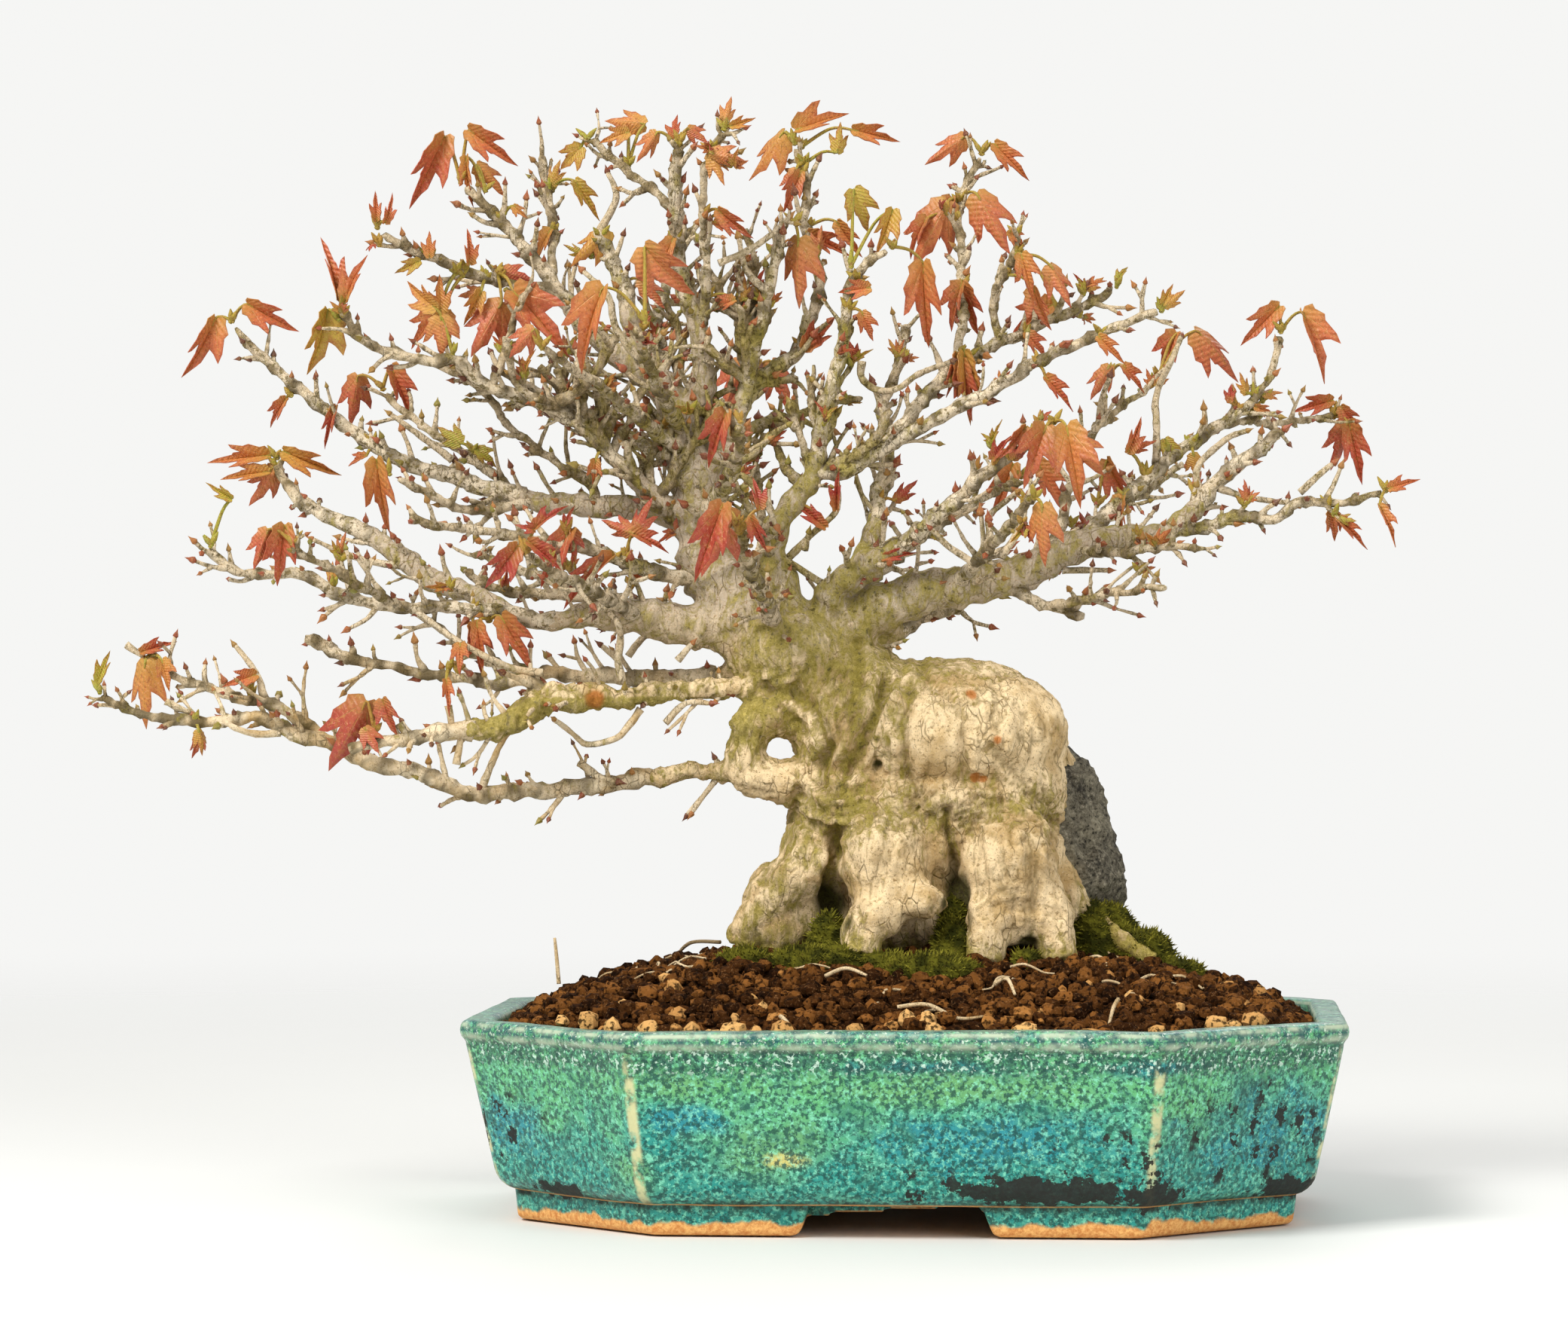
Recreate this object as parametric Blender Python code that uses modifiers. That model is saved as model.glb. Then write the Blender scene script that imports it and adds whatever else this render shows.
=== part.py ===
"""Trident maple bonsai grown over a rock, in a glazed cut-corner pot.

Run with: blender --background --python part.py

Lengths in the tables below are in millimetres and are scaled by MM. The pot's long side lies along X
and its front faces -Y. The tree, its rock and its moss share a stand empty that is turned a little in
the pot. At the end the whole model is moved so that the origin is the bottom centre of its box.
"""

import math

import bmesh
import bpy
import numpy as np
from mathutils import Matrix, Vector
from mathutils.bvhtree import BVHTree

MM = 0.001
GAP = 0.3 * MM  # clearance between pieces that touch
ROCK_GAP = 0.6 * MM  # clearance of the rock and the moss round the wood

# Pot: an eight-sided bowl with slanting walls on four corner feet.
POT_LENGTH = 210 * MM
POT_DEPTH = 176 * MM
POT_HEIGHT = 48 * MM
CORNER_CUT = 43 * MM  # each corner's cut, measured along the sides
WALL = 6 * MM
FLOOR = 5 * MM
WALL_DRAFT = 7.5 * MM  # how far the foot of the wall stands inside its top
RIM_BAND = 4.5 * MM  # height of the rim's band
RIM_PROUD = 0.9 * MM  # how far the band stands out from the wall
RIM_ROUND = 1.6 * MM
HEEL_ROUND = 5 * MM  # rounding under the wall
FOOT_HEIGHT = 7 * MM
FOOT_INSET = 12 * MM
FOOT_WIDTH = 13 * MM
ARCH_WIDTH = 39 * MM  # opening between two feet, at its top
ARCH_FLARE = 3.5 * MM  # how much wider each side of the opening is at the table
SIDE_ARCH_WIDTH = 34 * MM

# Drainage: a mesh square over each hole, held by a bent wire.
DRAIN_SPACING = 76 * MM
DRAIN_WIDTH = 16 * MM
SCREEN_SIDE = 27 * MM
SCREEN_THICK = 1.0 * MM
SCREEN_BAR = 2.0 * MM
CLIP_WIRE = 1.5 * MM
CLIP_SPREAD = 5 * MM  # how far the wire's ends reach beyond the hole
CLIP_ROOM = 0.7 * MM  # from the wire's legs to the screen's inner bars

# Soil: level with the rim at the walls and heaped towards the trunk.
SOIL_RISE = 18 * MM
SOIL_SHOULDER = 3.0  # how square the mound is along X
SOIL_FALL = 1.8  # and along Y
SOIL_EDGE = 10 * MM  # width of the slope beside the wall
SOIL_BELOW_RIM = 1.5 * MM
ROOT_BALL_AT = (2, 8)  # its middle (x, y) in the tree's space
ROOT_BALL_TOP = 16 * MM  # radius at the soil's crown
ROOT_BALL_FOOT = 12 * MM
ROOT_BALL_DEPTH = 34 * MM

# Tree
TREE_TURN = math.radians(4)
SOIL_CROWN = 66 * MM  # height that the tables below have the soil's crown at; the tree follows the real one
TRUNK_VOXEL = 2.6 * MM
TRUNK_KEPT = 0.24  # share of the trunk's faces kept when it is thinned
THICK_LIMB = 2.3 * MM  # limbs over this radius have six sides, the others four
SPUR_RADIUS = 0.6 * MM  # the short twig under each shoot
LEAF_THICK = 0.5 * MM
STALK_WIDTH = 1.0 * MM
SHOOT_GAP = 0.6 * MM  # from the end of a twig to the stalks on it
SHOOT_REACHES = (0, -4, 4, -8, 8, -12, 12, -16, 16, -20, 20, -24, 24)  # leans in depth a shoot may take
ROOT_DEPTHS = {"trunk": -5, "hub": 0}  # depth (y) at which limbs leave the trunk
ROCK_VOXEL = 5 * MM
ROOM_VOXEL = 1.8 * MM
ROOM_KEPT = 0.3
ROCK_KEPT = 0.25
MOSS_VOXEL = 2.5 * MM
MOSS_KEPT = 0.4

# Swollen masses of the trunk: centre (x, y, z) and half-sizes.
TRUNK_MASSES = (
    ((8, 2, 115), (31, 25, 19)),
    ((-19, 0, 117), (18, 20, 21)),
    ((-30, 1, 135), (16, 14, 12)),
    ((2, 4, 92), (33, 25, 17)),
    ((-6, -16, 84), (11, 12, 17)),
    ((23, -13, 83), (12.5, 13, 18)),
    ((-24, -4, 84), (9, 12, 13)),
    ((26, 8, 84), (12, 14, 20)),
    ((4, -25, 75), (4.5, 4, 4)),
    ((2, 8, 72), (27, 20, 15)),
)

# Roots and the loop at the left: radii along the points.
ROOTS = (
    ("loop", (6.5, 5.5, 5, 5, 5.5, 6.5),
     ((-20, -3, 104), (-31, -5, 104), (-41, -6, 105.5), (-42, -6, 113), (-36, -5, 119), (-27, -3, 122))),
    ("left_root", (9, 7, 5, 3.5), ((-22, -8, 86), (-30, -9, 79), (-37, -9, 72), (-43, -8, 64))),
    ("left_knee", (9, 7, 5.5, 5), ((-6, -18, 80), (-8, -22, 73), (-12, -24, 68), (-13, -25, 62))),
    ("knee_knob", (7, 4.5, 4), ((-2, -20, 78), (3, -25, 75.5), (5, -27, 73))),
    ("inner_toe", (9, 6, 4.5), ((21, -17, 76), (18, -21, 68), (17, -24, 60))),
    ("outer_toe", (9, 6, 4.5), ((29, -14, 76), (34, -17, 68), (36, -20, 60))),
    ("right_root", (8, 4, 3, 2), ((34, 0, 78), (43, -3, 70), (51, -6, 65), (59, -8, 60))),
    ("back_root", (10, 8, 6), ((-14, 14, 92), (-24, 26, 76), (-31, 34, 60))),
    ("rock_root", (9, 6.5, 5.5, 5), ((8, 20, 108), (6, 36, 98), (2, 44, 80), (0, 48, 60))),
    ("shoulder_root", (8, 5.5, 4.5), ((30, 12, 112), (42, 24, 92), (47, 30, 62))),
)

# The rock's lumps, as the trunk's masses.
ROCK_MASSES = (
    ((20, 22, 90), (31, 23, 28)),
    ((34, 20, 78), (20, 20, 17)),
    ((16, 24, 72), (33, 22, 14)),
)

# Limbs: name, parent, radii along the limb, depth (y) at its end, and its points (x, z) from the parent
# outwards. A limb starts at its parent's depth.
LIMBS = (
    ("low_left", "trunk", (2.8, 2.2, 2, 2.2, 1.4, 0.7), -8,
     ((-40, 105.5), (-53, 106), (-62, 104.6), (-74, 103), (-85, 101.5), (-96, 101), (-108, 100.5),
      (-116, 104), (-124, 106.5), (-132, 108), (-142, 113), (-151, 115), (-160, 119), (-172, 118),
      (-184, 119), (-191, 121), (-197.5, 124))),
    ("low_left_fork", "low_left", (1.6, 1.3, 0.8), 10,
     ((-142, 113.5), (-150, 119.5), (-158, 123), (-165, 124), (-173, 126.5), (-181, 130.5), (-184, 133))),
    ("scar_limb", "trunk", (3, 2.6, 3.6, 3.6, 2.6, 1.8, 1.2), -30,
     ((-34, 126), (-50, 126), (-60, 125), (-70, 124), (-80, 124), (-90, 123), (-97, 118.5), (-104, 116),
      (-112, 116), (-120, 114.4), (-129, 113), (-137, 111.8))),
    ("bare_left", "scar_limb", (1.8, 1.4, 1.2, 1.5), -16,
     ((-87, 124.5), (-94, 128), (-101, 127), (-108, 129), (-118, 129.5), (-128, 132), (-136, 133.5),
      (-148, 138.5))),
    ("grey_left", "hub", (2.6, 2, 1.3, 0.9), 18,
     ((-42, 130), (-58, 128.5), (-72, 129), (-84, 129.5), (-94, 130.5), (-105, 134), (-113, 139),
      (-122, 146))),
    ("mid_left", "hub", (5.5, 4, 2.2, 1.5, 1.7, 1.2, 1.1), -26,
     ((-38, 139), (-54, 141.5), (-66, 143.5), (-77, 144), (-88, 142.5), (-98, 144.5), (-110, 145.5),
      (-122, 146), (-133, 147.5), (-141, 149.5), (-147, 153.5), (-158, 154), (-165, 155), (-171.5, 160))),
    ("shelf_left", "mid_left", (2.4, 2.8, 2, 1), 20,
     ((-98, 144.5), (-107, 149), (-115, 151.5), (-121, 155.5), (-127, 160), (-134, 164.5), (-142, 168),
      (-149, 172), (-153, 177), (-154.5, 180.5))),
    ("shelf_low", "mid_left", (1.1, 0.8), -48, ((-126, 146.5), (-135, 151.5), (-142, 155.5), (-150, 160))),
    ("upper_mid_left", "mid_left", (1.7, 1.2, 0.9), -2,
     ((-70, 144), (-80, 148), (-92, 149.5), (-103, 151), (-109, 155))),
    ("leader", "hub", (9.5, 8.5, 8, 6.5, 5, 3.6, 2.6, 1.6), 8,
     ((-34, 138), (-42, 145), (-48, 155), (-51, 166), (-53, 177), (-55, 188), (-59, 198), (-65, 206),
      (-68, 214), (-70, 223), (-73, 231), (-77, 238))),
    ("low_fan", "leader", (3.2, 2.8, 2.2, 1.8, 1.4, 0.8), 14,
     ((-51, 166), (-66, 170), (-77, 170.5), (-88, 171.5), (-96, 173), (-106, 176), (-116, 179), (-125, 182),
      (-133, 187), (-141, 192.5), (-149, 199), (-157, 206), (-162, 211), (-165, 214.5))),
    ("fan_riser", "low_fan", (1.2, 1, 0.9), -4,
     ((-78, 170.5), (-78, 176), (-84, 180), (-91, 184.5), (-98, 190), (-104, 198), (-108, 203))),
    ("fan_under", "low_fan", (1.5, 1.1, 0.8), -12,
     ((-92, 172), (-103, 169.5), (-112, 171), (-119, 174.5), (-125, 177))),
    ("fan_forward", "leader", (2.2, 1.5, 0.9), -38,
     ((-47, 153), (-60, 154), (-70, 157), (-80, 160.5), (-90, 162), (-100, 164), (-112, 165.5),
      (-122, 167.5))),
    ("fan_back", "low_fan", (1.4, 1.1, 0.8), 30,
     ((-95, 173), (-104, 180), (-111, 185), (-118, 189.5), (-124, 193.5), (-128.5, 198))),
    ("fan_high", "leader", (3, 2, 1.6, 1.3, 1), -22,
     ((-50, 163), (-62, 172), (-69, 179), (-75, 185), (-81, 191), (-88, 195.5), (-97, 198), (-105, 201),
      (-111, 206), (-120, 206.5), (-128, 208.5), (-134, 211), (-138.5, 218))),
    ("upper_left", "leader", (3.2, 2.6, 2, 1.4, 0.9), 10,
     ((-59, 198), (-70, 206), (-77, 212), (-83, 219), (-88, 226), (-94, 233), (-99, 239), (-105, 245),
      (-109, 249))),
    ("upper_left_low", "upper_left", (1.7, 1.4, 0.9), -16,
     ((-86, 223), (-95, 225), (-102, 226), (-109, 228), (-116, 231), (-123, 233.5), (-129, 237.5))),
    ("upper_left_high", "upper_left", (1.2, 0.9), 28,
     ((-88, 226), (-87, 236), (-88, 243), (-89, 250), (-90, 256))),
    ("upper_left_front", "leader", (2, 1.5, 0.9), -34,
     ((-54, 183), (-67, 193), (-74, 198), (-80, 203), (-90, 209))),
    ("centre_up", "leader", (3.6, 2.8, 2.2, 1.9, 1.3), -10,
     ((-54, 184), (-51, 200), (-51, 210), (-54, 220), (-57, 230), (-57.5, 240), (-57.5, 250),
      (-56.5, 258))),
    ("centre_front", "centre_up", (1.5, 1.1, 0.8), -26,
     ((-51, 212), (-50, 225), (-50.5, 237), (-51, 247), (-49, 256), (-46, 262))),
    ("crest_left", "centre_up", (1.2, 0.8), 8,
     ((-57.5, 243), (-63, 248), (-69, 252), (-74, 257), (-78, 260))),
    ("centre_right", "leader", (3, 2.2, 1.6, 0.9), -8,
     ((-52, 174), (-44, 187), (-41, 197), (-39, 206), (-37, 215), (-34, 226), (-32, 236), (-30, 241))),
    ("cross_right", "centre_right", (2.2, 1.7, 1.4, 0.8), 18,
     ((-42, 194), (-35, 203), (-28, 208), (-25, 216), (-22, 224), (-24, 233), (-26, 241), (-25.5, 250),
      (-28, 258))),
    ("bridge", "centre_right", (1.7, 1.3, 0.8), 32,
     ((-45, 185), (-36, 191), (-28, 192.5), (-21, 195.5), (-12, 197))),
    ("front_upright", "hub", (4.4, 3.2, 2.6, 2, 1.6, 1), -12,
     ((-27, 138), (-31, 150), (-34, 159), (-33, 166), (-28, 172), (-24, 179), (-22, 187), (-20, 197),
      (-18, 205), (-16, 212), (-15.5, 221), (-13, 228), (-6, 233))),
    ("long_right", "front_upright", (2.2, 1.9, 1.7, 1.4, 1), -22,
     ((-24, 178), (-16, 179.5), (-8, 184), (0, 188.5), (8, 193), (16, 197), (25, 202), (33, 207), (42, 211),
      (51, 215), (60, 218))),
    ("long_right_high", "long_right", (1.9, 1.6, 1.3, 0.9), 12,
     ((-7, 184.5), (0, 193), (5, 199), (11, 205), (18, 209), (26, 212), (34, 216), (42, 219.5),
      (49, 223.5))),
    ("apex_right", "long_right_high", (1.3, 1.1, 0.8), 34,
     ((11, 205), (12.5, 214), (12.5, 224), (12, 234), (12, 243), (14, 250), (17, 255.5))),
    ("apex_right_low", "long_right_high", (1.2, 0.8), -6,
     ((22, 210.5), (20, 219), (22, 226), (25, 232), (26, 237))),
    ("right_riser", "hub", (4, 3, 2.4, 1.9, 1.3, 0.9), -26,
     ((-23, 139), (-20, 149), (-13, 155.5), (-5, 159.5), (3, 165), (10, 171), (17, 178), (24, 182.5),
      (30, 187), (34, 190))),
    ("right_upright", "right_riser", (2.8, 2.3, 1.6, 1), 20,
     ((-13, 155.5), (-9, 164), (-8, 172), (-6, 180), (-6, 189), (-6.5, 197), (-3, 204), (-1.5, 215))),
    ("right_main", "hub", (6, 4.6, 4, 3.2, 2.6, 2, 1.3), -6,
     ((-18, 139), (-6, 146), (5, 150), (16, 151.5), (27, 154), (36, 159), (45, 162), (54, 163), (63, 164.5),
      (68, 169), (73, 174.5), (79, 180), (85, 185), (90, 188.5))),
    ("right_under", "hub", (3, 2, 1.7), 10, ((-14, 134), (0, 142), (7, 145.2), (12.5, 146))),
    ("right_tip", "right_main", (1.7, 1.3, 0.8), -18,
     ((63, 164.5), (73, 166), (80, 168), (87, 167.5), (94, 171), (102, 171.5), (109, 172), (115, 174))),
    ("right_up", "right_main", (2.2, 1.8, 1.4, 0.8), 22,
     ((40, 160.5), (48, 169), (56, 176), (63, 182), (70, 187), (77, 191.5), (83, 196), (87, 202),
      (90, 212))),
    ("right_up_side", "right_up", (1, 0.7), 38, ((77, 191.5), (87, 191), (96, 191.8), (103, 192.6))),
    ("inner_right", "right_main", (1.5, 1.1, 0.8), 40,
     ((34, 158), (37, 168), (39, 177), (42, 186), (47, 191), (53, 195.5), (59, 200.5))),
    ("right_bottom", "right_main", (1.7, 1.3, 1.3), -8, ((20, 152), (28, 148.5), (35, 146), (42.5, 143.3))),
    ("right_bottom_tip", "right_bottom", (1.1, 0.8), -32,
     ((34, 146.3), (39, 147), (44, 148.5), (52, 149.5), (58, 151), (62, 150.7))),
    ("right_low", "right_main", (1.5, 1.2, 0.8), -34, ((39, 160), (50, 159.5), (60, 160.5), (70, 161))),
    ("back_crown", "leader", (3.4, 2.2, 1.3, 0.8), 84,
     ((-51, 166), (-48, 174), (-45, 184), (-41, 194), (-38, 203))),
    ("back_left", "leader", (3, 2, 1.2, 0.8), 78,
     ((-53, 177), (-62, 184), (-73, 189), (-84, 193), (-94, 196))),
    ("back_right", "hub", (4.2, 2.8, 1.8, 1.2, 0.8), 82,
     ((-24, 138), (-16, 148), (-6, 157), (5, 165), (15, 171), (26, 177))),
    ("back_shelf", "mid_left", (2.4, 1.6, 0.9), 76,
     ((-58, 142), (-70, 147), (-82, 151), (-95, 155), (-106, 159))),
    ("back_far_right", "right_main", (2, 1.5, 0.8), 72,
     ((27, 154), (38, 162), (48, 169), (58, 175), (66, 181))),
    ("back_top", "leader", (2.2, 1.5, 0.8), 58,
     ((-62, 202), (-62, 214), (-60, 224), (-57, 233), (-52, 240))),
    ("front_crown", "leader", (2.8, 1.8, 0.9), -66, ((-51, 166), (-47, 173), (-43, 181), (-42, 190))),
    ("front_high", "leader", (2.2, 1.5, 0.8), -56, ((-55, 188), (-60, 196), (-64, 205), (-67, 214))),
    ("front_low", "hub", (3, 1.8, 0.9), -62, ((-32, 138), (-35, 146), (-39, 155), (-42, 164))),
    ("front_right", "right_main", (2, 1.4, 0.8), -62, ((10, 150.5), (17, 158), (24, 166), (30, 173))),
    ("front_left", "mid_left", (2, 1.4, 0.8), -66, ((-66, 143.5), (-76, 149), (-86, 154), (-94, 159))),
)

# Shoots: name, the limb it grows from, the foot of its stalks (x, z), and each leaf's neck and tip (x, z)
# with its width.
SHOOTS = (
    ("far_left_pair", "low_left_fork", (-186, 134),
     (((-187, 133), (-189, 117), 8), ((-183, 133), (-181, 126), 5))),
    ("far_left_green", "low_left", (-198.2, 125.5), (((-198.6, 127.5), (-196, 136), 3.5),)),
    ("under_fork", "low_left", (-174, 117), (((-174, 115.5), (-175, 108.5), 4),)),
    ("low_left_big", "scar_limb", (-131, 115.5),
     (((-133, 123), (-142, 105), 11), ((-129, 123.5), (-126.5, 114.5), 6))),
    ("scar_hanger", "bare_left", (-113, 130.5),
     (((-110, 137), (-110.5, 130.5), 5), ((-113.5, 128), (-112.6, 121), 3))),
    ("mid_left_pair", "mid_left", (-103, 142.8),
     (((-100, 143.5), (-92.5, 131), 8), ((-106, 142), (-104.5, 131), 5))),
    ("shelf_cluster", "shelf_low", (-151, 161.5),
     (((-153, 166), (-155, 151), 8), ((-157, 165), (-160, 155), 5))),
    ("shelf_star", "shelf_left", (-155, 182.6),
     (((-157, 183), (-172.5, 182), 6), ((-153, 184), (-140, 178), 6))),
    ("hanging_tongue", "fan_under", (-127.5, 178.8), (((-130.5, 182), (-128.5, 163.5), 8),)),
    ("fan_tip_pair", "low_fan", (-166, 216),
     (((-170, 216.5), (-176, 201), 8), ((-162, 220), (-150, 213), 7))),
    ("fan_tip_inner", "low_fan", (-151.5, 197.8), (((-152.5, 197), (-158, 190), 3.5),)),
    ("fan_pair", "fan_back", (-129, 199.5),
     (((-135, 202.5), (-137, 190), 7), ((-127, 204.5), (-121, 192.5), 6))),
    ("upright_pair", "fan_high", (-138.7, 219.5),
     (((-140, 221.5), (-143, 237), 5), ((-138, 221), (-134.5, 232.5), 5))),
    ("olive_drop", "fan_high", (-140, 216.5), (((-142.5, 218.5), (-145.5, 202), 10),)),
    ("yellow_pair", "fan_back", (-107, 184),
     (((-110, 186), (-116, 190), 6), ((-106, 184.5), (-101, 181), 5))),
    ("fan_cluster", "fan_high", (-112, 208),
     (((-116, 219), (-124, 225), 6), ((-115, 217), (-114, 207.5), 9))),
    ("left_drop", "upper_left_low", (-101, 227.5),
     (((-100, 220.5), (-107.5, 207.5), 9), ((-97, 223), (-83.5, 209), 12))),
    ("top_left_tip", "upper_left_low", (-130.3, 239),
     (((-130.5, 240.5), (-131, 247.5), 3), ((-128.5, 240), (-126, 246), 3))),
    ("top_left_drop", "upper_left", (-110, 250),
     (((-114, 261), (-122, 243), 9), ((-108, 262.5), (-96.5, 254), 7))),
    ("top_left_orange", "upper_left", (-104, 248),
     (((-106, 254), (-98.5, 247), 5), ((-108.5, 256), (-108.5, 244), 3.5))),
    ("olive_crest", "crest_left", (-79, 260.5), (((-80.5, 258.5), (-86, 252.5), 7),)),
    ("crest_spread", "crest_left", (-69, 254),
     (((-65, 264), (-75, 265.5), 6), ((-69, 262), (-76, 259.8), 5))),
    ("crest_tuft", "centre_up", (-56.5, 259.5),
     (((-57.5, 260.5), (-58, 266.5), 4), ((-54.5, 263), (-49.5, 259.5), 4))),
    ("top_bud", "centre_front", (-45.5, 263),
     (((-45.5, 264.5), (-43.5, 271), 3), ((-44, 263.5), (-38, 265.5), 3))),
    ("crown_front", "front_high", (-65, 216),
     (((-65, 234), (-55, 220.5), 12), ((-75, 224), (-84, 205), 10))),
    ("crown_right_up", "cross_right", (-28.5, 259.5),
     (((-31, 262), (-40.5, 251), 7), ((-28, 262.5), (-15.5, 267.5), 7))),
    ("crown_right_drop", "centre_right", (-28.2, 239.8), (((-27.5, 236), (-28.8, 219), 9),)),
    ("olive_hook", "front_upright", (-14.5, 229.5),
     (((-14, 248), (-10, 237.5), 9), ((-4.5, 243), (-8, 232), 6))),
    ("apex_pair", "apex_right", (17.3, 257), (((13.5, 261), (3, 254.5), 5), ((20.5, 259), (29, 250.5), 6))),
    ("apex_big", "apex_right", (11.5, 245), (((9, 245), (1, 230), 11), ((16, 247), (24, 233.5), 9))),
    ("apex_under", "front_upright", (-4.5, 234), (((3, 230), (3.5, 209), 10),)),
    ("mid_drop", "long_right_high", (9.5, 200.6), (((12.5, 206), (14.5, 191.5), 6),)),
    ("right_wave", "long_right_high", (36, 218.5),
     (((35, 220), (23, 212.5), 9), ((27, 232), (30.5, 223), 6))),
    ("olive_tip", "long_right_high", (50.3, 224.5), (((50.5, 225.5), (52.5, 230), 2.5),)),
    ("right_tuft", "long_right", (61.3, 218.7),
     (((62, 219.5), (67.5, 223.5), 3), ((61.5, 220), (64, 225), 3))),
    ("inner_right_pair", "inner_right", (60.5, 202),
     (((65, 213), (60, 202.8), 7), ((69.5, 213.5), (82, 203.5), 7))),
    ("inner_right_small", "inner_right", (48.5, 203),
     (((48.5, 205), (44, 197), 5), ((52, 205), (57, 199), 4))),
    ("high_right", "right_up", (90.4, 213.5),
     (((90, 219.5), (80.5, 210), 7), ((95.5, 218), (103, 201.5), 8))),
    ("side_right", "right_up_side", (104.3, 193),
     (((103, 196.5), (93, 193.8), 5), ((107, 191), (110.5, 176), 7))),
    ("right_end", "right_tip", (116, 174.5),
     (((117, 175), (123.5, 177.5), 4), ((114.5, 170.5), (119, 162), 3.5))),
    ("right_end_drop", "right_tip", (102, 170.3),
     (((102.5, 169.5), (104.5, 162), 5), ((104, 168), (112, 160.5), 3.5))),
    ("big_droop", "right_riser", (35, 191.2), (((33, 190), (28, 176), 10), ((38, 190), (42, 171.5), 11))),
    ("long_droop", "back_far_right", (45.5, 171), (((48, 182), (53.5, 168.5), 7),)),
    ("front_red", "front_crown", (-41.8, 191.6), (((-45, 194), (-51, 180), 7),)),
    ("red_left", "front_left", (-94.5, 160), (((-96, 161), (-104, 150), 7), ((-93.5, 162), (-85, 156), 4))),
    ("low_red", "front_low", (-42, 165.5), (((-45, 170), (-52.5, 153.5), 10),)),
    ("back_crown_leaf", "back_crown", (-37.5, 204.5),
     (((-41, 206), (-46, 193), 8), ((-34, 206), (-28, 195), 8))),
    ("back_right_leaf", "back_right", (27, 178), (((25, 181), (20, 168), 8), ((31, 181), (38, 170), 8))),
)

# Moss cushions: name, centre (x, y) and half-sizes.
MOSS = (
    ("moss_front", (5, -34), (12, 7, 5)),
    ("moss_left", (-27, -24), (9, 7, 5)),
    ("moss_right", (48, 8), (9, 7, 6)),
)

BARK = (0.56, 0.45, 0.27, 1)
GLAZE = (0.03, 0.22, 0.2, 1)
EARTH = (0.07, 0.03, 0.018, 1)
STONE = (0.045, 0.043, 0.045, 1)
MOSS_GREEN = (0.07, 0.1, 0.015, 1)
LEAF_RED = (0.42, 0.1, 0.035, 1)
PLASTIC = (0.02, 0.02, 0.02, 1)
WIRE = (0.3, 0.29, 0.27, 1)


def clear_scene():
    """Remove what the startup file holds."""
    for obj in list(bpy.data.objects):
        bpy.data.objects.remove(obj, do_unlink=True)


def new_collection(name):
    """Add a collection to the scene."""
    collection = bpy.data.collections.new(name)
    bpy.context.scene.collection.children.link(collection)
    return collection


def finish_material(name, colour, roughness, metallic=0.0):
    """Make a Principled BSDF material."""
    material = bpy.data.materials.new(name)
    material.use_nodes = True
    shader = material.node_tree.nodes["Principled BSDF"]
    shader.inputs["Base Color"].default_value = colour
    shader.inputs["Roughness"].default_value = roughness
    shader.inputs["Metallic"].default_value = metallic
    return material


def object_from_bmesh(name, bm, collection, material=None):
    """Turn a bmesh into an object of the collection and free it."""
    mesh = bpy.data.meshes.new(name)
    bm.to_mesh(mesh)
    bm.free()
    obj = bpy.data.objects.new(name, mesh)
    collection.objects.link(obj)
    if material:
        mesh.materials.append(material)
    return obj


def as_cutter(obj):
    """Hide a helper from the build."""
    obj.hide_render = True
    obj.display_type = "WIRE"
    return obj


def apply_modifiers(obj):
    """Replace an object's mesh by what its modifiers make of it."""
    bpy.context.view_layer.update()
    graph = bpy.context.evaluated_depsgraph_get()
    mesh = bpy.data.meshes.new_from_object(obj.evaluated_get(graph))
    obj.modifiers.clear()
    obj.data = mesh


def boolean(obj, other, operation):
    """Join or cut an object with another and apply it."""
    modifier = obj.modifiers.new(operation.title(), "BOOLEAN")
    modifier.operation = operation
    modifier.object = other
    modifier.solver = "EXACT"
    apply_modifiers(obj)


def octagon(inset, z):
    """Corners of the pot's outline, moved in by an inset, anticlockwise from above."""
    half_x = POT_LENGTH / 2 - inset
    half_y = POT_DEPTH / 2 - inset
    cut = CORNER_CUT - inset * (2 - math.sqrt(2))
    corners = []
    for x, y, along_x in ((1, 1, False), (-1, 1, True), (-1, -1, False), (1, -1, True)):
        on_side = Vector((x * half_x, y * (half_y - cut), z))
        on_front = Vector((x * (half_x - cut), y * half_y, z))
        corners += [on_front, on_side] if along_x else [on_side, on_front]
    return corners


def loft(rings):
    """Bridge rings of the same count of points into one closed body with its faces outwards."""
    bm = bmesh.new()
    loops = [[bm.verts.new(point) for point in ring] for ring in rings]
    bm.faces.new(loops[0])
    bm.faces.new(loops[-1])
    for lower, upper in zip(loops, loops[1:]):
        for i, corner in enumerate(lower):
            after = (i + 1) % len(lower)
            bm.faces.new((corner, lower[after], upper[after], upper[i]))
    bmesh.ops.recalc_face_normals(bm, faces=bm.faces)
    return bm


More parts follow.
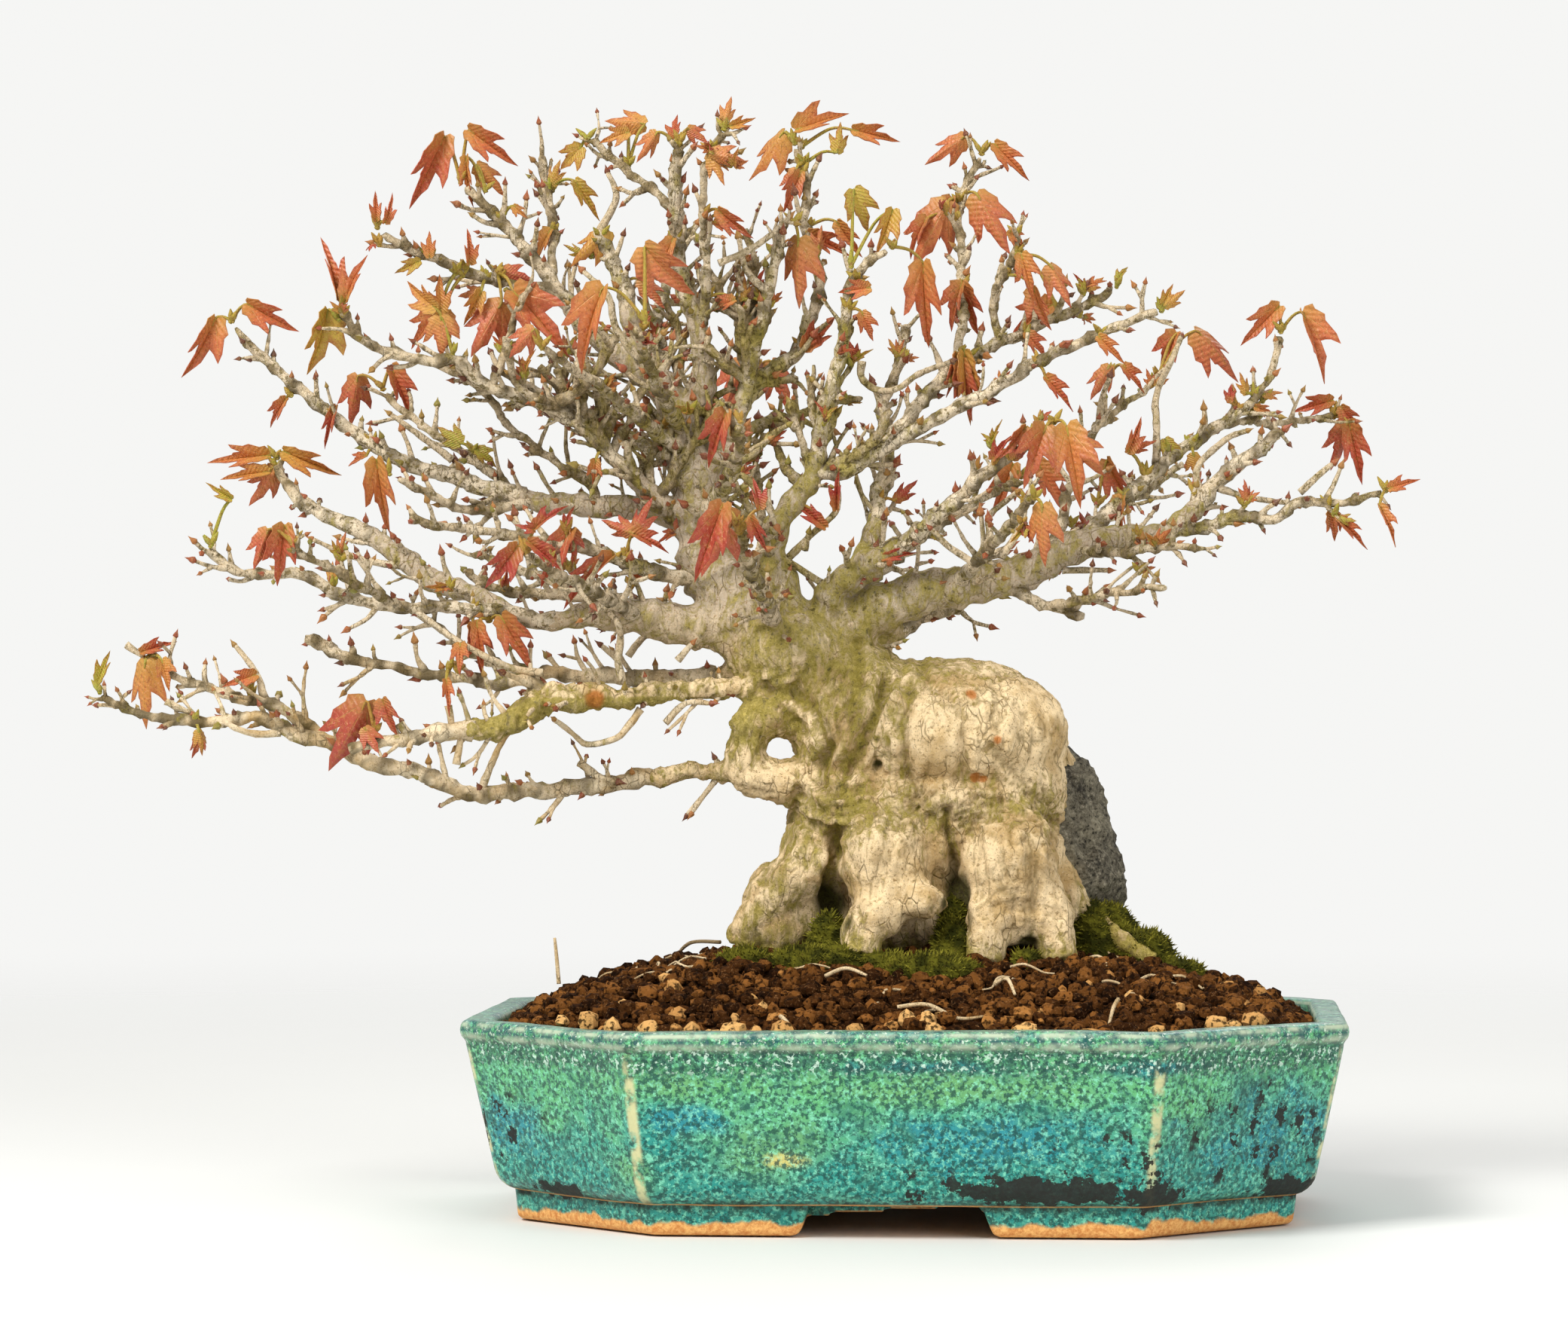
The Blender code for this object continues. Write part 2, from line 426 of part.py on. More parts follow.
def tube(name, points, radii, sides, collection):
    """A round bar through the points, as a mesh with its caps welded. Sides is 4, 6 or 8."""
    curve = bpy.data.curves.new(name, "CURVE")
    curve.dimensions = "3D"
    curve.bevel_depth = 1.0
    curve.bevel_resolution = sides // 2 - 2
    curve.use_fill_caps = True
    spline = curve.splines.new("POLY")
    spline.points.add(len(points) - 1)
    stations = np.linspace(0, 1, len(radii))
    spread = np.interp(np.linspace(0, 1, len(points)), stations, radii)
    for spot, point, radius in zip(spline.points, points, spread):
        spot.co = (*point, 1)
        spot.radius = radius
    guide = bpy.data.objects.new(name, curve)
    collection.objects.link(guide)
    bpy.context.view_layer.update()
    mesh = bpy.data.meshes.new_from_object(guide.evaluated_get(bpy.context.evaluated_depsgraph_get()))
    bpy.data.objects.remove(guide)
    bpy.data.curves.remove(curve)
    bm = bmesh.new()
    bm.from_mesh(mesh)
    bpy.data.meshes.remove(mesh)
    bmesh.ops.remove_doubles(bm, verts=bm.verts, dist=0.001 * MM)
    return object_from_bmesh(name, bm, collection)


def wall_inset(z):
    """How far the outside of the pot's wall stands inside the rim at a height."""
    top = POT_HEIGHT - RIM_BAND
    return RIM_PROUD + WALL_DRAFT * (top - z) / (top - FOOT_HEIGHT)


def inside_inset(z):
    """The same for the inside of the wall."""
    return wall_inset(z) + WALL


def make_pot(parts, cutters):
    """The pot: walls and floor, its ring of feet with four arches, and the drain holes."""
    band = POT_HEIGHT - RIM_BAND
    floor_top = FOOT_HEIGHT + FLOOR
    profile = []
    for step in range(4):
        angle = step / 3 * math.pi / 2
        z = FOOT_HEIGHT + HEEL_ROUND * (1 - math.cos(angle))
        profile.append((wall_inset(z) + HEEL_ROUND * (1 - math.sin(angle)), z))
    profile += [
        (wall_inset(band), band),
        (0, band + RIM_PROUD),
        (0, POT_HEIGHT - RIM_ROUND),
        (RIM_ROUND, POT_HEIGHT),
        (inside_inset(POT_HEIGHT) - RIM_ROUND, POT_HEIGHT),
        (inside_inset(POT_HEIGHT - RIM_ROUND), POT_HEIGHT - RIM_ROUND),
        (inside_inset(floor_top), floor_top),
    ]
    rings = [octagon(inset, z) for inset, z in profile]
    pot = object_from_bmesh("pot", loft(rings), parts, finish_material("glaze", GLAZE, 0.25))

    sunk = FLOOR / 2  # how far the feet reach up into the floor
    foot_rings = [octagon(FOOT_INSET + MM, 0), octagon(FOOT_INSET, FOOT_HEIGHT + sunk)]
    feet = object_from_bmesh("feet", loft(foot_rings), cutters)
    core_rings = [octagon(FOOT_INSET + FOOT_WIDTH, z) for z in (-MM, FOOT_HEIGHT + 2 * sunk)]
    boolean(feet, as_cutter(object_from_bmesh("foot_core", loft(core_rings), cutters)), "DIFFERENCE")
    for name, width, turn in (("front_arch", ARCH_WIDTH, 0), ("side_arch", SIDE_ARCH_WIDTH, math.pi / 2)):
        bm = bmesh.new()
        bmesh.ops.create_cube(bm, size=1)
        for corner in bm.verts:
            low = corner.co.z < 0
            half = width / 2 + (ARCH_FLARE if low else 0)
            corner.co.x = math.copysign(half, corner.co.x)
            corner.co.y = math.copysign(POT_LENGTH, corner.co.y)
            corner.co.z = 0 if low else FOOT_HEIGHT
        # The slanting ends run on a little above and below the feet.
        bmesh.ops.scale(bm, vec=(1, 1, 1 + 2 * sunk / FOOT_HEIGHT), verts=bm.verts)
        bmesh.ops.translate(bm, vec=(0, 0, -sunk / 2), verts=bm.verts)
        bmesh.ops.rotate(bm, cent=(0, 0, 0), matrix=Matrix.Rotation(turn, 3, "Z"), verts=bm.verts)
        boolean(feet, as_cutter(object_from_bmesh(name, bm, cutters)), "DIFFERENCE")
    as_cutter(feet)
    boolean(pot, feet, "UNION")

    for side in (-1, 1):
        bm = bmesh.new()
        place = Matrix.Translation((side * DRAIN_SPACING / 2, 0, FOOT_HEIGHT + FLOOR / 2))
        bmesh.ops.create_cone(bm, cap_ends=True, segments=24, radius1=DRAIN_WIDTH / 2,
                              radius2=DRAIN_WIDTH / 2, depth=3 * FLOOR, matrix=place)
        boolean(pot, as_cutter(object_from_bmesh("drain", bm, cutters)), "DIFFERENCE")
    return pot


def clip_leg():
    """How far each leg of a clip stands from the middle of its drain hole."""
    return DRAIN_WIDTH / 2 - GAP - 0.7 * CLIP_WIRE


def screen_lines():
    """Where the bars of a drain screen start and end. The clip's legs pass just outside the inner bars."""
    inner = clip_leg() - CLIP_WIRE / 2 - CLIP_ROOM
    half = [inner - SCREEN_BAR, inner, SCREEN_SIDE / 2 - SCREEN_BAR, SCREEN_SIDE / 2]
    return [-place for place in reversed(half)] + half


def make_screen(name, x, parts, material):
    """A square of plastic mesh that lies on the pot's floor over a drain hole."""
    lines = screen_lines()
    cells = len(lines) - 1
    bm = bmesh.new()
    bmesh.ops.create_grid(bm, x_segments=cells, y_segments=cells, size=cells / 2)
    for vert in bm.verts:
        column = round(vert.co.x + cells / 2)
        row = round(vert.co.y + cells / 2)
        vert.co = (lines[column], lines[row], 0)
    openings = []
    for face in bm.faces:
        centre = face.calc_center_median()
        column = np.searchsorted(lines, centre.x)
        row = np.searchsorted(lines, centre.y)
        if column % 2 == 0 and row % 2 == 0:
            openings.append(face)
    bmesh.ops.delete(bm, geom=openings, context="FACES")
    screen = object_from_bmesh(name, bm, parts, material)
    screen.location = (x, 0, FOOT_HEIGHT + FLOOR + GAP)
    solidify = screen.modifiers.new("Thickness", "SOLIDIFY")
    solidify.thickness = SCREEN_THICK
    solidify.offset = 1
    return screen


def make_clip(name, x, parts, material):
    """A bent wire over the screen, down through the drain hole and out under the floor."""
    radius = CLIP_WIRE / 2
    leg = clip_leg()
    under = FOOT_HEIGHT - GAP - radius
    over = FOOT_HEIGHT + FLOOR + SCREEN_THICK + 2 * GAP + radius
    end = DRAIN_WIDTH / 2 + CLIP_SPREAD
    half = [
        (end, under),
        (leg + radius, under),
        (leg, under + radius),
        (leg, over - radius),
        (leg - radius, over),
    ]
    points = [Vector((-along, 0, z)) for along, z in half]
    points += [Vector((along, 0, z)) for along, z in reversed(half)]
    clip = tube(name, points, (radius,), 6, parts)
    clip.location.x = x
    clip.data.materials.append(material)
    return clip


def soil_level(x, y):
    """Height of the soil's surface."""
    edge = POT_HEIGHT - RIM_ROUND - SOIL_BELOW_RIM
    inset = inside_inset(edge) + GAP
    half_x = POT_LENGTH / 2 - inset
    half_y = POT_DEPTH / 2 - inset
    cut = CORNER_CUT - inset * (2 - math.sqrt(2))
    to_corner = (half_x + half_y - cut - abs(x) - abs(y)) / math.sqrt(2)
    to_wall = max(0, min(half_x - abs(x), half_y - abs(y), to_corner))
    along = 1 - min(1, abs(x) / half_x) ** SOIL_SHOULDER
    across = 1 - min(1, abs(y) / half_y) ** SOIL_FALL
    return edge + SOIL_RISE * along * across * min(1, to_wall / SOIL_EDGE) ** 0.5


def soil_bottom():
    """Height of the soil's underside, clear of the clips."""
    return FOOT_HEIGHT + FLOOR + SCREEN_THICK + CLIP_WIRE + 3 * GAP


def make_soil(parts, material):
    """The mound of soil, filling the pot to just under the rim at the walls."""
    per_side = 4
    edge = POT_HEIGHT - RIM_ROUND - SOIL_BELOW_RIM
    rings = []
    for z, share in ((soil_bottom(), 1), (edge, 1), (None, 0.95), (None, 0.87), (None, 0.76), (None, 0.62),
                     (None, 0.46), (None, 0.28), (None, 0.12)):
        corners = octagon(inside_inset(edge if z is None else z) + GAP, 0)
        ring = []
        for i, corner in enumerate(corners):
            after = corners[(i + 1) % len(corners)]
            for step in range(per_side):
                point = corner.lerp(after, step / per_side) * share
                point.z = soil_level(point.x, point.y) if z is None else z
                ring.append(point)
        rings.append(ring)
    return object_from_bmesh("soil", loft(rings), parts, material)


def root_ball_body(clearance):
    """The cone of roots below the soil's surface, grown by a clearance."""
    bm = bmesh.new()
    depth = ROOT_BALL_DEPTH + clearance
    middle = Matrix.Translation((*(MM * value for value in ROOT_BALL_AT), SOIL_CROWN - depth / 2))
    bmesh.ops.create_cone(bm, cap_ends=True, segments=16, radius1=ROOT_BALL_FOOT + clearance,
                          radius2=ROOT_BALL_TOP + clearance, depth=depth, matrix=middle)
    return bm


def add_masses(bm, masses):
    """Add swollen, round bodies to a bmesh."""
    for centre, size in masses:
        place = Matrix.Translation(Vector(centre) * MM) @ Matrix.Diagonal((*size, 1))
        bmesh.ops.create_icosphere(bm, subdivisions=3, radius=MM, matrix=place)


def melt_together(obj, voxel, kept, rounds):
    """Fuse the overlapping bodies of an object into one skin, smooth it and thin it."""
    remesh = obj.modifiers.new("Skin", "REMESH")
    remesh.mode = "VOXEL"
    remesh.voxel_size = voxel
    smooth = obj.modifiers.new("Smooth", "SMOOTH")
    smooth.iterations = rounds
    thin = obj.modifiers.new("Thin", "DECIMATE")
    thin.ratio = kept
    apply_modifiers(obj)


def make_trunk(parts, cutters, material):
    """The trunk with its swollen base, its loop at the left and its roots, down to below the soil."""
    bm = bmesh.new()
    add_masses(bm, TRUNK_MASSES)
    for name, radii, points in ROOTS:
        root = tube(name, [Vector(point) * MM for point in points], [MM * r for r in radii], 8, cutters)
        bm.from_mesh(root.data)
        bpy.data.objects.remove(root)
    trunk = object_from_bmesh("tree_wood", bm, parts, material)
    melt_together(trunk, TRUNK_VOXEL, TRUNK_KEPT, 3)
    return trunk


def limb_routes():
    """Points of every limb in the tree's own space, each limb starting on its parent's centre line."""
    routes = {}
    for name, parent, _, end_depth, outline in LIMBS:
        flat = [Vector((x, 0, z)) * MM for x, z in outline]
        start_depth = ROOT_DEPTHS.get(parent, 0) * MM
        if parent in routes:
            on_parent = nearest_point(routes[parent], flat[0].x, flat[0].z)
            flat[0] = Vector((on_parent.x, 0, on_parent.z))
            start_depth = on_parent.y
        lengths = [0.0]
        for before, after in zip(flat, flat[1:]):
            lengths.append(lengths[-1] + (after - before).length)
        for point, length in zip(flat, lengths):
            point.y = start_depth + (end_depth * MM - start_depth) * length / lengths[-1]
        routes[name] = flat
    return routes


def fine_points(route):
    """A route's points with three more between each two."""
    points = []
    for before, after in zip(route, route[1:]):
        points += [before.lerp(after, step / 4) for step in range(4)]
    return points + [route[-1]]


def nearest_point(route, x, z):
    """The point of a limb's centre line that passes nearest a place, seen from the front."""
    return min(fine_points(route), key=lambda p: math.hypot(p.x - x, p.z - z))


def make_tree(parts, cutters, material, ground):
    """Trunk, limbs and the twigs under the shoots as one body that follows the soil's surface."""
    tree = make_trunk(parts, cutters, material)
    boolean(tree, ground, "DIFFERENCE")
    boolean(tree, as_cutter(object_from_bmesh("root_ball", root_ball_body(0), cutters)), "UNION")
    room = inflated(tree, ROCK_GAP, cutters)
    routes = limb_routes()
    limbs = new_collection("limbs")
    for name, _, radii, _, _ in LIMBS:
        sides = 6 if max(radii) * MM > THICK_LIMB else 4
        tube(name, routes[name], [MM * r for r in radii], sides, limbs)
    feet = {}
    for name, limb, (x, z), _ in SHOOTS:
        start = nearest_point(routes[limb], x * MM, z * MM)
        end = Vector((x * MM, start.y, z * MM))
        tube("spur_" + name, [start, end], (SPUR_RADIUS,), 4, limbs)
        feet[name] = end + (end - start).normalized() * SHOOT_GAP
    join = tree.modifiers.new("Limbs", "BOOLEAN")
    join.operation = "UNION"
    join.operand_type = "COLLECTION"
    join.collection = limbs
    join.solver = "EXACT"
    apply_modifiers(tree)
    for limb in list(limbs.objects):
        bpy.data.objects.remove(limb)
    bpy.data.collections.remove(limbs)
    return tree, room, feet


def blade(name, neck, tip, width, collection):
    """A three-lobed leaf blade from its neck to its tip, facing the front and a little upwards."""
    along = tip - neck
    length = along.length
    along.normalize()
    across = along.cross(Vector((0.2, -1, 0.35))).normalized()
    normal = across.cross(along)
    half = [(-0.06, 0.07), (0.18, 0.4), (0.66, 0.5), (0.62, 0.24), (1.0, 0.02)]
    outline = half + [(share, -side) for share, side in reversed(half)]
    rings = []
    for lift in (-0.5, 0.5):
        offset = neck + normal * lift * LEAF_THICK
        rings.append([offset + along * share * length + across * side * width for share, side in outline])
    return object_from_bmesh(name, loft(rings), collection)


def shoot_body(name, foot, leaves, reach, parts, cutters):
    """One shoot: stalks from its foot to each leaf's neck, and the blades. Reach leans it in depth."""
    necks = []
    blades = []
    for i, (neck, tip, width) in enumerate(leaves):
        lean = reach + (-2 if i else 2) * MM
        necks.append(Vector((neck[0] * MM, foot.y + 0.6 * lean, neck[1] * MM)))
        end = Vector((tip[0] * MM, foot.y + lean + 1.5 * (lean - reach), tip[1] * MM))
        blades.append(blade(name + "_blade", necks[-1], end, width * MM, cutters))
    route = [necks[0], foot] + necks[1:]
    shoot = tube(name, route, (STALK_WIDTH / 2,), 4, parts)
    for leaf in blades:
        boolean(shoot, leaf, "UNION")
        bpy.data.objects.remove(leaf)
    return shoot


def bvh_of(obj):
    """A search tree of an object's faces, in the stand's space."""
    bm = bmesh.new()
    bm.from_mesh(obj.data)
    found = BVHTree.FromBMesh(bm, epsilon=GAP)
    bm.free()
    return found


def make_shoots(parts, cutters, material, tree, feet):
    """Hang every shoot at the depth nearest its foot where it is clear of the wood and its neighbours."""
    taken = [bvh_of(tree)]
    shoots = []
    for name, _, _, leaves in SHOOTS:
        for reach in SHOOT_REACHES:
            shoot = shoot_body(name, feet[name], leaves, reach * MM, parts, cutters)
            space = bvh_of(shoot)
            if not any(space.overlap(other) for other in taken):
                break
            bpy.data.objects.remove(shoot)
        else:
            raise ValueError(f"no clear place for {name}")
        taken.append(space)
        shoot.data.materials.append(material)
        shoots.append(shoot)
    return shoots


def inflated(obj, distance, cutters):
    """A copy of an object grown outwards, to cut a clearance with."""
    grown = bpy.data.objects.new(obj.name + "_room", obj.data.copy())
    cutters.objects.link(grown)
    swell = grown.modifiers.new("Room", "DISPLACE")
    swell.strength = distance
    swell.mid_level = 0
    skin = grown.modifiers.new("Skin", "REMESH")  # takes out folds, which a cut can't follow
    skin.mode = "VOXEL"
    skin.voxel_size = ROOM_VOXEL
    thin = grown.modifiers.new("Thin", "DECIMATE")
    thin.ratio = ROOM_KEPT
    apply_modifiers(grown)
    return as_cutter(grown)


def main_body(obj):
    """Drop crumbs that a cut left loose, keeping the largest connected piece."""
    bm = bmesh.new()
    bm.from_mesh(obj.data)
    unseen = set(bm.verts)
    groups = []
    while unseen:
        front = [unseen.pop()]
        group = set(front)
        while front:
            vert = front.pop()
            for edge in vert.link_edges:
                other = edge.other_vert(vert)
                if other in unseen:
                    unseen.remove(other)
                    group.add(other)
                    front.append(other)
        groups.append(group)
    largest = max(groups, key=len)
    loose = [vert for vert in bm.verts if vert not in largest]
    bmesh.ops.delete(bm, geom=loose, context="VERTS")
    bm.to_mesh(obj.data)
    bm.free()


def make_rock(parts, material, room, ground):
    """The stone under the roots, cut clear of the wood and following the soil's surface."""
    bm = bmesh.new()
    add_masses(bm, ROCK_MASSES)
    rock = object_from_bmesh("rock", bm, parts, material)
    melt_together(rock, ROCK_VOXEL, ROCK_KEPT, 1)
    boolean(rock, room, "DIFFERENCE")
    boolean(rock, ground, "DIFFERENCE")
    main_body(rock)
    return rock


def make_moss(parts, material, rooms, ground, place):
    """Moss cushions on the soil, clear of the wood and the rock."""
    cushions = []
    for name, (x, y), size in MOSS:
        at = place @ Vector((x * MM, y * MM, 0))
        level = soil_level(at.x, at.y) - place.translation.z
        bm = bmesh.new()
        add_masses(bm, (((x, y, level / MM), size),))
        cushion = object_from_bmesh(name, bm, parts, material)
        melt_together(cushion, MOSS_VOXEL, MOSS_KEPT, 1)
        for room in rooms + [ground]:
            boolean(cushion, room, "DIFFERENCE")
        main_body(cushion)
        cushions.append(cushion)
    return cushions


def box_of(objects):
    """Lowest and highest corners of a group of objects, from their points."""
    bpy.context.view_layer.update()
    graph = bpy.context.evaluated_depsgraph_get()
    points = []
    for obj in objects:
        evaluated = obj.evaluated_get(graph)
        points += [evaluated.matrix_world @ vert.co for vert in evaluated.data.vertices]
    found = np.array(points)
    return found.min(axis=0), found.max(axis=0)


def main():
    """Build the tree in its pot and set the origin."""
    clear_scene()
    parts = new_collection("bonsai")
    cutters = new_collection("cutters")
    cutters.hide_render = True
    base = bpy.data.objects.new("bonsai_base", None)
    parts.objects.link(base)
    stand = bpy.data.objects.new("tree_stand", None)
    stand.rotation_euler.z = TREE_TURN
    stand.location.z = POT_HEIGHT + SOIL_RISE - SOIL_CROWN
    parts.objects.link(stand)

    make_pot(parts, cutters)
    plastic = finish_material("screen_plastic", PLASTIC, 0.6)
    wire = finish_material("clip_wire", WIRE, 0.35, 1.0)
    for side, name in ((-1, "left"), (1, "right")):
        make_screen("drain_screen_" + name, side * DRAIN_SPACING / 2, parts, plastic)
        make_clip("screen_clip_" + name, side * DRAIN_SPACING / 2, parts, wire)
    soil = make_soil(parts, finish_material("soil_grains", EARTH, 0.95))

    # The tree is cut by the soil's surface in its own turned space, and then placed with its stand.
    place = Matrix.Translation(stand.location) @ Matrix.Rotation(TREE_TURN, 4, "Z")
    ground = as_cutter(bpy.data.objects.new("ground", soil.data.copy()))
    cutters.objects.link(ground)
    ground.data.transform(place.inverted() @ Matrix.Translation((0, 0, GAP)))
    tree, room, feet = make_tree(parts, cutters, finish_material("bark", BARK, 0.85), ground)
    rock = make_rock(parts, finish_material("stone", STONE, 0.8), room, ground)
    rooms = [room, inflated(rock, ROCK_GAP, cutters)]
    moss = make_moss(parts, finish_material("moss", MOSS_GREEN, 0.95), rooms, ground, place)
    shoots = make_shoots(parts, cutters, finish_material("leaf", LEAF_RED, 0.5), tree, feet)
    for obj in [tree, rock, *moss, *shoots]:
        obj.parent = stand
    pocket = as_cutter(object_from_bmesh("root_pocket", root_ball_body(GAP), cutters))
    pocket.data.transform(place)
    boolean(soil, pocket, "DIFFERENCE")

    pieces = [obj for obj in parts.objects if obj.type == "MESH"]
    for obj in pieces:
        obj.data.shade_smooth()
        obj.data.set_sharp_from_angle(angle=math.radians(40))
    lowest, highest = box_of(pieces)
    stand.parent = base
    for obj in pieces:
        if obj.parent is None:
            obj.parent = base
    base.location = (-(lowest[0] + highest[0]) / 2, -(lowest[1] + highest[1]) / 2, -lowest[2])


main()
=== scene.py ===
"""Looks of a trident maple bonsai grown over a rock, in a glazed cut-corner pot.

Tables of places and sizes are in millimetres in the tree's own space, whose middle is the pot's middle on the
table: x runs to the right, y to the back and z up. GROVE turns them into metres in the model's frame, and
POT_PLACE does so for the pot and the soil, which stand square to the frame. EYE is the camera's place.
"""

import logging
import math
import random
from dataclasses import dataclass, field
from enum import Enum
from typing import Iterable, Sequence

import bmesh
import bpy
import numpy as np
from mathutils import Matrix, Vector, noise
from mathutils.kdtree import KDTree


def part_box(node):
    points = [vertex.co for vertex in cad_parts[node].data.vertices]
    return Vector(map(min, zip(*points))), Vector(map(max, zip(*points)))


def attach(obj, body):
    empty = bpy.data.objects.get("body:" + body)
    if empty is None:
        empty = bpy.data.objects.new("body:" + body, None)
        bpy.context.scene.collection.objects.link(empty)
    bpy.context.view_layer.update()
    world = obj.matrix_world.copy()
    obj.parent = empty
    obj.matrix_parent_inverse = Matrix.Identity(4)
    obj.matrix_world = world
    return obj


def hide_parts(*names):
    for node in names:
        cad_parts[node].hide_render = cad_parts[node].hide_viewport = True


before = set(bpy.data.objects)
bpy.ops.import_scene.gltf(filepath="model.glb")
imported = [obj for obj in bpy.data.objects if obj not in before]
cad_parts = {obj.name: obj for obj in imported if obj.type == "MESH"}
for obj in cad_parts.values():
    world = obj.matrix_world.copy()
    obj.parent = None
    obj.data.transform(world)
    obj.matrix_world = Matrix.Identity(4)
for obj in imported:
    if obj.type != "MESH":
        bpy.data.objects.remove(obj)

LOG = logging.getLogger("bonsai")
MM = 0.001
BODY = "root"

Socket = bpy.types.NodeSocket
Value = float | tuple[float, ...] | bpy.types.NodeSocket
Flat = tuple[float, float]
Place = tuple[float, float, float]


def pot_middle() -> Vector:
    """Find the middle of the pot on the table.

    Returns:
        The point in metres.
    """
    low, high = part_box("pot")
    return Vector(((low[0] + high[0]) / 2, (low[1] + high[1]) / 2, 0))


POT_MIDDLE = pot_middle()
TREE_TURN = math.radians(4)
GROVE = Matrix.Translation(POT_MIDDLE) @ Matrix.Rotation(TREE_TURN, 4, "Z") @ Matrix.Scale(MM, 4)
POT_PLACE = Matrix.Translation(POT_MIDDLE) @ Matrix.Scale(MM, 4)
EYE: Place = (-31.0, -1330.0, 132.0)


class Slot(Enum):
    """The material slots."""

    GLAZE = "glaze"
    SOIL = "soil_grains"
    STONE = "stone"
    BARK = "bark"
    MOSS = "moss"
    LEAF = "leaf"
    SCREEN = "screen_plastic"
    WIRE = "clip_wire"


# ---------------------------------------------------------------- node sheets


class NodeSheet:
    """Adds and links nodes in one node tree."""

    def __init__(self, tree: bpy.types.NodeTree) -> None:
        """Keep the tree to write in."""
        self.tree = tree

    def node(self, kind: str, inputs: dict[int | str, Value] | None = None,
             **settings: object) -> bpy.types.Node:
        """Add a node, set its options and set or link its inputs.

        Args:
            kind: The node's type.
            inputs: Values or sockets by input name or index.
            **settings: Options of the node itself.

        Returns:
            The new node.
        """
        made = self.tree.nodes.new(kind)
        for key, value in settings.items():
            setattr(made, key, value)
        for key, value in (inputs or {}).items():
            if isinstance(value, bpy.types.NodeSocket):
                self.tree.links.new(value, made.inputs[key])
            else:
                made.inputs[key].default_value = value
        return made

    def noise(self, point: Socket, scale: Value, detail: float = 3.0, rough: float = 0.55,
              distort: float = 0.0) -> Socket:
        """Add a noise pattern.

        Args:
            point: Where it is read.
            scale: How many of its largest bumps fit in a unit.
            detail: How many finer layers it has.
            rough: How strong the finer layers are.
            distort: How far it is twisted.

        Returns:
            Its value.
        """
        inputs = {"Vector": point, "Scale": scale, "Detail": detail, "Roughness": rough, "Distortion": distort}
        return self.node("ShaderNodeTexNoise", inputs).outputs["Fac"]

    def cells(self, point: Socket, scale: float, feature: str = "F1") -> Socket:
        """Add a cell pattern.

        Args:
            point: Where it is read.
            scale: How many cells fit in a unit.
            feature: What its distance is measured to.

        Returns:
            The distance.
        """
        made = self.node("ShaderNodeTexVoronoi", {"Vector": point, "Scale": scale}, feature=feature)
        return made.outputs["Distance"]

    def span(self, value: Socket, low: float, high: float, first: float = 0.0, last: float = 1.0) -> Socket:
        """Map a range of a value softly onto another range.

        Args:
            value: What is mapped.
            low: Where its range starts.
            high: Where its range ends.
            first: The result at its start.
            last: The result at its end.

        Returns:
            The result.
        """
        inputs = {"Value": value, "From Min": low, "From Max": high, "To Min": first, "To Max": last}
        made = self.node("ShaderNodeMapRange", inputs, interpolation_type="SMOOTHSTEP", clamp=True)
        return made.outputs["Result"]

    def calc(self, operation: str, first: Value, second: Value = 0.0) -> Socket:
        """Add a Math node and return its value."""
        return self.node("ShaderNodeMath", {0: first, 1: second}, operation=operation).outputs[0]

    def times(self, first: Value, second: Value) -> Socket:
        """Multiply two values."""
        return self.calc("MULTIPLY", first, second)

    def mix(self, share: Value, first: Value, second: Value) -> Socket:
        """Mix two colours.

        Args:
            share: How much of the second colour shows.
            first: The first colour, as a socket or as red, green and blue.
            second: The second colour.

        Returns:
            The mixed colour.
        """
        tones = [(*tone, 1) if isinstance(tone, tuple) else tone for tone in (first, second)]
        inputs = {0: share, 6: tones[0], 7: tones[1]}
        return self.node("ShaderNodeMix", inputs, data_type="RGBA").outputs[2]

    def ramp(self, value: Socket, stops: Sequence[tuple[float, tuple[float, float, float]]]) -> Socket:
        """Turn a value into a colour along a ramp.

        Args:
            value: The place on the ramp.
            stops: Place and colour of each stop.

        Returns:
            The colour.
        """
        made = self.node("ShaderNodeValToRGB", {0: value})
        bar = made.color_ramp.elements
        while len(bar) < len(stops):
            bar.new(0.5)
        for element, (place, colour) in zip(bar, stops):
            element.position = place
            element.color = (*colour, 1)
        return made.outputs["Color"]

    def attribute(self, name: str) -> Socket:
        """Read a value that the mesh carries."""
        return self.node("ShaderNodeAttribute", attribute_name=name).outputs["Fac"]

    def bump(self, height: Socket, distance: float, strength: float = 1.0) -> Socket:
        """Add a Bump node and return its normal."""
        inputs = {"Height": height, "Distance": distance, "Strength": strength}
        return self.node("ShaderNodeBump", inputs).outputs[0]

    def shared(self, tree: bpy.types.NodeTree, inputs: dict[int | str, Value]) -> Socket:
        """Place a shared effect, fill its inputs and return its first output."""
        return self.node("ShaderNodeGroup", inputs, node_tree=tree).outputs[0]


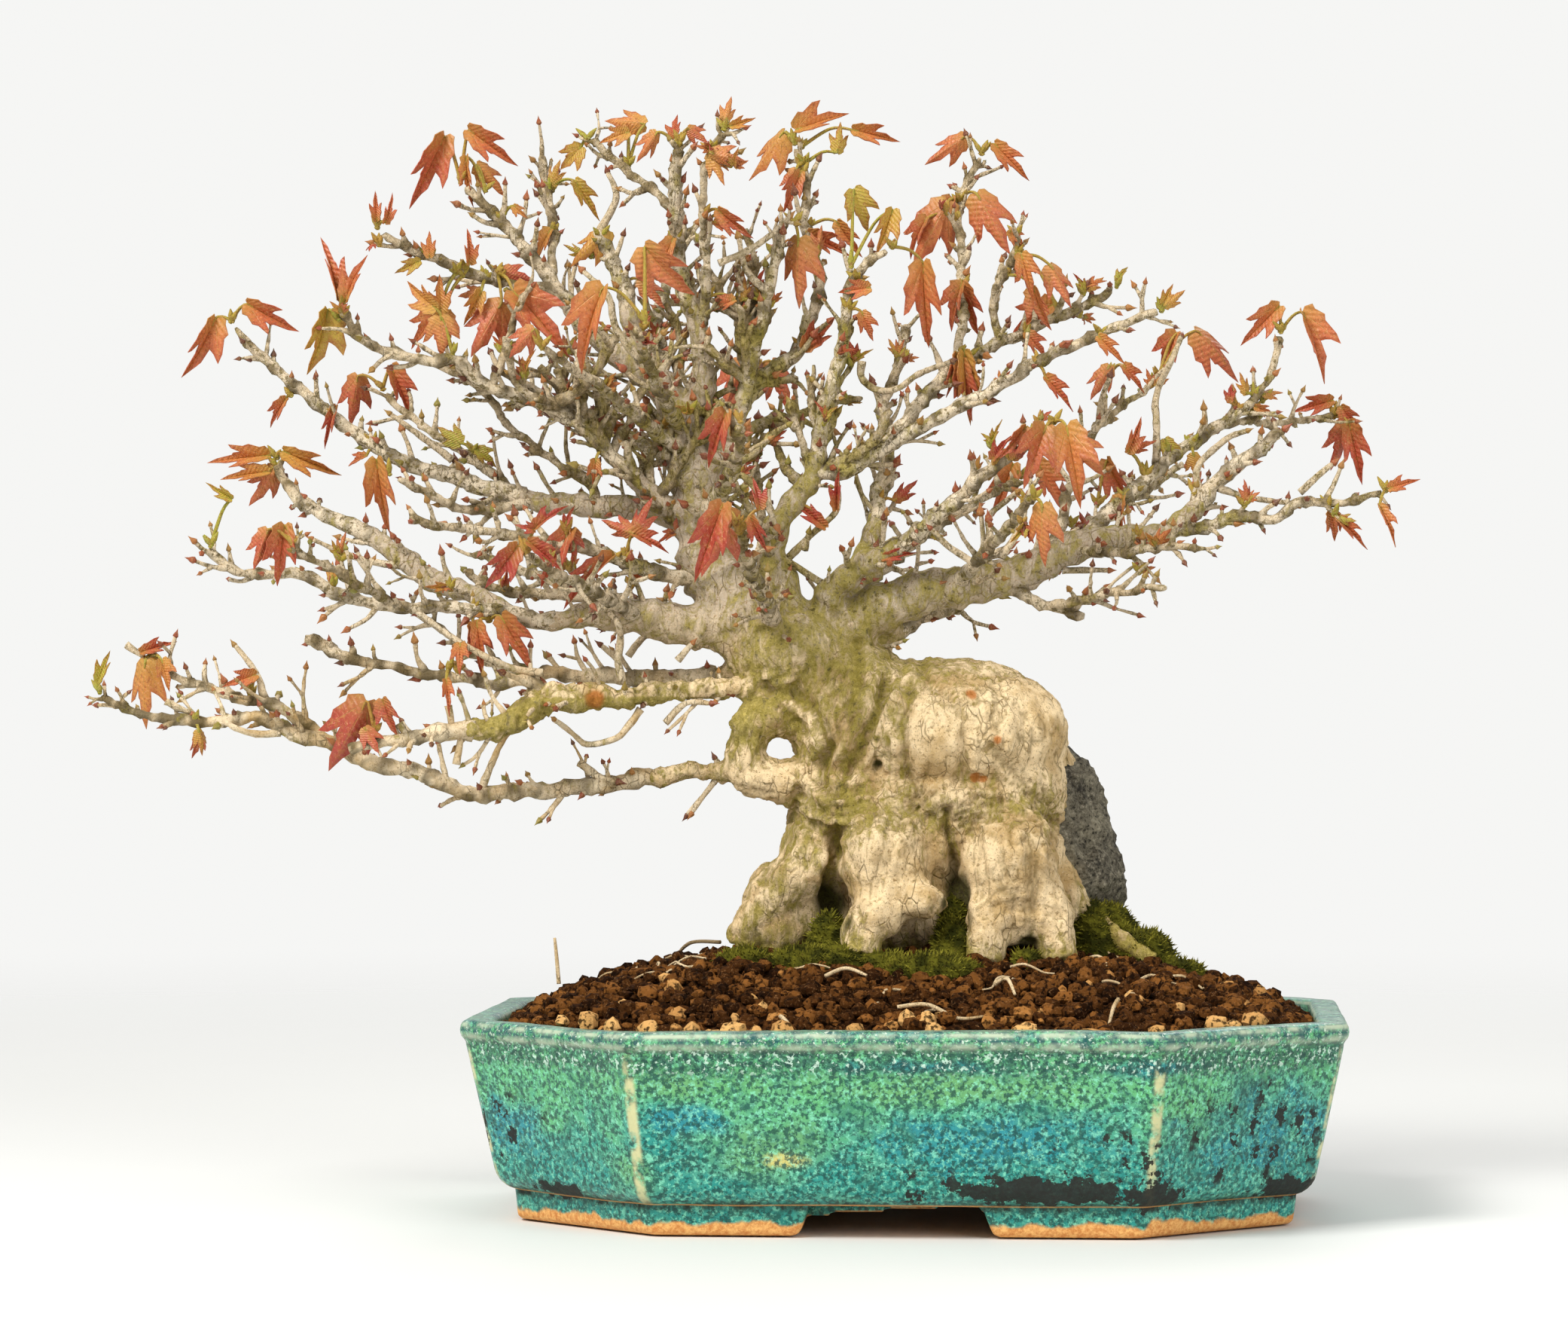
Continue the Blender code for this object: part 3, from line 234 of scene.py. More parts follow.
class Finish(NodeSheet):
    """A material under way: its shader, its colour so far and a point in millimetres round the pot's middle."""

    def __init__(self, name: str, roughness: float, metallic: float = 0.0, gloss: float = 0.5) -> None:
        """Start a material with a Principled BSDF.

        Args:
            name: The material's name.
            roughness: Of its surface.
            metallic: 1 for metal.
            gloss: How much light a smooth patch of it throws back.
        """
        self.material = bpy.data.materials.new(name)
        self.material.use_nodes = True
        super().__init__(self.material.node_tree)
        self.shader = self.tree.nodes["Principled BSDF"]
        self.shader.inputs["Roughness"].default_value = roughness
        self.shader.inputs["Metallic"].default_value = metallic
        self.shader.inputs["Specular IOR Level"].default_value = gloss
        coordinates = self.node("ShaderNodeTexCoord")
        inputs = {"Vector": coordinates.outputs["Object"], "Location": tuple(-POT_MIDDLE / MM),
                  "Scale": (1000,) * 3}
        self.point = self.node("ShaderNodeMapping", inputs, vector_type="POINT").outputs[0]
        self.uv = coordinates.outputs["UV"]
        self.colour: Value = (0.5, 0.5, 0.5)

    def coat(self, share: Value, tone: Value) -> None:
        """Lay a tone over the colour so far."""
        self.colour = self.mix(share, self.colour, tone)

    def show(self, **inputs: Socket) -> bpy.types.Material:
        """Link the colour and other sockets to the shader.

        Args:
            **inputs: Sockets by the shader's input name.

        Returns:
            The finished material.
        """
        for name, socket in {"Base Color": self.colour, **inputs}.items():
            self.tree.links.new(socket, self.shader.inputs[name])
        return self.material


def new_group(name: str, inputs: Sequence[tuple[str, str, float]]) -> tuple[NodeSheet, bpy.types.Node]:
    """Start a shader node group with named inputs.

    Args:
        name: The group's name.
        inputs: Name, socket type and default of each input.

    Returns:
        The sheet to write in and the node that holds the inputs.
    """
    tree = bpy.data.node_groups.new(name, "ShaderNodeTree")
    for label, kind, default in inputs:
        socket = tree.interface.new_socket(name=label, in_out="INPUT", socket_type=kind)
        if kind == "NodeSocketFloat":
            socket.default_value = default
    sheet = NodeSheet(tree)
    return sheet, sheet.node("NodeGroupInput")


def make_patch_group() -> bpy.types.NodeTree:
    """Build a mask of one ragged patch round a centre.

    Returns:
        The group.
    """
    sheet, given = new_group("ragged_patch", (
        ("Point", "NodeSocketVector", 0), ("Centre", "NodeSocketVector", 0), ("Size", "NodeSocketVector", 0),
        ("Ragged", "NodeSocketFloat", 0.5), ("Grain", "NodeSocketFloat", 0.3),
        ("Soft", "NodeSocketFloat", 0.3)))
    sheet.tree.interface.new_socket(name="Mask", in_out="OUTPUT", socket_type="NodeSocketFloat")
    away = sheet.node("ShaderNodeVectorMath", {0: given.outputs["Point"], 1: given.outputs["Centre"]},
                      operation="SUBTRACT").outputs[0]
    scaled = sheet.node("ShaderNodeVectorMath", {0: away, 1: given.outputs["Size"]},
                        operation="DIVIDE").outputs[0]
    reach = sheet.node("ShaderNodeVectorMath", {0: scaled}, operation="LENGTH").outputs["Value"]
    rough = sheet.noise(given.outputs["Point"], given.outputs["Grain"], 4.0, 0.65)
    swing = sheet.times(sheet.calc("SUBTRACT", rough, 0.5), given.outputs["Ragged"])
    edge = sheet.calc("ADD", reach, sheet.times(swing, 2.0))
    inner = sheet.calc("SUBTRACT", 1.0, given.outputs["Soft"])
    inputs = {"Value": edge, "From Min": inner, "From Max": 1.0, "To Min": 1.0, "To Max": 0.0}
    mask = sheet.node("ShaderNodeMapRange", inputs, clamp=True, interpolation_type="SMOOTHSTEP").outputs[0]
    sheet.node("NodeGroupOutput", {0: mask})
    return sheet.tree


def make_speckle_group() -> bpy.types.NodeTree:
    """Build a mask of fine uneven specks in two sizes.

    Returns:
        The group.
    """
    sheet, given = new_group("specks", (
        ("Point", "NodeSocketVector", 0), ("Scale", "NodeSocketFloat", 1.0),
        ("Amount", "NodeSocketFloat", 0.5)))
    sheet.tree.interface.new_socket(name="Mask", in_out="OUTPUT", socket_type="NodeSocketFloat")
    fine = sheet.noise(given.outputs["Point"], given.outputs["Scale"], 3.0, 0.7)
    limit = sheet.calc("SUBTRACT", 0.8, sheet.times(given.outputs["Amount"], 0.5))
    above = sheet.calc("SUBTRACT", fine, limit)
    mask = sheet.node("ShaderNodeMath", {0: above, 1: 9.0}, operation="MULTIPLY", use_clamp=True).outputs[0]
    sheet.node("NodeGroupOutput", {0: mask})
    return sheet.tree


PATCH = make_patch_group()
SPECKS = make_speckle_group()


# ---------------------------------------------------------------- finishes


@dataclass(frozen=True)
class GlazeFinish:
    """Mottled turquoise and green glaze that thins to cream on the corners and stops above bare feet."""

    height: float = 48.0
    green: Place = (0.115, 0.43, 0.17)
    teal: Place = (0.018, 0.26, 0.225)
    blue: Place = (0.010, 0.225, 0.30)
    cream: Place = (0.58, 0.56, 0.30)
    # Colour of the char marks, also used for the painted shade along the heel.
    char_and_shade_tone: Place = (0.014, 0.012, 0.010)
    clay: Place = (0.55, 0.20, 0.045)
    blues: tuple[tuple[Place, Place], ...] = (
        ((22, -82, 24), (46, 30, 10)),
        ((88, -62, 24), (28, 34, 16)),
        ((-92, -50, 24), (15, 24, 9)),
        ((-48, -82, 27), (15, 30, 5)),
        ((60, 80, 22), (60, 20, 12)),
        ((-70, 78, 20), (30, 20, 9)),
        ((8, -82, 40), (22, 30, 2.5)),
        ((60, -84, 40), (14, 30, 3)),
    )
    greens: tuple[tuple[Place, Place], ...] = (
        ((-28, -82, 20), (18, 20, 10)),
        ((-60, -80, 15), (12, 20, 7)),
        ((10, -82, 35), (50, 20, 5)),
        ((-50, -82, 36), (30, 20, 5)),
    )
    chars: tuple[tuple[Place, Place], ...] = (
        ((35, -82, 11.3), (22, 14, 3.4)),
        ((60, -78, 9.5), (7, 14, 3)),
        ((92, -45, 9.0), (10, 22, 3)),
        ((-80, -60, 8.5), (9, 16, 2)),
        ((30, 80, 10), (30, 14, 4)),
        ((92, 20, 9), (14, 24, 3)),
    )
    drops: tuple[tuple[Place, Place], ...] = (
        ((86, -62, 21), (26, 30, 14)),
        ((-94, -50, 22), (16, 26, 11)),
        ((52, -82, 18), (15, 20, 9)),
        ((10, -82, 12), (20, 20, 6)),
        ((40, 80, 18), (50, 20, 11)),
    )

    def build(self) -> bpy.types.Material:
        """Build the material.

        Returns:
            The glaze.
        """
        f = Finish("pot_glaze", 0.3, gloss=0.32)
        axes = f.node("ShaderNodeSeparateXYZ", {0: f.point})
        level = axes.outputs["Z"]
        drift = f.noise(f.point, 0.055, 4, 0.6, 0.6)
        cloud = f.noise(f.point, 0.16, 5, 0.65)
        waved = f.calc("ADD", level, f.times(f.calc("SUBTRACT", drift, 0.5), 46.0))
        f.colour = f.mix(f.span(waved, 17, 33), self.teal, self.green)
        f.coat(f.span(cloud, 0.42, 0.7, 0, 0.5), (0.13, 0.43, 0.27))
        for centre, size in self.blues:
            f.coat(f.times(self._patch(f, centre, size, 1.1, 0.09, 0.8), 0.85), self.blue)
        for centre, size in self.greens:
            f.coat(f.times(self._patch(f, centre, size, 0.9, 0.1, 0.8), 0.75), (0.14, 0.36, 0.13))
        f.coat(self._patch(f, (-25, -86, 18), (8, 16, 2.6), 0.5, 0.25, 0.7), (0.60, 0.54, 0.17))
        light = f.shared(SPECKS, {"Point": f.point, "Scale": 0.92, "Amount": 0.60})
        f.coat(f.times(light, 0.6), (0.27, 0.78, 0.54))
        shifted = f.node("ShaderNodeVectorMath", {0: f.point, 1: (31, 7, 5)}).outputs[0]
        shade = f.shared(SPECKS, {"Point": shifted, "Scale": 0.78, "Amount": 0.67})
        f.coat(f.times(shade, 0.84), (0.002, 0.045, 0.040))
        smoke = f.span(f.noise(f.point, 0.12, 6, 0.75, 0.5), 0.50, 0.64, 0, 0.55)
        f.coat(smoke, (0.012, 0.11, 0.085))

        band = f.times(f.span(level, 36.5, 40), f.span(level, 45.5, 44))
        spatter = f.span(f.noise(f.point, 0.65, 5, 0.75), 0.40, 0.54)
        f.coat(f.times(f.times(band, spatter), 0.75), (0.006, 0.040, 0.036))
        flecks = f.span(f.noise(f.point, 0.85, 3, 0.6), 0.56, 0.64)
        f.coat(f.times(f.times(band, flecks), 0.8), (0.55, 0.74, 0.62))
        lip = f.times(f.span(level, 45.8, 47.4), f.span(f.noise(f.point, 0.35, 5, 0.7), 0.4, 0.6, 0.05, 0.8))
        f.coat(lip, (0.10, 0.30, 0.29))
        rim = f.span(level, 44.0, 45.2)
        sooty = f.span(f.noise(f.point, 0.42, 6, 0.8, 0.4), 0.46, 0.54, 0, 0.9)
        f.coat(f.times(rim, sooty), (0.012, 0.075, 0.085))
        salt = f.span(f.noise(f.point, 0.9, 5, 0.75), 0.57, 0.63, 0, 0.9)
        f.coat(f.times(rim, salt), (0.62, 0.74, 0.62))

        run = f.span(f.noise(f.point, 0.22, 3, 0.6), 0.36, 0.6)
        worn = f.times(f.span(f.attribute("corner"), 0.25, 0.95), f.times(run, f.span(level, 44, 38)))
        f.coat(f.times(worn, 0.95), self.cream)
        f.coat(f.times(f.attribute("lip"), f.span(cloud, 0.35, 0.6)), (0.42, 0.5, 0.36))

        # Real char marks and glaze drops, plus painted shade along the heel, all laid on in the char colour.
        char_and_heel_shade: Value = 0.0
        for centre, size in self.chars:
            char_and_heel_shade = f.calc("MAXIMUM", char_and_heel_shade, self._patch(f, centre, size, 1.5, 0.26, 0.12))
        place = f.node("ShaderNodeVectorMath", {0: f.point, 1: (0.8, 0.8, 0.5)},
                       operation="MULTIPLY").outputs[0]
        beads = f.calc("ADD", f.cells(place, 0.25), f.noise(f.point, 0.8, 2))
        beads = f.span(beads, 0.83, 0.76)
        for centre, size in self.drops:
            area = self._patch(f, centre, size, 1.2, 0.1, 0.4)
            char_and_heel_shade = f.calc("MAXIMUM", char_and_heel_shade, f.times(beads, area))
        # Painted shade: a dark line where the wall's heel meets the feet.
        heel_shade = f.times(f.span(level, 5.2, 6.6), f.span(level, 9.0, 7.4))
        char_and_heel_shade = f.calc("MAXIMUM", char_and_heel_shade, f.times(heel_shade, f.span(cloud, 0.4, 0.6, 0.2, 0.9)))
        f.coat(f.times(char_and_heel_shade, 0.96), self.char_and_shade_tone)
        foot = f.span(f.calc("ADD", level, f.times(f.noise(f.point, 0.13, 5), -6.5)), 0.6, -0.5)
        earthen = f.mix(f.span(f.noise(f.point, 0.9, 5, 0.75), 0.35, 0.65), self.clay, (0.80, 0.45, 0.15))
        bare = f.calc("MAXIMUM", foot, f.attribute("bare"))
        f.coat(bare, earthen)
        dull = f.calc("MAXIMUM", bare, char_and_heel_shade)
        rough = f.calc("ADD", f.span(cloud, 0.3, 0.75, 0.22, 0.42), f.times(dull, 0.4))
        height = f.calc("ADD", f.times(cloud, 0.5), f.times(f.noise(f.point, 1.1, 4, 0.7), 0.22))
        height = f.calc("SUBTRACT", height, f.times(char_and_heel_shade, 0.35))
        return f.show(Roughness=rough, Normal=f.bump(height, 0.0009, 0.55))

    @staticmethod
    def _patch(f: Finish, centre: Place, size: Place, ragged: float, grain: float, soft: float) -> Socket:
        """Mask one ragged patch of the glaze.

        Args:
            f: The material under way.
            centre: The patch's middle.
            size: Its half-sizes.
            ragged: How far its edge strays.
            grain: How fine the straying is.
            soft: How wide its edge fades.

        Returns:
            The mask.
        """
        return f.shared(PATCH, {"Point": f.point, "Centre": centre, "Size": size, "Ragged": ragged,
                                "Grain": grain, "Soft": soft})


@dataclass(frozen=True)
class BarkFinish:
    """Pale bark with wrinkles, moss in its creases and dark lichen on its twigs."""

    name: str
    pale: Place = (0.93, 0.72, 0.43)
    tan: Place = (0.56, 0.38, 0.17)
    grey: Place = (0.50, 0.42, 0.33)
    green: Place = (0.36, 0.29, 0.035)
    dark: Place = (0.045, 0.03, 0.012)
    # Colour of the limbs' dark knots, also used for the painted shade in the trunk's creases.
    knot_and_crease_shade: Place = (0.15, 0.095, 0.018)
    lichen: float = 0.3
    grain: float = 1.0

    def build(self) -> bpy.types.Material:
        """Build the material from the mesh's values for age, moss, creases, hollows, rust and twigs.

        Returns:
            The bark.
        """
        f = Finish(self.name, 0.85, gloss=0.12)
        stretched = f.node("ShaderNodeMapping", {"Vector": f.point, "Scale": (1.0, 1.0, 0.42)}).outputs[0]
        broad = f.noise(f.point, 0.09, 5, 0.6, 0.4)
        middle = f.noise(stretched, 0.42, 6, 0.68, 0.5)
        fine = f.noise(f.point, 1.7 * self.grain, 5, 0.72)
        f.colour = f.mix(f.span(broad, 0.40, 0.66), self.pale, self.tan)
        f.coat(f.span(middle, 0.5, 0.72, 0, 0.62), self.tan)
        f.coat(f.times(f.attribute("age"), f.span(fine, 0.25, 0.6, 0.55, 1.0)), self.grey)
        f.coat(f.span(fine, 0.54, 0.72, 0, 0.6), (0.95, 0.82, 0.62))
        pores = f.noise(f.point, 1.15 * self.grain, 5, 0.8)
        f.coat(f.span(pores, 0.47, 0.36, 0, 0.75), (0.25, 0.14, 0.04))
        grit = f.noise(f.point, 0.85 * self.grain, 6, 0.82)
        f.coat(f.span(grit, 0.57, 0.65, 0, 0.7), (0.16, 0.09, 0.02))
        cracks = f.cells(stretched, 0.34 * self.grain, "DISTANCE_TO_EDGE")
        line = f.times(f.span(cracks, 0.055, 0.0), f.span(f.noise(f.point, 0.12, 3), 0.46, 0.58))
        # Painted shade and real colour: the trunk's creases are darkened as shade, the crack lines are the
        # bark's own dark fissures, and on the limbs the crease value marks their dark knots.
        crease = f.attribute("crease")
        seam = f.calc("MAXIMUM", f.times(line, 0.7), f.span(crease, 0.25, 0.95))
        f.coat(f.times(seam, 0.85), self.knot_and_crease_shade)
        cover = f.calc("ADD", f.attribute("moss"), f.times(f.calc("SUBTRACT", middle, 0.5), 2.3))
        moss = f.span(cover, 0.38, 0.95)
        tuft = f.span(f.noise(f.point, 1.1, 5, 0.78), 0.34, 0.62)
        growth = f.mix(tuft, self.green, (0.66, 0.53, 0.13))
        clump = f.span(f.noise(f.point, 0.55, 4, 0.7), 0.55, 0.66, 0, 0.85)
        growth = f.mix(clump, growth, (0.075, 0.07, 0.012))
        f.coat(f.times(moss, 0.84), growth)
        # Painted shade: the hollows are darkened nearly to black, with a faint moss tint.
        deep = f.span(f.attribute("hollow"), 0.35, 0.9)
        f.coat(f.times(deep, 0.95), f.mix(tuft, (0.018, 0.012, 0.005), (0.07, 0.07, 0.012)))
        rare = self.lichen * 0.35
        spots = f.span(f.noise(f.point, 0.5 * self.grain, 5, 0.7), 0.70 - rare, 0.76 - rare)
        f.coat(f.times(f.times(spots, f.attribute("age")), 0.85), f.mix(tuft, self.dark, (0.22, 0.16, 0.045)))
        bands = f.span(f.noise(f.point, 0.7, 4, 0.7), 0.36, 0.62, 1.0, 0.25)
        woody = f.mix(tuft, (0.13, 0.075, 0.022), (0.68, 0.50, 0.26))
        f.coat(f.times(f.times(f.attribute("twig"), bands), 0.55), woody)
        rusty = f.span(f.attribute("rust"), 0.3, 0.9)
        f.coat(f.times(rusty, 0.85), (0.52, 0.17, 0.03))
        height = f.calc("ADD", f.times(middle, 0.9), f.times(fine, 0.45))
        height = f.calc("SUBTRACT", height, f.times(line, 0.4))
        height = f.calc("ADD", height, f.times(f.times(moss, tuft), 0.8))
        return f.show(Normal=f.bump(height, 0.0014, 0.75))


@dataclass(frozen=True)
class LeafFinish:
    """Young maple leaves: brick red to orange, with olive veins and edges by each leaf's own tint."""

    def build(self) -> bpy.types.Material:
        """Build the material from the leaf's tint, vein and edge values and its UV map.

        Returns:
            The leaf.
        """
        f = Finish("young_leaf", 0.42, gloss=0.38)
        f.shader.inputs["Subsurface Weight"].default_value = 0.12
        f.shader.inputs["Subsurface Radius"].default_value = (0.002, 0.0008, 0.0004)
        f.shader.inputs["Subsurface Scale"].default_value = 1.0
        tint = f.attribute("tint")
        f.colour = f.ramp(tint, ((0.0, (0.30, 0.028, 0.025)), (0.25, (0.43, 0.085, 0.042)),
                          (0.55, (0.50, 0.15, 0.05)), (0.78, (0.50, 0.24, 0.045)), (1.0, (0.36, 0.34, 0.04))))
        mottled = f.noise(f.point, 0.55, 5, 0.7)
        f.coat(f.span(mottled, 0.46, 0.70, 0, 0.6), (0.40, 0.20, 0.04))
        f.coat(f.span(f.noise(f.point, 2.1, 4, 0.75), 0.55, 0.68, 0, 0.6), (0.80, 0.42, 0.26))
        f.coat(f.span(f.noise(f.point, 1.5, 4, 0.75), 0.47, 0.36, 0, 0.7), (0.20, 0.035, 0.012))
        rim = f.span(f.attribute("edge"), 0.7, 1.0)
        f.coat(f.times(rim, 0.45), (0.26, 0.035, 0.02))
        place = f.node("ShaderNodeSeparateXYZ", {0: f.uv})
        vein = f.span(f.attribute("vein"), 0.55, 1.0)
        f.coat(f.times(vein, 0.55), (0.50, 0.34, 0.09))
        base = f.span(place.outputs["Y"], 0.42, 0.0)
        f.coat(f.times(base, 0.4), (0.42, 0.33, 0.06))
        rib = f.node("ShaderNodeTexWave", {"Vector": f.uv, "Scale": 9.0, "Distortion": 2.0, "Detail": 2.0},
                     wave_type="BANDS", bands_direction="DIAGONAL").outputs["Fac"]
        height = f.calc("ADD", f.times(rib, 0.35), f.times(mottled, 0.7))
        height = f.calc("SUBTRACT", height, f.times(vein, 0.6))
        rough = f.span(mottled, 0.3, 0.8, 0.36, 0.6)
        return f.show(Roughness=rough, Normal=f.bump(height, 0.0005, 0.6))


@dataclass(frozen=True)
class GrainFinish:
    """Fired clay grains whose colour follows each grain's own tone."""

    def build(self) -> bpy.types.Material:
        """Build the material from the grains' tone.

        Returns:
            The grains' clay.
        """
        f = Finish("fired_grains", 0.93, gloss=0.06)
        f.colour = f.ramp(f.attribute("tone"), ((0.0, (0.020, 0.006, 0.001)), (0.35, (0.10, 0.036, 0.008)),
                          (0.75, (0.32, 0.125, 0.028)), (0.86, (0.56, 0.25, 0.065)),
                          (1.0, (0.95, 0.55, 0.20))))
        dust = f.noise(f.point, 1.5, 5, 0.75)
        f.coat(f.span(dust, 0.53, 0.70, 0, 0.55), (0.50, 0.26, 0.11))
        f.coat(f.span(f.noise(f.point, 0.8, 4), 0.52, 0.38, 0, 0.9), (0.008, 0.003, 0.001))
        return f.show(Normal=f.bump(dust, 0.0009, 0.9))


@dataclass(frozen=True)
class StoneFinish:
    """Dark rough rock with paler mineral and a dusting of moss low down."""

    def build(self) -> bpy.types.Material:
        """Build the material.

        Returns:
            The stone.
        """
        f = Finish("dark_stone", 0.88, gloss=0.12)
        broad = f.noise(f.point, 0.11, 6, 0.7, 0.3)
        fine = f.noise(f.point, 0.8, 6, 0.8)
        f.colour = f.ramp(broad, ((0.32, (0.07, 0.062, 0.048)), (0.5, (0.22, 0.195, 0.14)),
                          (0.68, (0.38, 0.34, 0.24))))
        f.coat(f.span(fine, 0.50, 0.68, 0, 0.8), (0.62, 0.56, 0.42))
        f.coat(f.span(fine, 0.49, 0.38, 0, 0.9), (0.016, 0.015, 0.015))
        pits = f.span(f.cells(f.point, 0.33), 0.30, 0.08)
        low = f.span(f.node("ShaderNodeSeparateXYZ", {0: f.point}).outputs["Z"], 84, 64)
        growth = f.times(low, f.span(f.noise(f.point, 0.3, 4), 0.4, 0.6))
        f.coat(f.times(growth, 0.8), (0.06, 0.065, 0.012))
        height = f.calc("SUBTRACT", f.calc("ADD", fine, broad), f.times(pits, 0.5))
        return f.show(Normal=f.bump(height, 0.0016, 0.9))


@dataclass(frozen=True)
class MossFinish:
    """Soft moss from dark earth green to yellow green tips."""

    def build(self) -> bpy.types.Material:
        """Build the material from the tufts' tip value.

        Returns:
            The moss.
        """
        f = Finish("moss_tufts", 0.95, gloss=0.06)
        patchy = f.noise(f.point, 0.25, 5, 0.7)
        f.colour = f.mix(f.span(patchy, 0.4, 0.65), (0.020, 0.022, 0.003), (0.075, 0.072, 0.006))
        f.coat(f.times(f.attribute("tip"), f.span(patchy, 0.4, 0.62, 0.1, 0.85)), (0.42, 0.38, 0.05))
        f.coat(f.span(f.noise(f.point, 0.9, 4), 0.62, 0.75, 0, 0.8), (0.05, 0.028, 0.01))
        return f.show(Normal=f.bump(f.noise(f.point, 2.2, 4), 0.0006, 0.6))


@dataclass(frozen=True)
class TrimFinish:
    """Plain plastic or wire of the hidden drainage pieces, with scuffs."""

    name: str
    colour: Place
    worn: Place
    roughness: float
    metallic: float = 0.0

    def build(self) -> bpy.types.Material:
        """Build the material.

        Returns:
            The trim.
        """
        f = Finish(self.name, self.roughness, self.metallic)
        scuffs = f.noise(f.point, 0.8, 5, 0.7)
        f.colour = f.mix(f.span(scuffs, 0.5, 0.7), self.colour, self.worn)
        return f.show(Normal=f.bump(scuffs, 0.0003, 0.4))


@dataclass(frozen=True)
class BudFinish:
    """Red-brown bud scales, some of them olive."""

    def build(self) -> bpy.types.Material:
        """Build the material from each bud's tint.

        Returns:
            The buds' finish.
        """
        f = Finish("bud_scales", 0.5)
        f.colour = f.ramp(f.attribute("tint"), ((0.0, (0.10, 0.035, 0.015)), (0.45, (0.28, 0.06, 0.02)),
                          (0.7, (0.34, 0.13, 0.03)), (1.0, (0.22, 0.20, 0.03))))
        scales = f.noise(f.point, 1.8, 3, 0.6)
        f.coat(f.span(scales, 0.5, 0.7, 0, 0.6), (0.40, 0.24, 0.09))
        return f.show(Normal=f.bump(scales, 0.0004, 0.5))


# ---------------------------------------------------------------- mesh tools


def choose(*objects: bpy.types.Object) -> None:
    """Deselect everything, then select these objects and make the first one active."""
    bpy.ops.object.select_all(action="DESELECT")
    for obj in objects:
        obj.select_set(True)
    bpy.context.view_layer.objects.active = objects[0]


def mesh_object(name: str, points: Iterable[Sequence[float]],
                faces: Iterable[Sequence[int]]) -> bpy.types.Object:
    """Make a mesh object from points and faces.

    Args:
        name: The object's name.
        points: Its vertices.
        faces: Vertex numbers of each face.

    Returns:
        The new object, linked to the scene.
    """
    mesh = bpy.data.meshes.new(name)
    mesh.from_pydata([tuple(point) for point in points], [], [tuple(face) for face in faces])
    obj = bpy.data.objects.new(name, mesh)
    bpy.context.scene.collection.objects.link(obj)
    return obj


def body_object(name: str, bm: bmesh.types.BMesh) -> bpy.types.Object:
    """Turn a bmesh into a linked object and free it.

    Args:
        name: The object's name.
        bm: The bmesh.

    Returns:
        The object.
    """
    obj = mesh_object(name, (), ())
    bm.to_mesh(obj.data)
    bm.free()
    return obj


def balls(masses: Iterable[tuple[Place, Place]], subdivisions: int) -> bmesh.types.BMesh:
    """Make one ball for each mass, stretched to its half-sizes.

    Args:
        masses: Centre and half-sizes of each.
        subdivisions: How fine the balls are.

    Returns:
        The bmesh that holds them.
    """
    bm = bmesh.new()
    for centre, size in masses:
        place = Matrix.Translation(centre) @ Matrix.Diagonal((*size, 1))
        bmesh.ops.create_icosphere(bm, subdivisions=subdivisions, radius=1, matrix=place)
    return bm


def ring_faces(count: int, rings: int) -> list[tuple[int, ...]]:
    """List the faces that bridge rings in order and close both ends.

    Args:
        count: Points in each ring.
        rings: How many rings there are.

    Returns:
        Point numbers of each face.
    """
    faces = []
    for ring in range(rings - 1):
        low, high = ring * count, (ring + 1) * count
        faces += [(low + i, low + (i + 1) % count, high + (i + 1) % count, high + i) for i in range(count)]
    return faces + [tuple(reversed(range(count))), tuple(range((rings - 1) * count, rings * count))]


def modify(obj: bpy.types.Object, kind: str, **settings: object) -> None:
    """Add a modifier and apply it.

    Args:
        obj: The object.
        kind: The modifier's type.
        **settings: Its settings.
    """
    modifier = obj.modifiers.new(kind.title(), kind)
    for key, value in settings.items():
        setattr(modifier, key, value)
    choose(obj)
    bpy.ops.object.modifier_apply(modifier=modifier.name)


def cut(obj: bpy.types.Object, other: bpy.types.Object) -> None:
    """Cut an object by another, and remove the other."""
    modify(obj, "BOOLEAN", operation="DIFFERENCE", object=other, solver="EXACT")
    bpy.data.objects.remove(other)


def skin(obj: bpy.types.Object, voxel: float, iterations: int, factor: float = 0.5) -> None:
    """Fuse a mesh's bodies into one skin and smooth it.

    Args:
        obj: The object.
        voxel: How fine the skin is.
        iterations: How often it is smoothed.
        factor: How strongly it is smoothed each time.
    """
    modify(obj, "REMESH", mode="VOXEL", voxel_size=voxel)
    modify(obj, "SMOOTH", iterations=iterations, factor=factor)


def clean(obj: bpy.types.Object, merge: float, outwards: bool = True) -> None:
    """Merge a mesh's doubles and turn its faces outwards.

    Args:
        obj: The object.
        merge: Distance under which points merge, or 0 to keep them all.
        outwards: Whether the faces are turned.
    """
    choose(obj)
    bpy.ops.object.mode_set(mode="EDIT")
    bpy.ops.mesh.select_all(action="SELECT")
    if merge:
        bpy.ops.mesh.remove_doubles(threshold=merge)
    if outwards:
        bpy.ops.mesh.normals_make_consistent(inside=False)
    bpy.ops.object.mode_set(mode="OBJECT")


def joined(name: str, objects: Sequence[bpy.types.Object]) -> bpy.types.Object:
    """Join objects into one.

    Args:
        name: The joined object's name.
        objects: What it is made of.

    Returns:
        The joined object.
    """
    choose(*objects)
    if len(objects) > 1:
        bpy.ops.object.join()
    made = bpy.context.view_layer.objects.active
    made.name = made.data.name = name
    return made


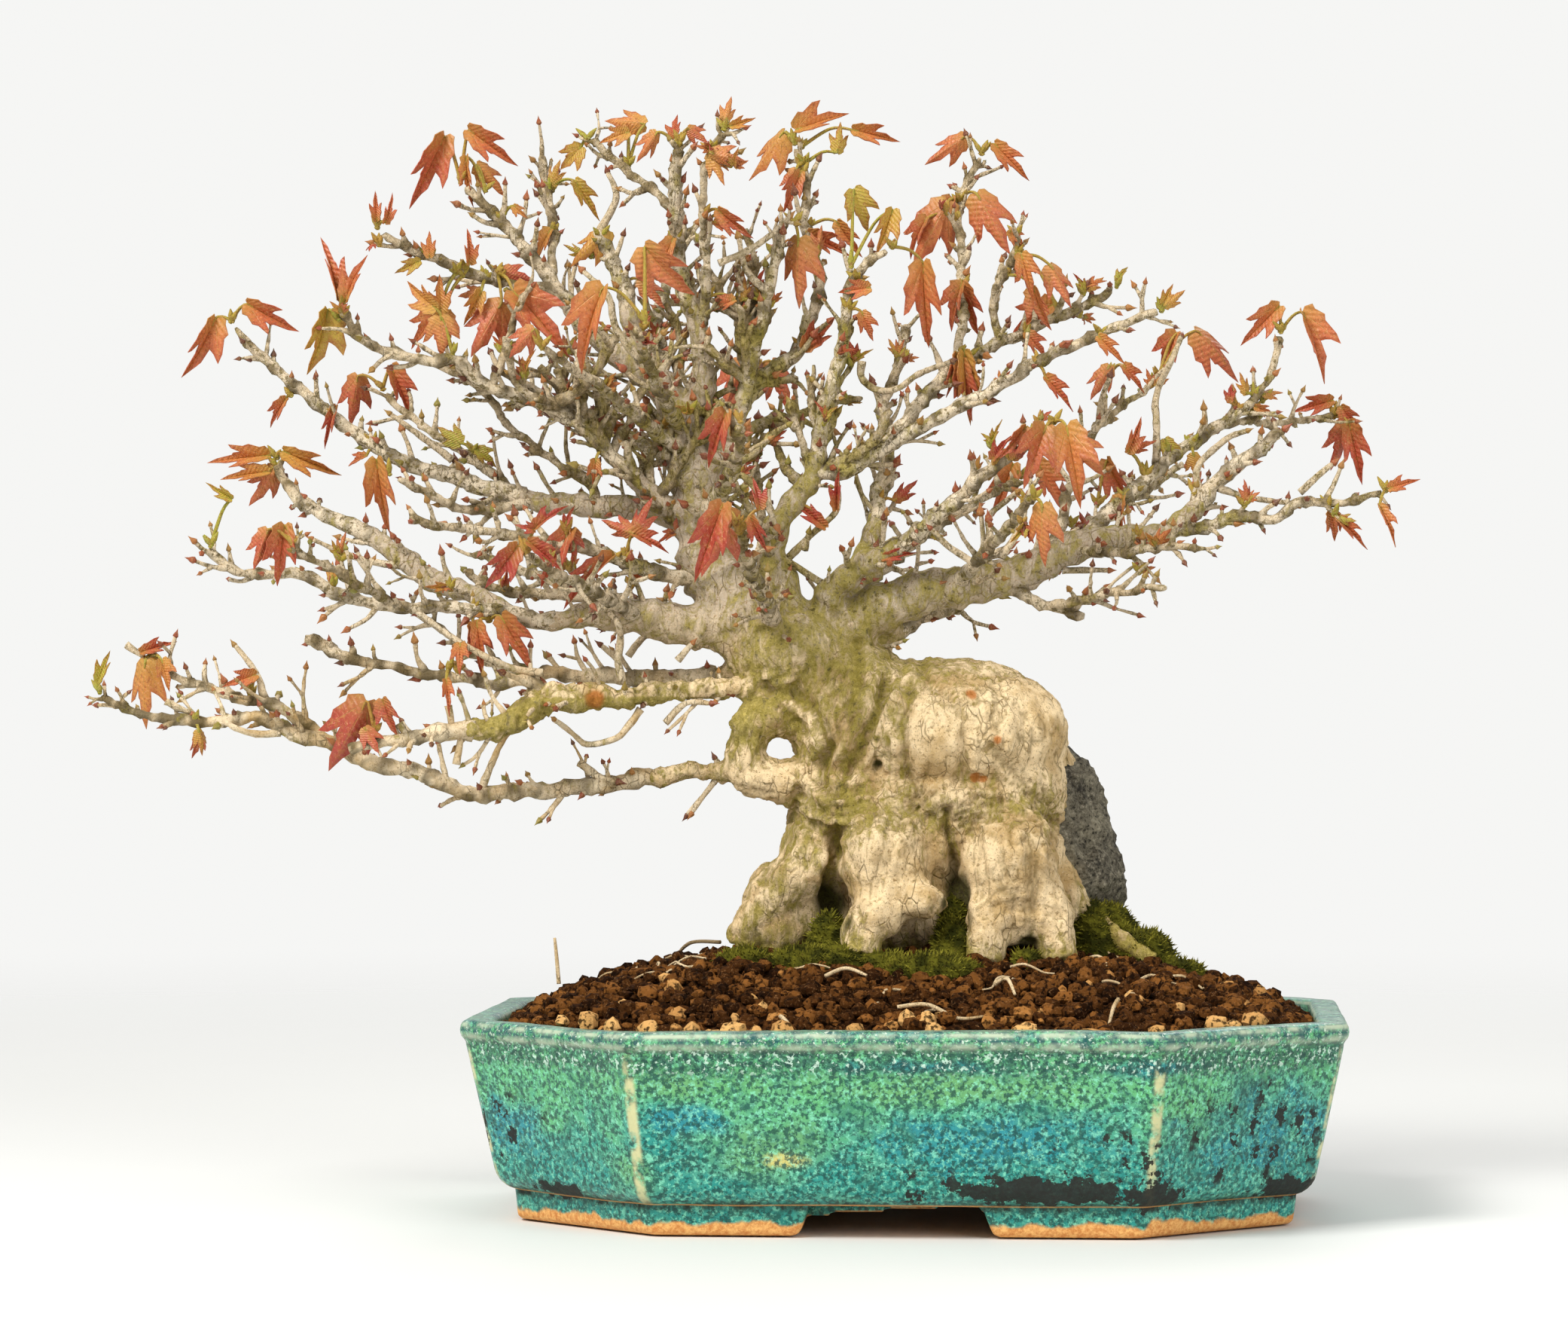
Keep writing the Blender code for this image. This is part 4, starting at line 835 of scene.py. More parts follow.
def points_of(mesh: bpy.types.Mesh) -> np.ndarray:
    """Read a mesh's vertices as rows."""
    found = np.empty(len(mesh.vertices) * 3, np.float32)
    mesh.vertices.foreach_get("co", found)
    return found.reshape(-1, 3).astype(float)


def normals_of(mesh: bpy.types.Mesh) -> np.ndarray:
    """Read a mesh's vertex normals as rows."""
    found = np.empty(len(mesh.vertices) * 3, np.float32)
    mesh.vertices.foreach_get("normal", found)
    return found.reshape(-1, 3).astype(float)


def move_points(mesh: bpy.types.Mesh, points: np.ndarray) -> None:
    """Write a mesh's vertices."""
    mesh.vertices.foreach_set("co", np.asarray(points, np.float32).ravel())
    mesh.update()


def set_values(mesh: bpy.types.Mesh, name: str, values: Sequence[float]) -> None:
    """Store a value on each vertex."""
    layer = mesh.attributes.get(name) or mesh.attributes.new(name, "FLOAT", "POINT")
    layer.data.foreach_set("value", np.asarray(values, np.float32))


def unevenness(points: np.ndarray, size: float, seed: float, octaves: int = 3,
               squash: float = 1.0) -> np.ndarray:
    """Measure a natural unevenness at each point.

    Args:
        points: Rows of points.
        size: Size of its largest bumps, in the points' unit.
        seed: Moves the pattern.
        octaves: How many finer layers it has.
        squash: Stretches the bumps along z when under 1.

    Returns:
        Values of about -1 to 1.
    """
    scaled = points / size
    scaled[:, 2] *= squash
    return np.array([noise.fractal(Vector(row) + Vector((seed, 0, 0)), 1.0, 2.0, octaves) for row in scaled])


def held(values: np.ndarray) -> np.ndarray:
    """Hold values between 0 and 1."""
    return np.clip(values, 0, 1)


def blob(values: np.ndarray, width: float) -> np.ndarray:
    """Fade from 1 at distance zero to 0 well beyond the width."""
    return np.exp(-((values / width) ** 2))


def way_to_line(points: np.ndarray, line: Sequence[Flat]) -> np.ndarray:
    """Measure how far points lie from a line, both seen from the front.

    Args:
        points: Rows of (x, y, z).
        line: The line's corners as (x, z).

    Returns:
        The distances.
    """
    flat = points[:, [0, 2]]
    nearest = np.full(len(flat), 1e9)
    for start, end in zip(np.array(line[:-1], float), np.array(line[1:], float)):
        along = end - start
        share = np.clip(((flat - start) @ along) / max(along @ along, 1e-9), 0, 1)
        nearest = np.minimum(nearest, np.linalg.norm(flat - start - share[:, None] * along, axis=1))
    return nearest


def settle(obj: bpy.types.Object, slot: Slot, material: bpy.types.Material, *nodes: str,
           smooth: float = 180) -> None:
    """Dress a finished piece, tie it to the model and report it.

    Args:
        obj: The piece.
        slot: The material slot it belongs to; not used.
        material: Its finish.
        *nodes: The CAD nodes it stands for.
        smooth: Angle in degrees up to which edges look round.
    """
    obj.data.materials.clear()
    obj.data.materials.append(material)
    choose(obj)
    bpy.ops.object.shade_smooth_by_angle(angle=math.radians(smooth))
    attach(obj, BODY)
    if nodes:
        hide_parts(*nodes)
    LOG.info("%s: %d faces", obj.name, len(obj.data.polygons))


def smooth_route(points: Sequence[Vector], step: float) -> list[tuple[Vector, float]]:
    """Round a line of points off.

    Args:
        points: The line's corners.
        step: Distance between the new points.

    Returns:
        Each new point with its place along the line, from 0 to 1.
    """
    route = []
    last = len(points) - 1
    for i in range(last):
        a, b, c, d = points[max(i - 1, 0)], points[i], points[i + 1], points[min(i + 2, last)]
        count = max(1, round((c - b).length / step))
        for k in range(count):
            t = k / count
            spot = 0.5 * (2 * b + (c - a) * t + (2 * a - 5 * b + 4 * c - d) * t * t
                          + (3 * b - a - 3 * c + d) * t ** 3)
            route.append((spot, (i + t) / last))
    return route + [(points[-1].copy(), 1.0)]


@dataclass
class Bundle:
    """Stems drawn as one bevelled curve and turned into a mesh.

    Attributes:
        name: Name of the mesh object.
        sides: 4, 6, 8, 10 or 12 sides for every stem.
    """

    name: str
    sides: int = 8
    stems: list[tuple[list[Vector], list[float]]] = field(default_factory=list)

    def add(self, points: Sequence[Vector], radii: Sequence[float]) -> None:
        """Add a stem through points, with a radius at each."""
        self.stems.append((list(points), list(radii)))

    def add_tapered(self, points: Sequence[Vector], radii: Sequence[float], step: float = 1.5) -> None:
        """Add a rounded-off stem.

        Args:
            points: The corners it passes.
            radii: Its radii, spread evenly along it.
            step: Distance between its points.
        """
        route = smooth_route(points, step)
        spread = np.interp([share for _, share in route], np.linspace(0, 1, len(radii)), radii)
        self.add([point for point, _ in route], spread)

    def build(self) -> bpy.types.Object:
        """Make the mesh.

        Returns:
            The object with closed ends and its doubles merged.
        """
        curve = bpy.data.curves.new(self.name, "CURVE")
        curve.dimensions = "3D"
        curve.bevel_depth = 1.0
        curve.bevel_resolution = self.sides // 2 - 2
        curve.use_fill_caps = True
        for points, radii in self.stems:
            spline = curve.splines.new("POLY")
            spline.points.add(len(points) - 1)
            for spot, point, radius in zip(spline.points, points, radii):
                spot.co = (*point, 1)
                spot.radius = radius
        obj = bpy.data.objects.new(self.name, curve)
        bpy.context.scene.collection.objects.link(obj)
        choose(obj)
        bpy.ops.object.convert(target="MESH")
        obj = bpy.context.view_layer.objects.active
        clean(obj, 1e-4)
        return obj


# ---------------------------------------------------------------- pot


@dataclass
class Pot:
    """The eight-sided bowl on four corner feet.

    Attributes:
        length: Outside of the rim along x, like the other sizes in millimetres.
        depth: Outside of the rim along y.
        height: Height of the rim over the table.
        corner: Each corner's cut, measured along the sides.
        draft: How far the foot of the wall stands inside its top.
        band: Height of the rim's band.
        proud: How far the band stands out from the wall.
        flare: How much wider an arch is at the table than above.
        hand: How far the handmade surface strays.
        side_steps: Places of the points along a straight side.
        arc_wear: How thin the glaze is on the points of a rounded corner.
    """

    length: float = 210.0
    depth: float = 176.0
    height: float = 48.0
    corner: float = 43.0
    wall: float = 6.0
    floor: float = 5.0
    draft: float = 7.5
    band: float = 4.5
    proud: float = 0.9
    rounding: float = 1.6
    heel: float = 5.0
    foot_height: float = 7.0
    foot_inset: float = 12.0
    foot_width: float = 13.0
    front_arch: float = 39.0
    side_arch: float = 34.0
    flare: float = 3.5
    drains: tuple[float, float] = (-38.0, 38.0)
    drain_radius: float = 8.0
    hand: float = 0.4
    side_steps: tuple[float, ...] = (0.015, 0.04, 0.09, 0.17, 0.26, 0.35, 0.45, 0.55, 0.65, 0.74, 0.83, 0.91,
                                     0.96, 0.985)
    arc_wear: tuple[float, ...] = (0.1, 0.5, 0.95, 1.0, 0.95, 0.5, 0.1)

    def octagon(self, inset: float) -> list[Vector]:
        """Find the corners of the outline, anticlockwise from above.

        Args:
            inset: How far they stand inside the rim.

        Returns:
            The eight corners.
        """
        half_x, half_y = self.length / 2 - inset, self.depth / 2 - inset
        cut_back = self.corner - inset * (2 - math.sqrt(2))
        corners = []
        for x, y, along_x in ((1, 1, False), (-1, 1, True), (-1, -1, False), (1, -1, True)):
            on_side = Vector((x * half_x, y * (half_y - cut_back), 0))
            on_front = Vector((x * (half_x - cut_back), y * half_y, 0))
            corners += [on_front, on_side] if along_x else [on_side, on_front]
        return corners

    def outline(self, inset: float, turn: float) -> list[Vector]:
        """Find the outline with its corners rounded.

        Args:
            inset: How far it stands inside the rim.
            turn: Radius of the rounded corners.

        Returns:
            Points in a ring, the same count for every inset.
        """
        corners = self.octagon(inset)
        tangent = turn * math.tan(math.radians(22.5))
        ring = []
        for i, corner in enumerate(corners):
            before, after = corners[i - 1], corners[(i + 1) % len(corners)]
            start = corner + (before - corner).normalized() * tangent
            end = corner + (after - corner).normalized() * tangent
            for k in range(len(self.arc_wear)):
                t = k / (len(self.arc_wear) - 1)
                ring.append(start * (1 - t) ** 2 + corner * 2 * t * (1 - t) + end * t * t)
            leave = after + (corner - after).normalized() * tangent
            ring += [end.lerp(leave, share) for share in self.side_steps]
        return ring

    def wall_inset(self, z: float) -> float:
        """Find how far the outside of the wall stands inside the rim.

        Args:
            z: The height.

        Returns:
            The inset.
        """
        top = self.height - self.band
        return self.proud + self.draft * (top - z) / (top - self.foot_height)

    def profile(self) -> list[tuple[float, float, float, float]]:
        """List the wall's section from the middle underneath, over the rim, to the middle inside.

        Returns:
            Inset, height, share of the ring's size and lip value of each ring.
        """
        z0, top, floor_top = self.foot_height, self.height, self.foot_height + self.floor
        under = self.wall_inset(z0) + self.heel
        rows = [(under, z0, share, 0.0) for share in (0.15, 0.4, 0.62, 0.82, 0.95)]
        for step in range(7):
            angle = step / 6 * math.pi / 2
            z = z0 + self.heel * (1 - math.cos(angle))
            rows.append((self.wall_inset(z) + self.heel * (1 - math.sin(angle)), z, 1, 0.0))
        band = top - self.band
        rows += [(self.wall_inset(z), z, 1, 0.0) for z in np.linspace(z0 + self.heel + 2.5, band - 1.6, 11)]
        rows += [(self.wall_inset(band) + 0.25, band - 0.7, 1, 0.0),
                 (self.wall_inset(band) - 0.1, band, 1, 0.2),
                 (0.25, band + 0.7, 1, 0.9), (0.0, band + 1.3, 1, 0.6), (-0.1, band + 2.2, 1, 0.0)]
        for step in range(6):
            angle = step / 5 * math.pi / 2
            rows.append((self.rounding * (1 - math.cos(angle)), top - self.rounding * (1 - math.sin(angle)), 1,
                         1.0 if step in (1, 2) else 0.3))
        inner = self.proud + self.wall + 0.3
        for step in range(6):
            angle = step / 5 * math.pi / 2
            rows.append((inner - self.rounding * (1 - math.sin(angle)),
                         top - self.rounding * (1 - math.cos(angle)), 1, 0.8 if step in (3, 4) else 0.2))
        rows += [(self.wall_inset(z) + self.wall, z, 1, 0.0) for z in np.linspace(top - 4, floor_top, 8)]
        inside = self.wall_inset(floor_top) + self.wall
        return rows + [(inside, floor_top, share, 0.0) for share in (0.9, 0.6, 0.35, 0.12)]

    def bowl(self) -> bpy.types.Object:
        """Build the bowl as rings bridged in order, with its drain holes.

        Returns:
            The bowl.
        """
        rows = self.profile()
        points, corner, lip = [], [], []
        wear = (list(self.arc_wear) + [0.0] * len(self.side_steps)) * 8
        for inset, z, share, edge in rows:
            turn = 5.5 if z < self.height - self.band else 4.0
            for spot, worn in zip(self.outline(inset, turn), wear):
                points.append(spot * share + Vector((0, 0, z)))
                corner.append(worn)
                lip.append(edge)
        bowl = mesh_object("bowl", points, ring_faces(len(wear), len(rows)))
        set_values(bowl.data, "corner", corner)
        set_values(bowl.data, "lip", lip)
        clean(bowl, 0)
        for x in self.drains:
            bpy.ops.mesh.primitive_cylinder_add(vertices=32, radius=self.drain_radius, depth=3 * self.floor,
                                                location=(x, 0, self.foot_height + self.floor / 2))
            cut(bowl, bpy.context.object)
        return bowl

    def feet(self) -> bpy.types.Object:
        """Build the ring of feet and open its four arches.

        Returns:
            The feet.
        """
        sunk = self.floor / 2
        outer = [spot for z, inset in ((0, self.foot_inset + 1), (self.foot_height + sunk, self.foot_inset))
                 for spot in [point + Vector((0, 0, z)) for point in self.octagon(inset)]]
        sides = [(i, (i + 1) % 8, 8 + (i + 1) % 8, 8 + i) for i in range(8)]
        caps = [tuple(reversed(range(8))), tuple(range(8, 16))]
        feet = mesh_object("feet", outer, sides + caps)
        inner = [point + Vector((0, 0, z)) for z in (-1, self.foot_height + 2 * sunk)
                 for point in self.octagon(self.foot_inset + self.foot_width)]
        cut(feet, mesh_object("core", inner, sides + caps))
        for width, turn in ((self.front_arch, 0), (self.side_arch, math.pi / 2)):
            bpy.ops.mesh.primitive_cube_add(size=1, rotation=(0, 0, turn),
                                            location=(0, 0, self.foot_height / 2))
            arch = bpy.context.object
            for spot in arch.data.vertices:
                half = width / 2 + (self.flare if spot.co.z < 0 else 0)
                spot.co = (math.copysign(half, spot.co.x), math.copysign(self.length, spot.co.y),
                           math.copysign(self.foot_height * 0.5 + sunk / 2, spot.co.z))
            cut(feet, arch)
        modify(feet, "BEVEL", width=1.1, segments=3, limit_method="ANGLE", angle_limit=math.radians(30))
        modify(feet, "TRIANGULATE")
        skin(feet, 0.9, 3)
        return feet

    def build(self) -> None:
        """Build the glazed pot and put it in the model."""
        pot = joined("glazed_pot", [self.bowl(), self.feet()])
        points, normals = points_of(pot.data), normals_of(pot.data)
        slow = unevenness(points, 34, 3.1, 2) * self.hand + unevenness(points, 7, 8.4, 2) * 0.09
        above = held(points[:, 2] / 4)
        points += normals * (slow * above)[:, None]
        points[:, 2] += 0.45 * np.sin(points[:, 0] / 41 + 0.6) * held((points[:, 2] - 36) / 10)
        under = (points[:, 2] < self.foot_height + 0.4) & (np.abs(normals[:, 2]) > 0.7)
        set_values(pot.data, "bare", under | (points[:, 2] < 0.25))
        move_points(pot.data, points)
        pot.data.transform(POT_PLACE)
        settle(pot, Slot.GLAZE, GlazeFinish().build(), "pot", smooth=50)


# ---------------------------------------------------------------- soil


@dataclass
class Soil:
    """The mound of fired clay grains, with rootlets lying on it.

    Attributes:
        pot: The pot that holds it.
        rise: How far its crown stands over its edge, in millimetres.
        spacing: Distance between grains.
        stray: How far a grain may lie from its place in the rows.
        sizes: Radii of the grains.
        trunk_foot: Middle (x, y) and radius of the ground under the trunk, which has none.
        front_strip: Depth (y) in front of which more of the grains are tan.
        tan_shares: Share of tan grains in front of it and behind it.
        tans: Places (x, size) of pale grains along the front wall.
        rings: Shares of the bed's outline at which its mound has points.
    """

    pot: Pot
    rise: float = 18.0
    shoulder: float = 3.0
    fall: float = 1.8
    slope: float = 10.0
    below_rim: float = 1.5
    gap: float = 0.3
    spacing: float = 3.15
    stray: float = 1.1
    sizes: tuple[float, ...] = (1.0, 1.3, 1.6, 1.8, 2.1, 2.5)
    trunk_foot: Place = (4, 8, 26)
    front_strip: float = -64
    tan_shares: Flat = (0.12, 0.02)
    kinds: int = 7
    rings: tuple[float, ...] = (0.97, 0.92, 0.85, 0.76, 0.66, 0.54, 0.42, 0.3, 0.18, 0.08)
    tans: tuple[Flat, ...] = (
        (-72, 2.4), (-66, 2), (-57, 2.6), (-47, 2.2), (-42, 1.6), (-37, 2.4), (-32, 1.8), (-26, 2.6), (-9, 2.2),
        (0, 1.7), (9, 2.5), (30, 2.6), (74, 2.2), (78, 1.8), (83, 2.4), (-79, 1.9), (45, 1.9), (60, 2.1))
    rootlets: tuple[tuple[Place, ...], ...] = (
        ((-82, -40, 56), (-82.5, -40, 62), (-83, -40, 67)),
        ((-18, -46, 58.5), (-13, -49, 60.5), (-8, -52, 59)),
        ((0, -66, 52.5), (7, -68, 53.2), (14, -69, 50.2), (20, -68, 50.5)),
        ((-27, -70, 50.5), (-25, -74, 49), (-24, -78, 46.5)),
        ((51, -58, 54), (50, -64, 52.5), (49, -69, 49)),
        ((22, -52, 57), (25, -54, 58.5), (27, -58, 55)),
        ((30, 52, 57), (38, 57, 58), (44, 64, 52)),
        ((-50, 40, 62), (-58, 46, 61.5), (-63, 54, 57)),
    )

    def edge(self) -> float:
        """Find the height of the soil along the walls."""
        return self.pot.height - self.pot.rounding - self.below_rim

    def plan(self, margin: float) -> tuple[float, float, float]:
        """Measure the room inside the walls.

        Args:
            margin: How far to stay away from them.

        Returns:
            Half its length, half its depth and |x| + |y| on its cut corners.
        """
        inset = self.pot.wall_inset(self.edge()) + self.pot.wall + margin
        half_x, half_y = self.pot.length / 2 - inset, self.pot.depth / 2 - inset
        return half_x, half_y, half_x + half_y - (self.pot.corner - inset * (2 - math.sqrt(2)))

    def level(self, x: float, y: float) -> float:
        """Find the height of the surface.

        Args:
            x: The place's x.
            y: The place's y.

        Returns:
            The height.
        """
        half_x, half_y, diagonal = self.plan(self.gap)
        to_corner = (diagonal - abs(x) - abs(y)) / math.sqrt(2)
        to_wall = max(0, min(half_x - abs(x), half_y - abs(y), to_corner))
        along = 1 - min(1, abs(x) / half_x) ** self.shoulder
        across = 1 - min(1, abs(y) / half_y) ** self.fall
        return self.edge() + self.rise * along * across * min(1, to_wall / self.slope) ** 0.5

    def inside(self, x: float, y: float, margin: float) -> bool:
        """Tell whether a place lies inside the walls by a margin."""
        half_x, half_y, diagonal = self.plan(margin)
        return abs(x) < half_x and abs(y) < half_y and abs(x) + abs(y) < diagonal

    def bed(self) -> bpy.types.Object:
        """Build the ground under the grains, closed underneath.

        Returns:
            The ground.
        """
        edge = self.edge()
        foot = self.pot.foot_height + self.pot.floor + 3.6
        rows = [(foot, 0.3), (foot, 0.97), (edge, 1.0)] + [(None, share) for share in self.rings]
        points = []
        for z, share in rows:
            height = edge if z is None else z
            for spot in self.pot.outline(self.pot.wall_inset(height) + self.pot.wall + self.gap, 3):
                x, y = spot.x * share, spot.y * share
                points.append((x, y, self.level(x, y) - 0.9 if z is None else z))
        bed = mesh_object("soil_bed", points, ring_faces(len(points) // len(rows), len(rows)))
        # The ground gets a dark tone, so the gaps between the grains show painted shade.
        set_values(bed.data, "tone", [0.12] * len(points))
        return bed

    def grain_kinds(self, chance: random.Random) -> tuple[list[np.ndarray], list[tuple[int, ...]]]:
        """Shape a few different grains from one small cube, subdivided and swollen.

        Args:
            chance: The random source.

        Returns:
            Corner points of each kind, at a radius of about 1, and the faces they share.
        """
        bpy.ops.mesh.primitive_cube_add(size=2, location=(0, 0, 0))
        grain = bpy.context.object
        modify(grain, "SUBSURF", levels=1, render_levels=1)
        ball = points_of(grain.data)
        ball *= (1 / np.linalg.norm(ball, axis=1))[:, None]
        faces = [tuple(face.vertices) for face in grain.data.polygons]
        bpy.data.objects.remove(grain)
        kinds = []
        for _ in range(self.kinds):
            stretch = np.array([chance.uniform(0.8, 1.2), chance.uniform(0.75, 1.1),
                                chance.uniform(0.65, 0.95)])
            dents = np.array([1 + chance.uniform(-0.24, 0.2) for _ in ball])
            kinds.append(ball * stretch * dents[:, None])
        return kinds, faces

    def spots(self, chance: random.Random) -> list[tuple[float, ...]]:
        """Choose where the grains lie.

        Args:
            chance: The random source.

        Returns:
            Place (x, y, z), size and tone of each.
        """
        found = []
        middle_x, middle_y, bare = self.trunk_foot
        rows, columns = round(self.pot.depth / self.spacing), round(self.pot.length / self.spacing)
        for row in range(rows):
            for column in range(columns):
                x = (column - columns / 2 + 0.5 * (row % 2)) * self.spacing
                x += chance.uniform(-self.stray, self.stray)
                y = (row - rows / 2) * self.spacing + chance.uniform(-self.stray, self.stray)
                size = chance.choice(self.sizes)
                under_trunk = (x - middle_x) ** 2 / bare ** 2 + (y - middle_y) ** 2 / bare ** 2 <= 1
                if under_trunk or not self.inside(x, y, size * 0.55):
                    continue
                tone = chance.uniform(0.0, 0.72)
                if chance.random() < self.tan_shares[0 if y < self.front_strip else 1]:
                    tone = chance.uniform(0.8, 1.0)
                found.append((x, y, self.level(x, y) + chance.uniform(-0.5, 0.5) * size - 0.25, size, tone))
        for x, size in self.tans:
            reach = 0.5 * size + 0.8
            y = -self.pot.depth / 2
            while not self.inside(x, y, reach):
                y += 0.5
            found.append((x, y, self.level(x, y) + 0.95 * size, size * 1.2, chance.uniform(0.92, 1.0)))
        return found

    def grains(self, chance: random.Random) -> bpy.types.Object:
        """Scatter the grains over the bed.

        Args:
            chance: The random source.

        Returns:
            All grains as one mesh, with a tone for each.
        """
        kinds, kind_faces = self.grain_kinds(chance)
        spots = self.spots(chance)
        points, faces, tones = [], [], []
        for x, y, z, size, tone in spots:
            turn = Matrix.Rotation(chance.uniform(0, math.tau), 3, "Z")
            turn = turn @ Matrix.Rotation(chance.uniform(-0.6, 0.6), 3, "X")
            shape = chance.choice(kinds) @ np.array(turn).T * size + np.array((x, y, z))
            faces += [tuple(len(points) + number for number in face) for face in kind_faces]
            points += list(shape)
            tones += [tone] * len(shape)
        grains = mesh_object("grains", points, faces)
        set_values(grains.data, "tone", tones)
        LOG.info("soil grains: %d", len(spots))
        return grains

    def strewn(self, roots: Bundle, chance: random.Random, count: int = 26) -> None:
        """Lay thin rootlets round the trunk, following the ground.

        Args:
            roots: Where they go.
            chance: The random source.
            count: How many are tried.
        """
        for _ in range(count):
            angle, reach = chance.uniform(0, math.tau), chance.uniform(38, 66)
            x, y = reach * 1.1 * math.cos(angle), reach * math.sin(angle)
            heading = angle + chance.uniform(-1.1, 1.1)
            line = []
            for k in range(5):
                if self.inside(x, y, 2):
                    line.append(Vector((x, y, self.level(x, y) + 1.0 + 0.7 * math.sin(k * 1.7 + angle))))
                heading += chance.uniform(-0.7, 0.7)
                x, y = x + 3.0 * math.cos(heading), y + 3.0 * math.sin(heading)
            if len(line) > 2:
                roots.add_tapered(line, (0.4, 0.3, 0.2), 1.0)

    def build(self) -> None:
        """Build the soil and the rootlets on it."""
        chance = random.Random(11)
        soil = joined("soil_mound", [self.bed(), self.grains(chance)])
        soil.data.transform(POT_PLACE)
        settle(soil, Slot.SOIL, GrainFinish().build(), "soil", smooth=42)
        roots = Bundle("surface_rootlets", 6)
        for route in self.rootlets:
            roots.add_tapered([Vector(point) for point in route], (0.55, 0.5, 0.35), 0.8)
        self.strewn(roots, chance)
        rootlets = roots.build()
        for name in ("moss", "crease", "hollow", "rust"):
            set_values(rootlets.data, name, [0.0] * len(rootlets.data.vertices))
        set_values(rootlets.data, "age", [0.2] * len(rootlets.data.vertices))
        rootlets.data.transform(POT_PLACE)
        settle(rootlets, Slot.BARK, BarkFinish("rootlet_bark", lichen=0.5, grain=1.6).build())




# ---------------------------------------------------------------- the tree's measures

# Swollen masses of the trunk: centre (x, y, z) and half-sizes.
TRUNK_MASSES = (
    ((8, 2, 115), (31, 25, 19)), ((-13, 1, 117), (16.5, 20, 21)), ((21, 4, 102), (17.5, 22, 19)),
    ((7, -1, 99), (29, 21, 12)), ((-15, -3, 98), (13, 18, 12)), ((25, 2, 82), (13, 17, 19)),
    ((-30, 1, 135), (16, 14, 12)), ((2, 4, 92), (33, 25, 17)), ((-6, -16, 84), (11, 12, 17)),
    ((23, -13, 83), (12.5, 13, 18)), ((-24, -4, 84), (9, 12, 13)), ((26, 8, 84), (12, 14, 20)),
    ((4, -25, 75), (4.8, 4.2, 4)), ((2, 8, 72), (27, 20, 15)), ((-32, -2, 70), (10, 11, 15)),
    ((-23, 2, 72), (14, 13, 16)), ((9, 0, 74), (15, 16, 16)), ((27, -17, 71), (8.5, 7, 8)),
)

# Roots and the loop at the left: radii along the points.
ROOTS = (
    ("loop", (6.5, 5.8, 5.7, 5.6, 5.7, 8), ((-20, -3, 103.6), (-31, -5, 103.6), (-39, -6, 105.8), (-40.3, -6,
     112), (-37, -5, 118.2), (-28, -3, 121.5))),
    ("loop_knot", (3.6, 4, 2.6), ((-40.5, -7.5, 114), (-41.5, -8.5, 117.5), (-38.5, -8, 121))),
    ("left_root", (9, 7, 5, 3.5), ((-22, -8, 86), (-30, -9, 79), (-37, -9, 72), (-43, -8, 64))),
    ("left_knee", (9, 7, 5.5, 5), ((-6, -18, 80), (-8, -22, 73), (-12, -24, 68), (-13, -25, 62))),
    ("knee_knob", (7, 4.8, 3.6), ((-2, -20, 78), (2, -25, 75.5), (5.5, -27, 75))),
    ("inner_toe", (9, 6, 4.5), ((21, -17, 76), (18, -21, 68), (17, -24, 60))),
    ("outer_toe", (9, 6, 4.5), ((29, -14, 76), (34, -17, 68), (36, -20, 60))),
    ("right_root", (8, 4, 3, 2), ((34, 0, 78), (43, -3, 70), (51, -6, 65), (59, -8, 60))),
    ("back_root", (10, 8, 6), ((-14, 14, 92), (-24, 26, 76), (-31, 34, 60))),
    ("rock_root", (9, 6.5, 5.5, 5), ((8, 20, 108), (6, 36, 98), (2, 44, 80), (0, 48, 60))),
    ("shoulder_root", (8, 5.5, 4.5), ((30, 12, 112), (42, 24, 92), (47, 30, 62))),
)

# The rock's lumps, as the trunk's masses.
ROCK_MASSES = (
    ((20, 22, 90), (31, 23, 28)), ((34, 20, 78), (20, 20, 17)), ((16, 24, 72), (33, 22, 14)),
)

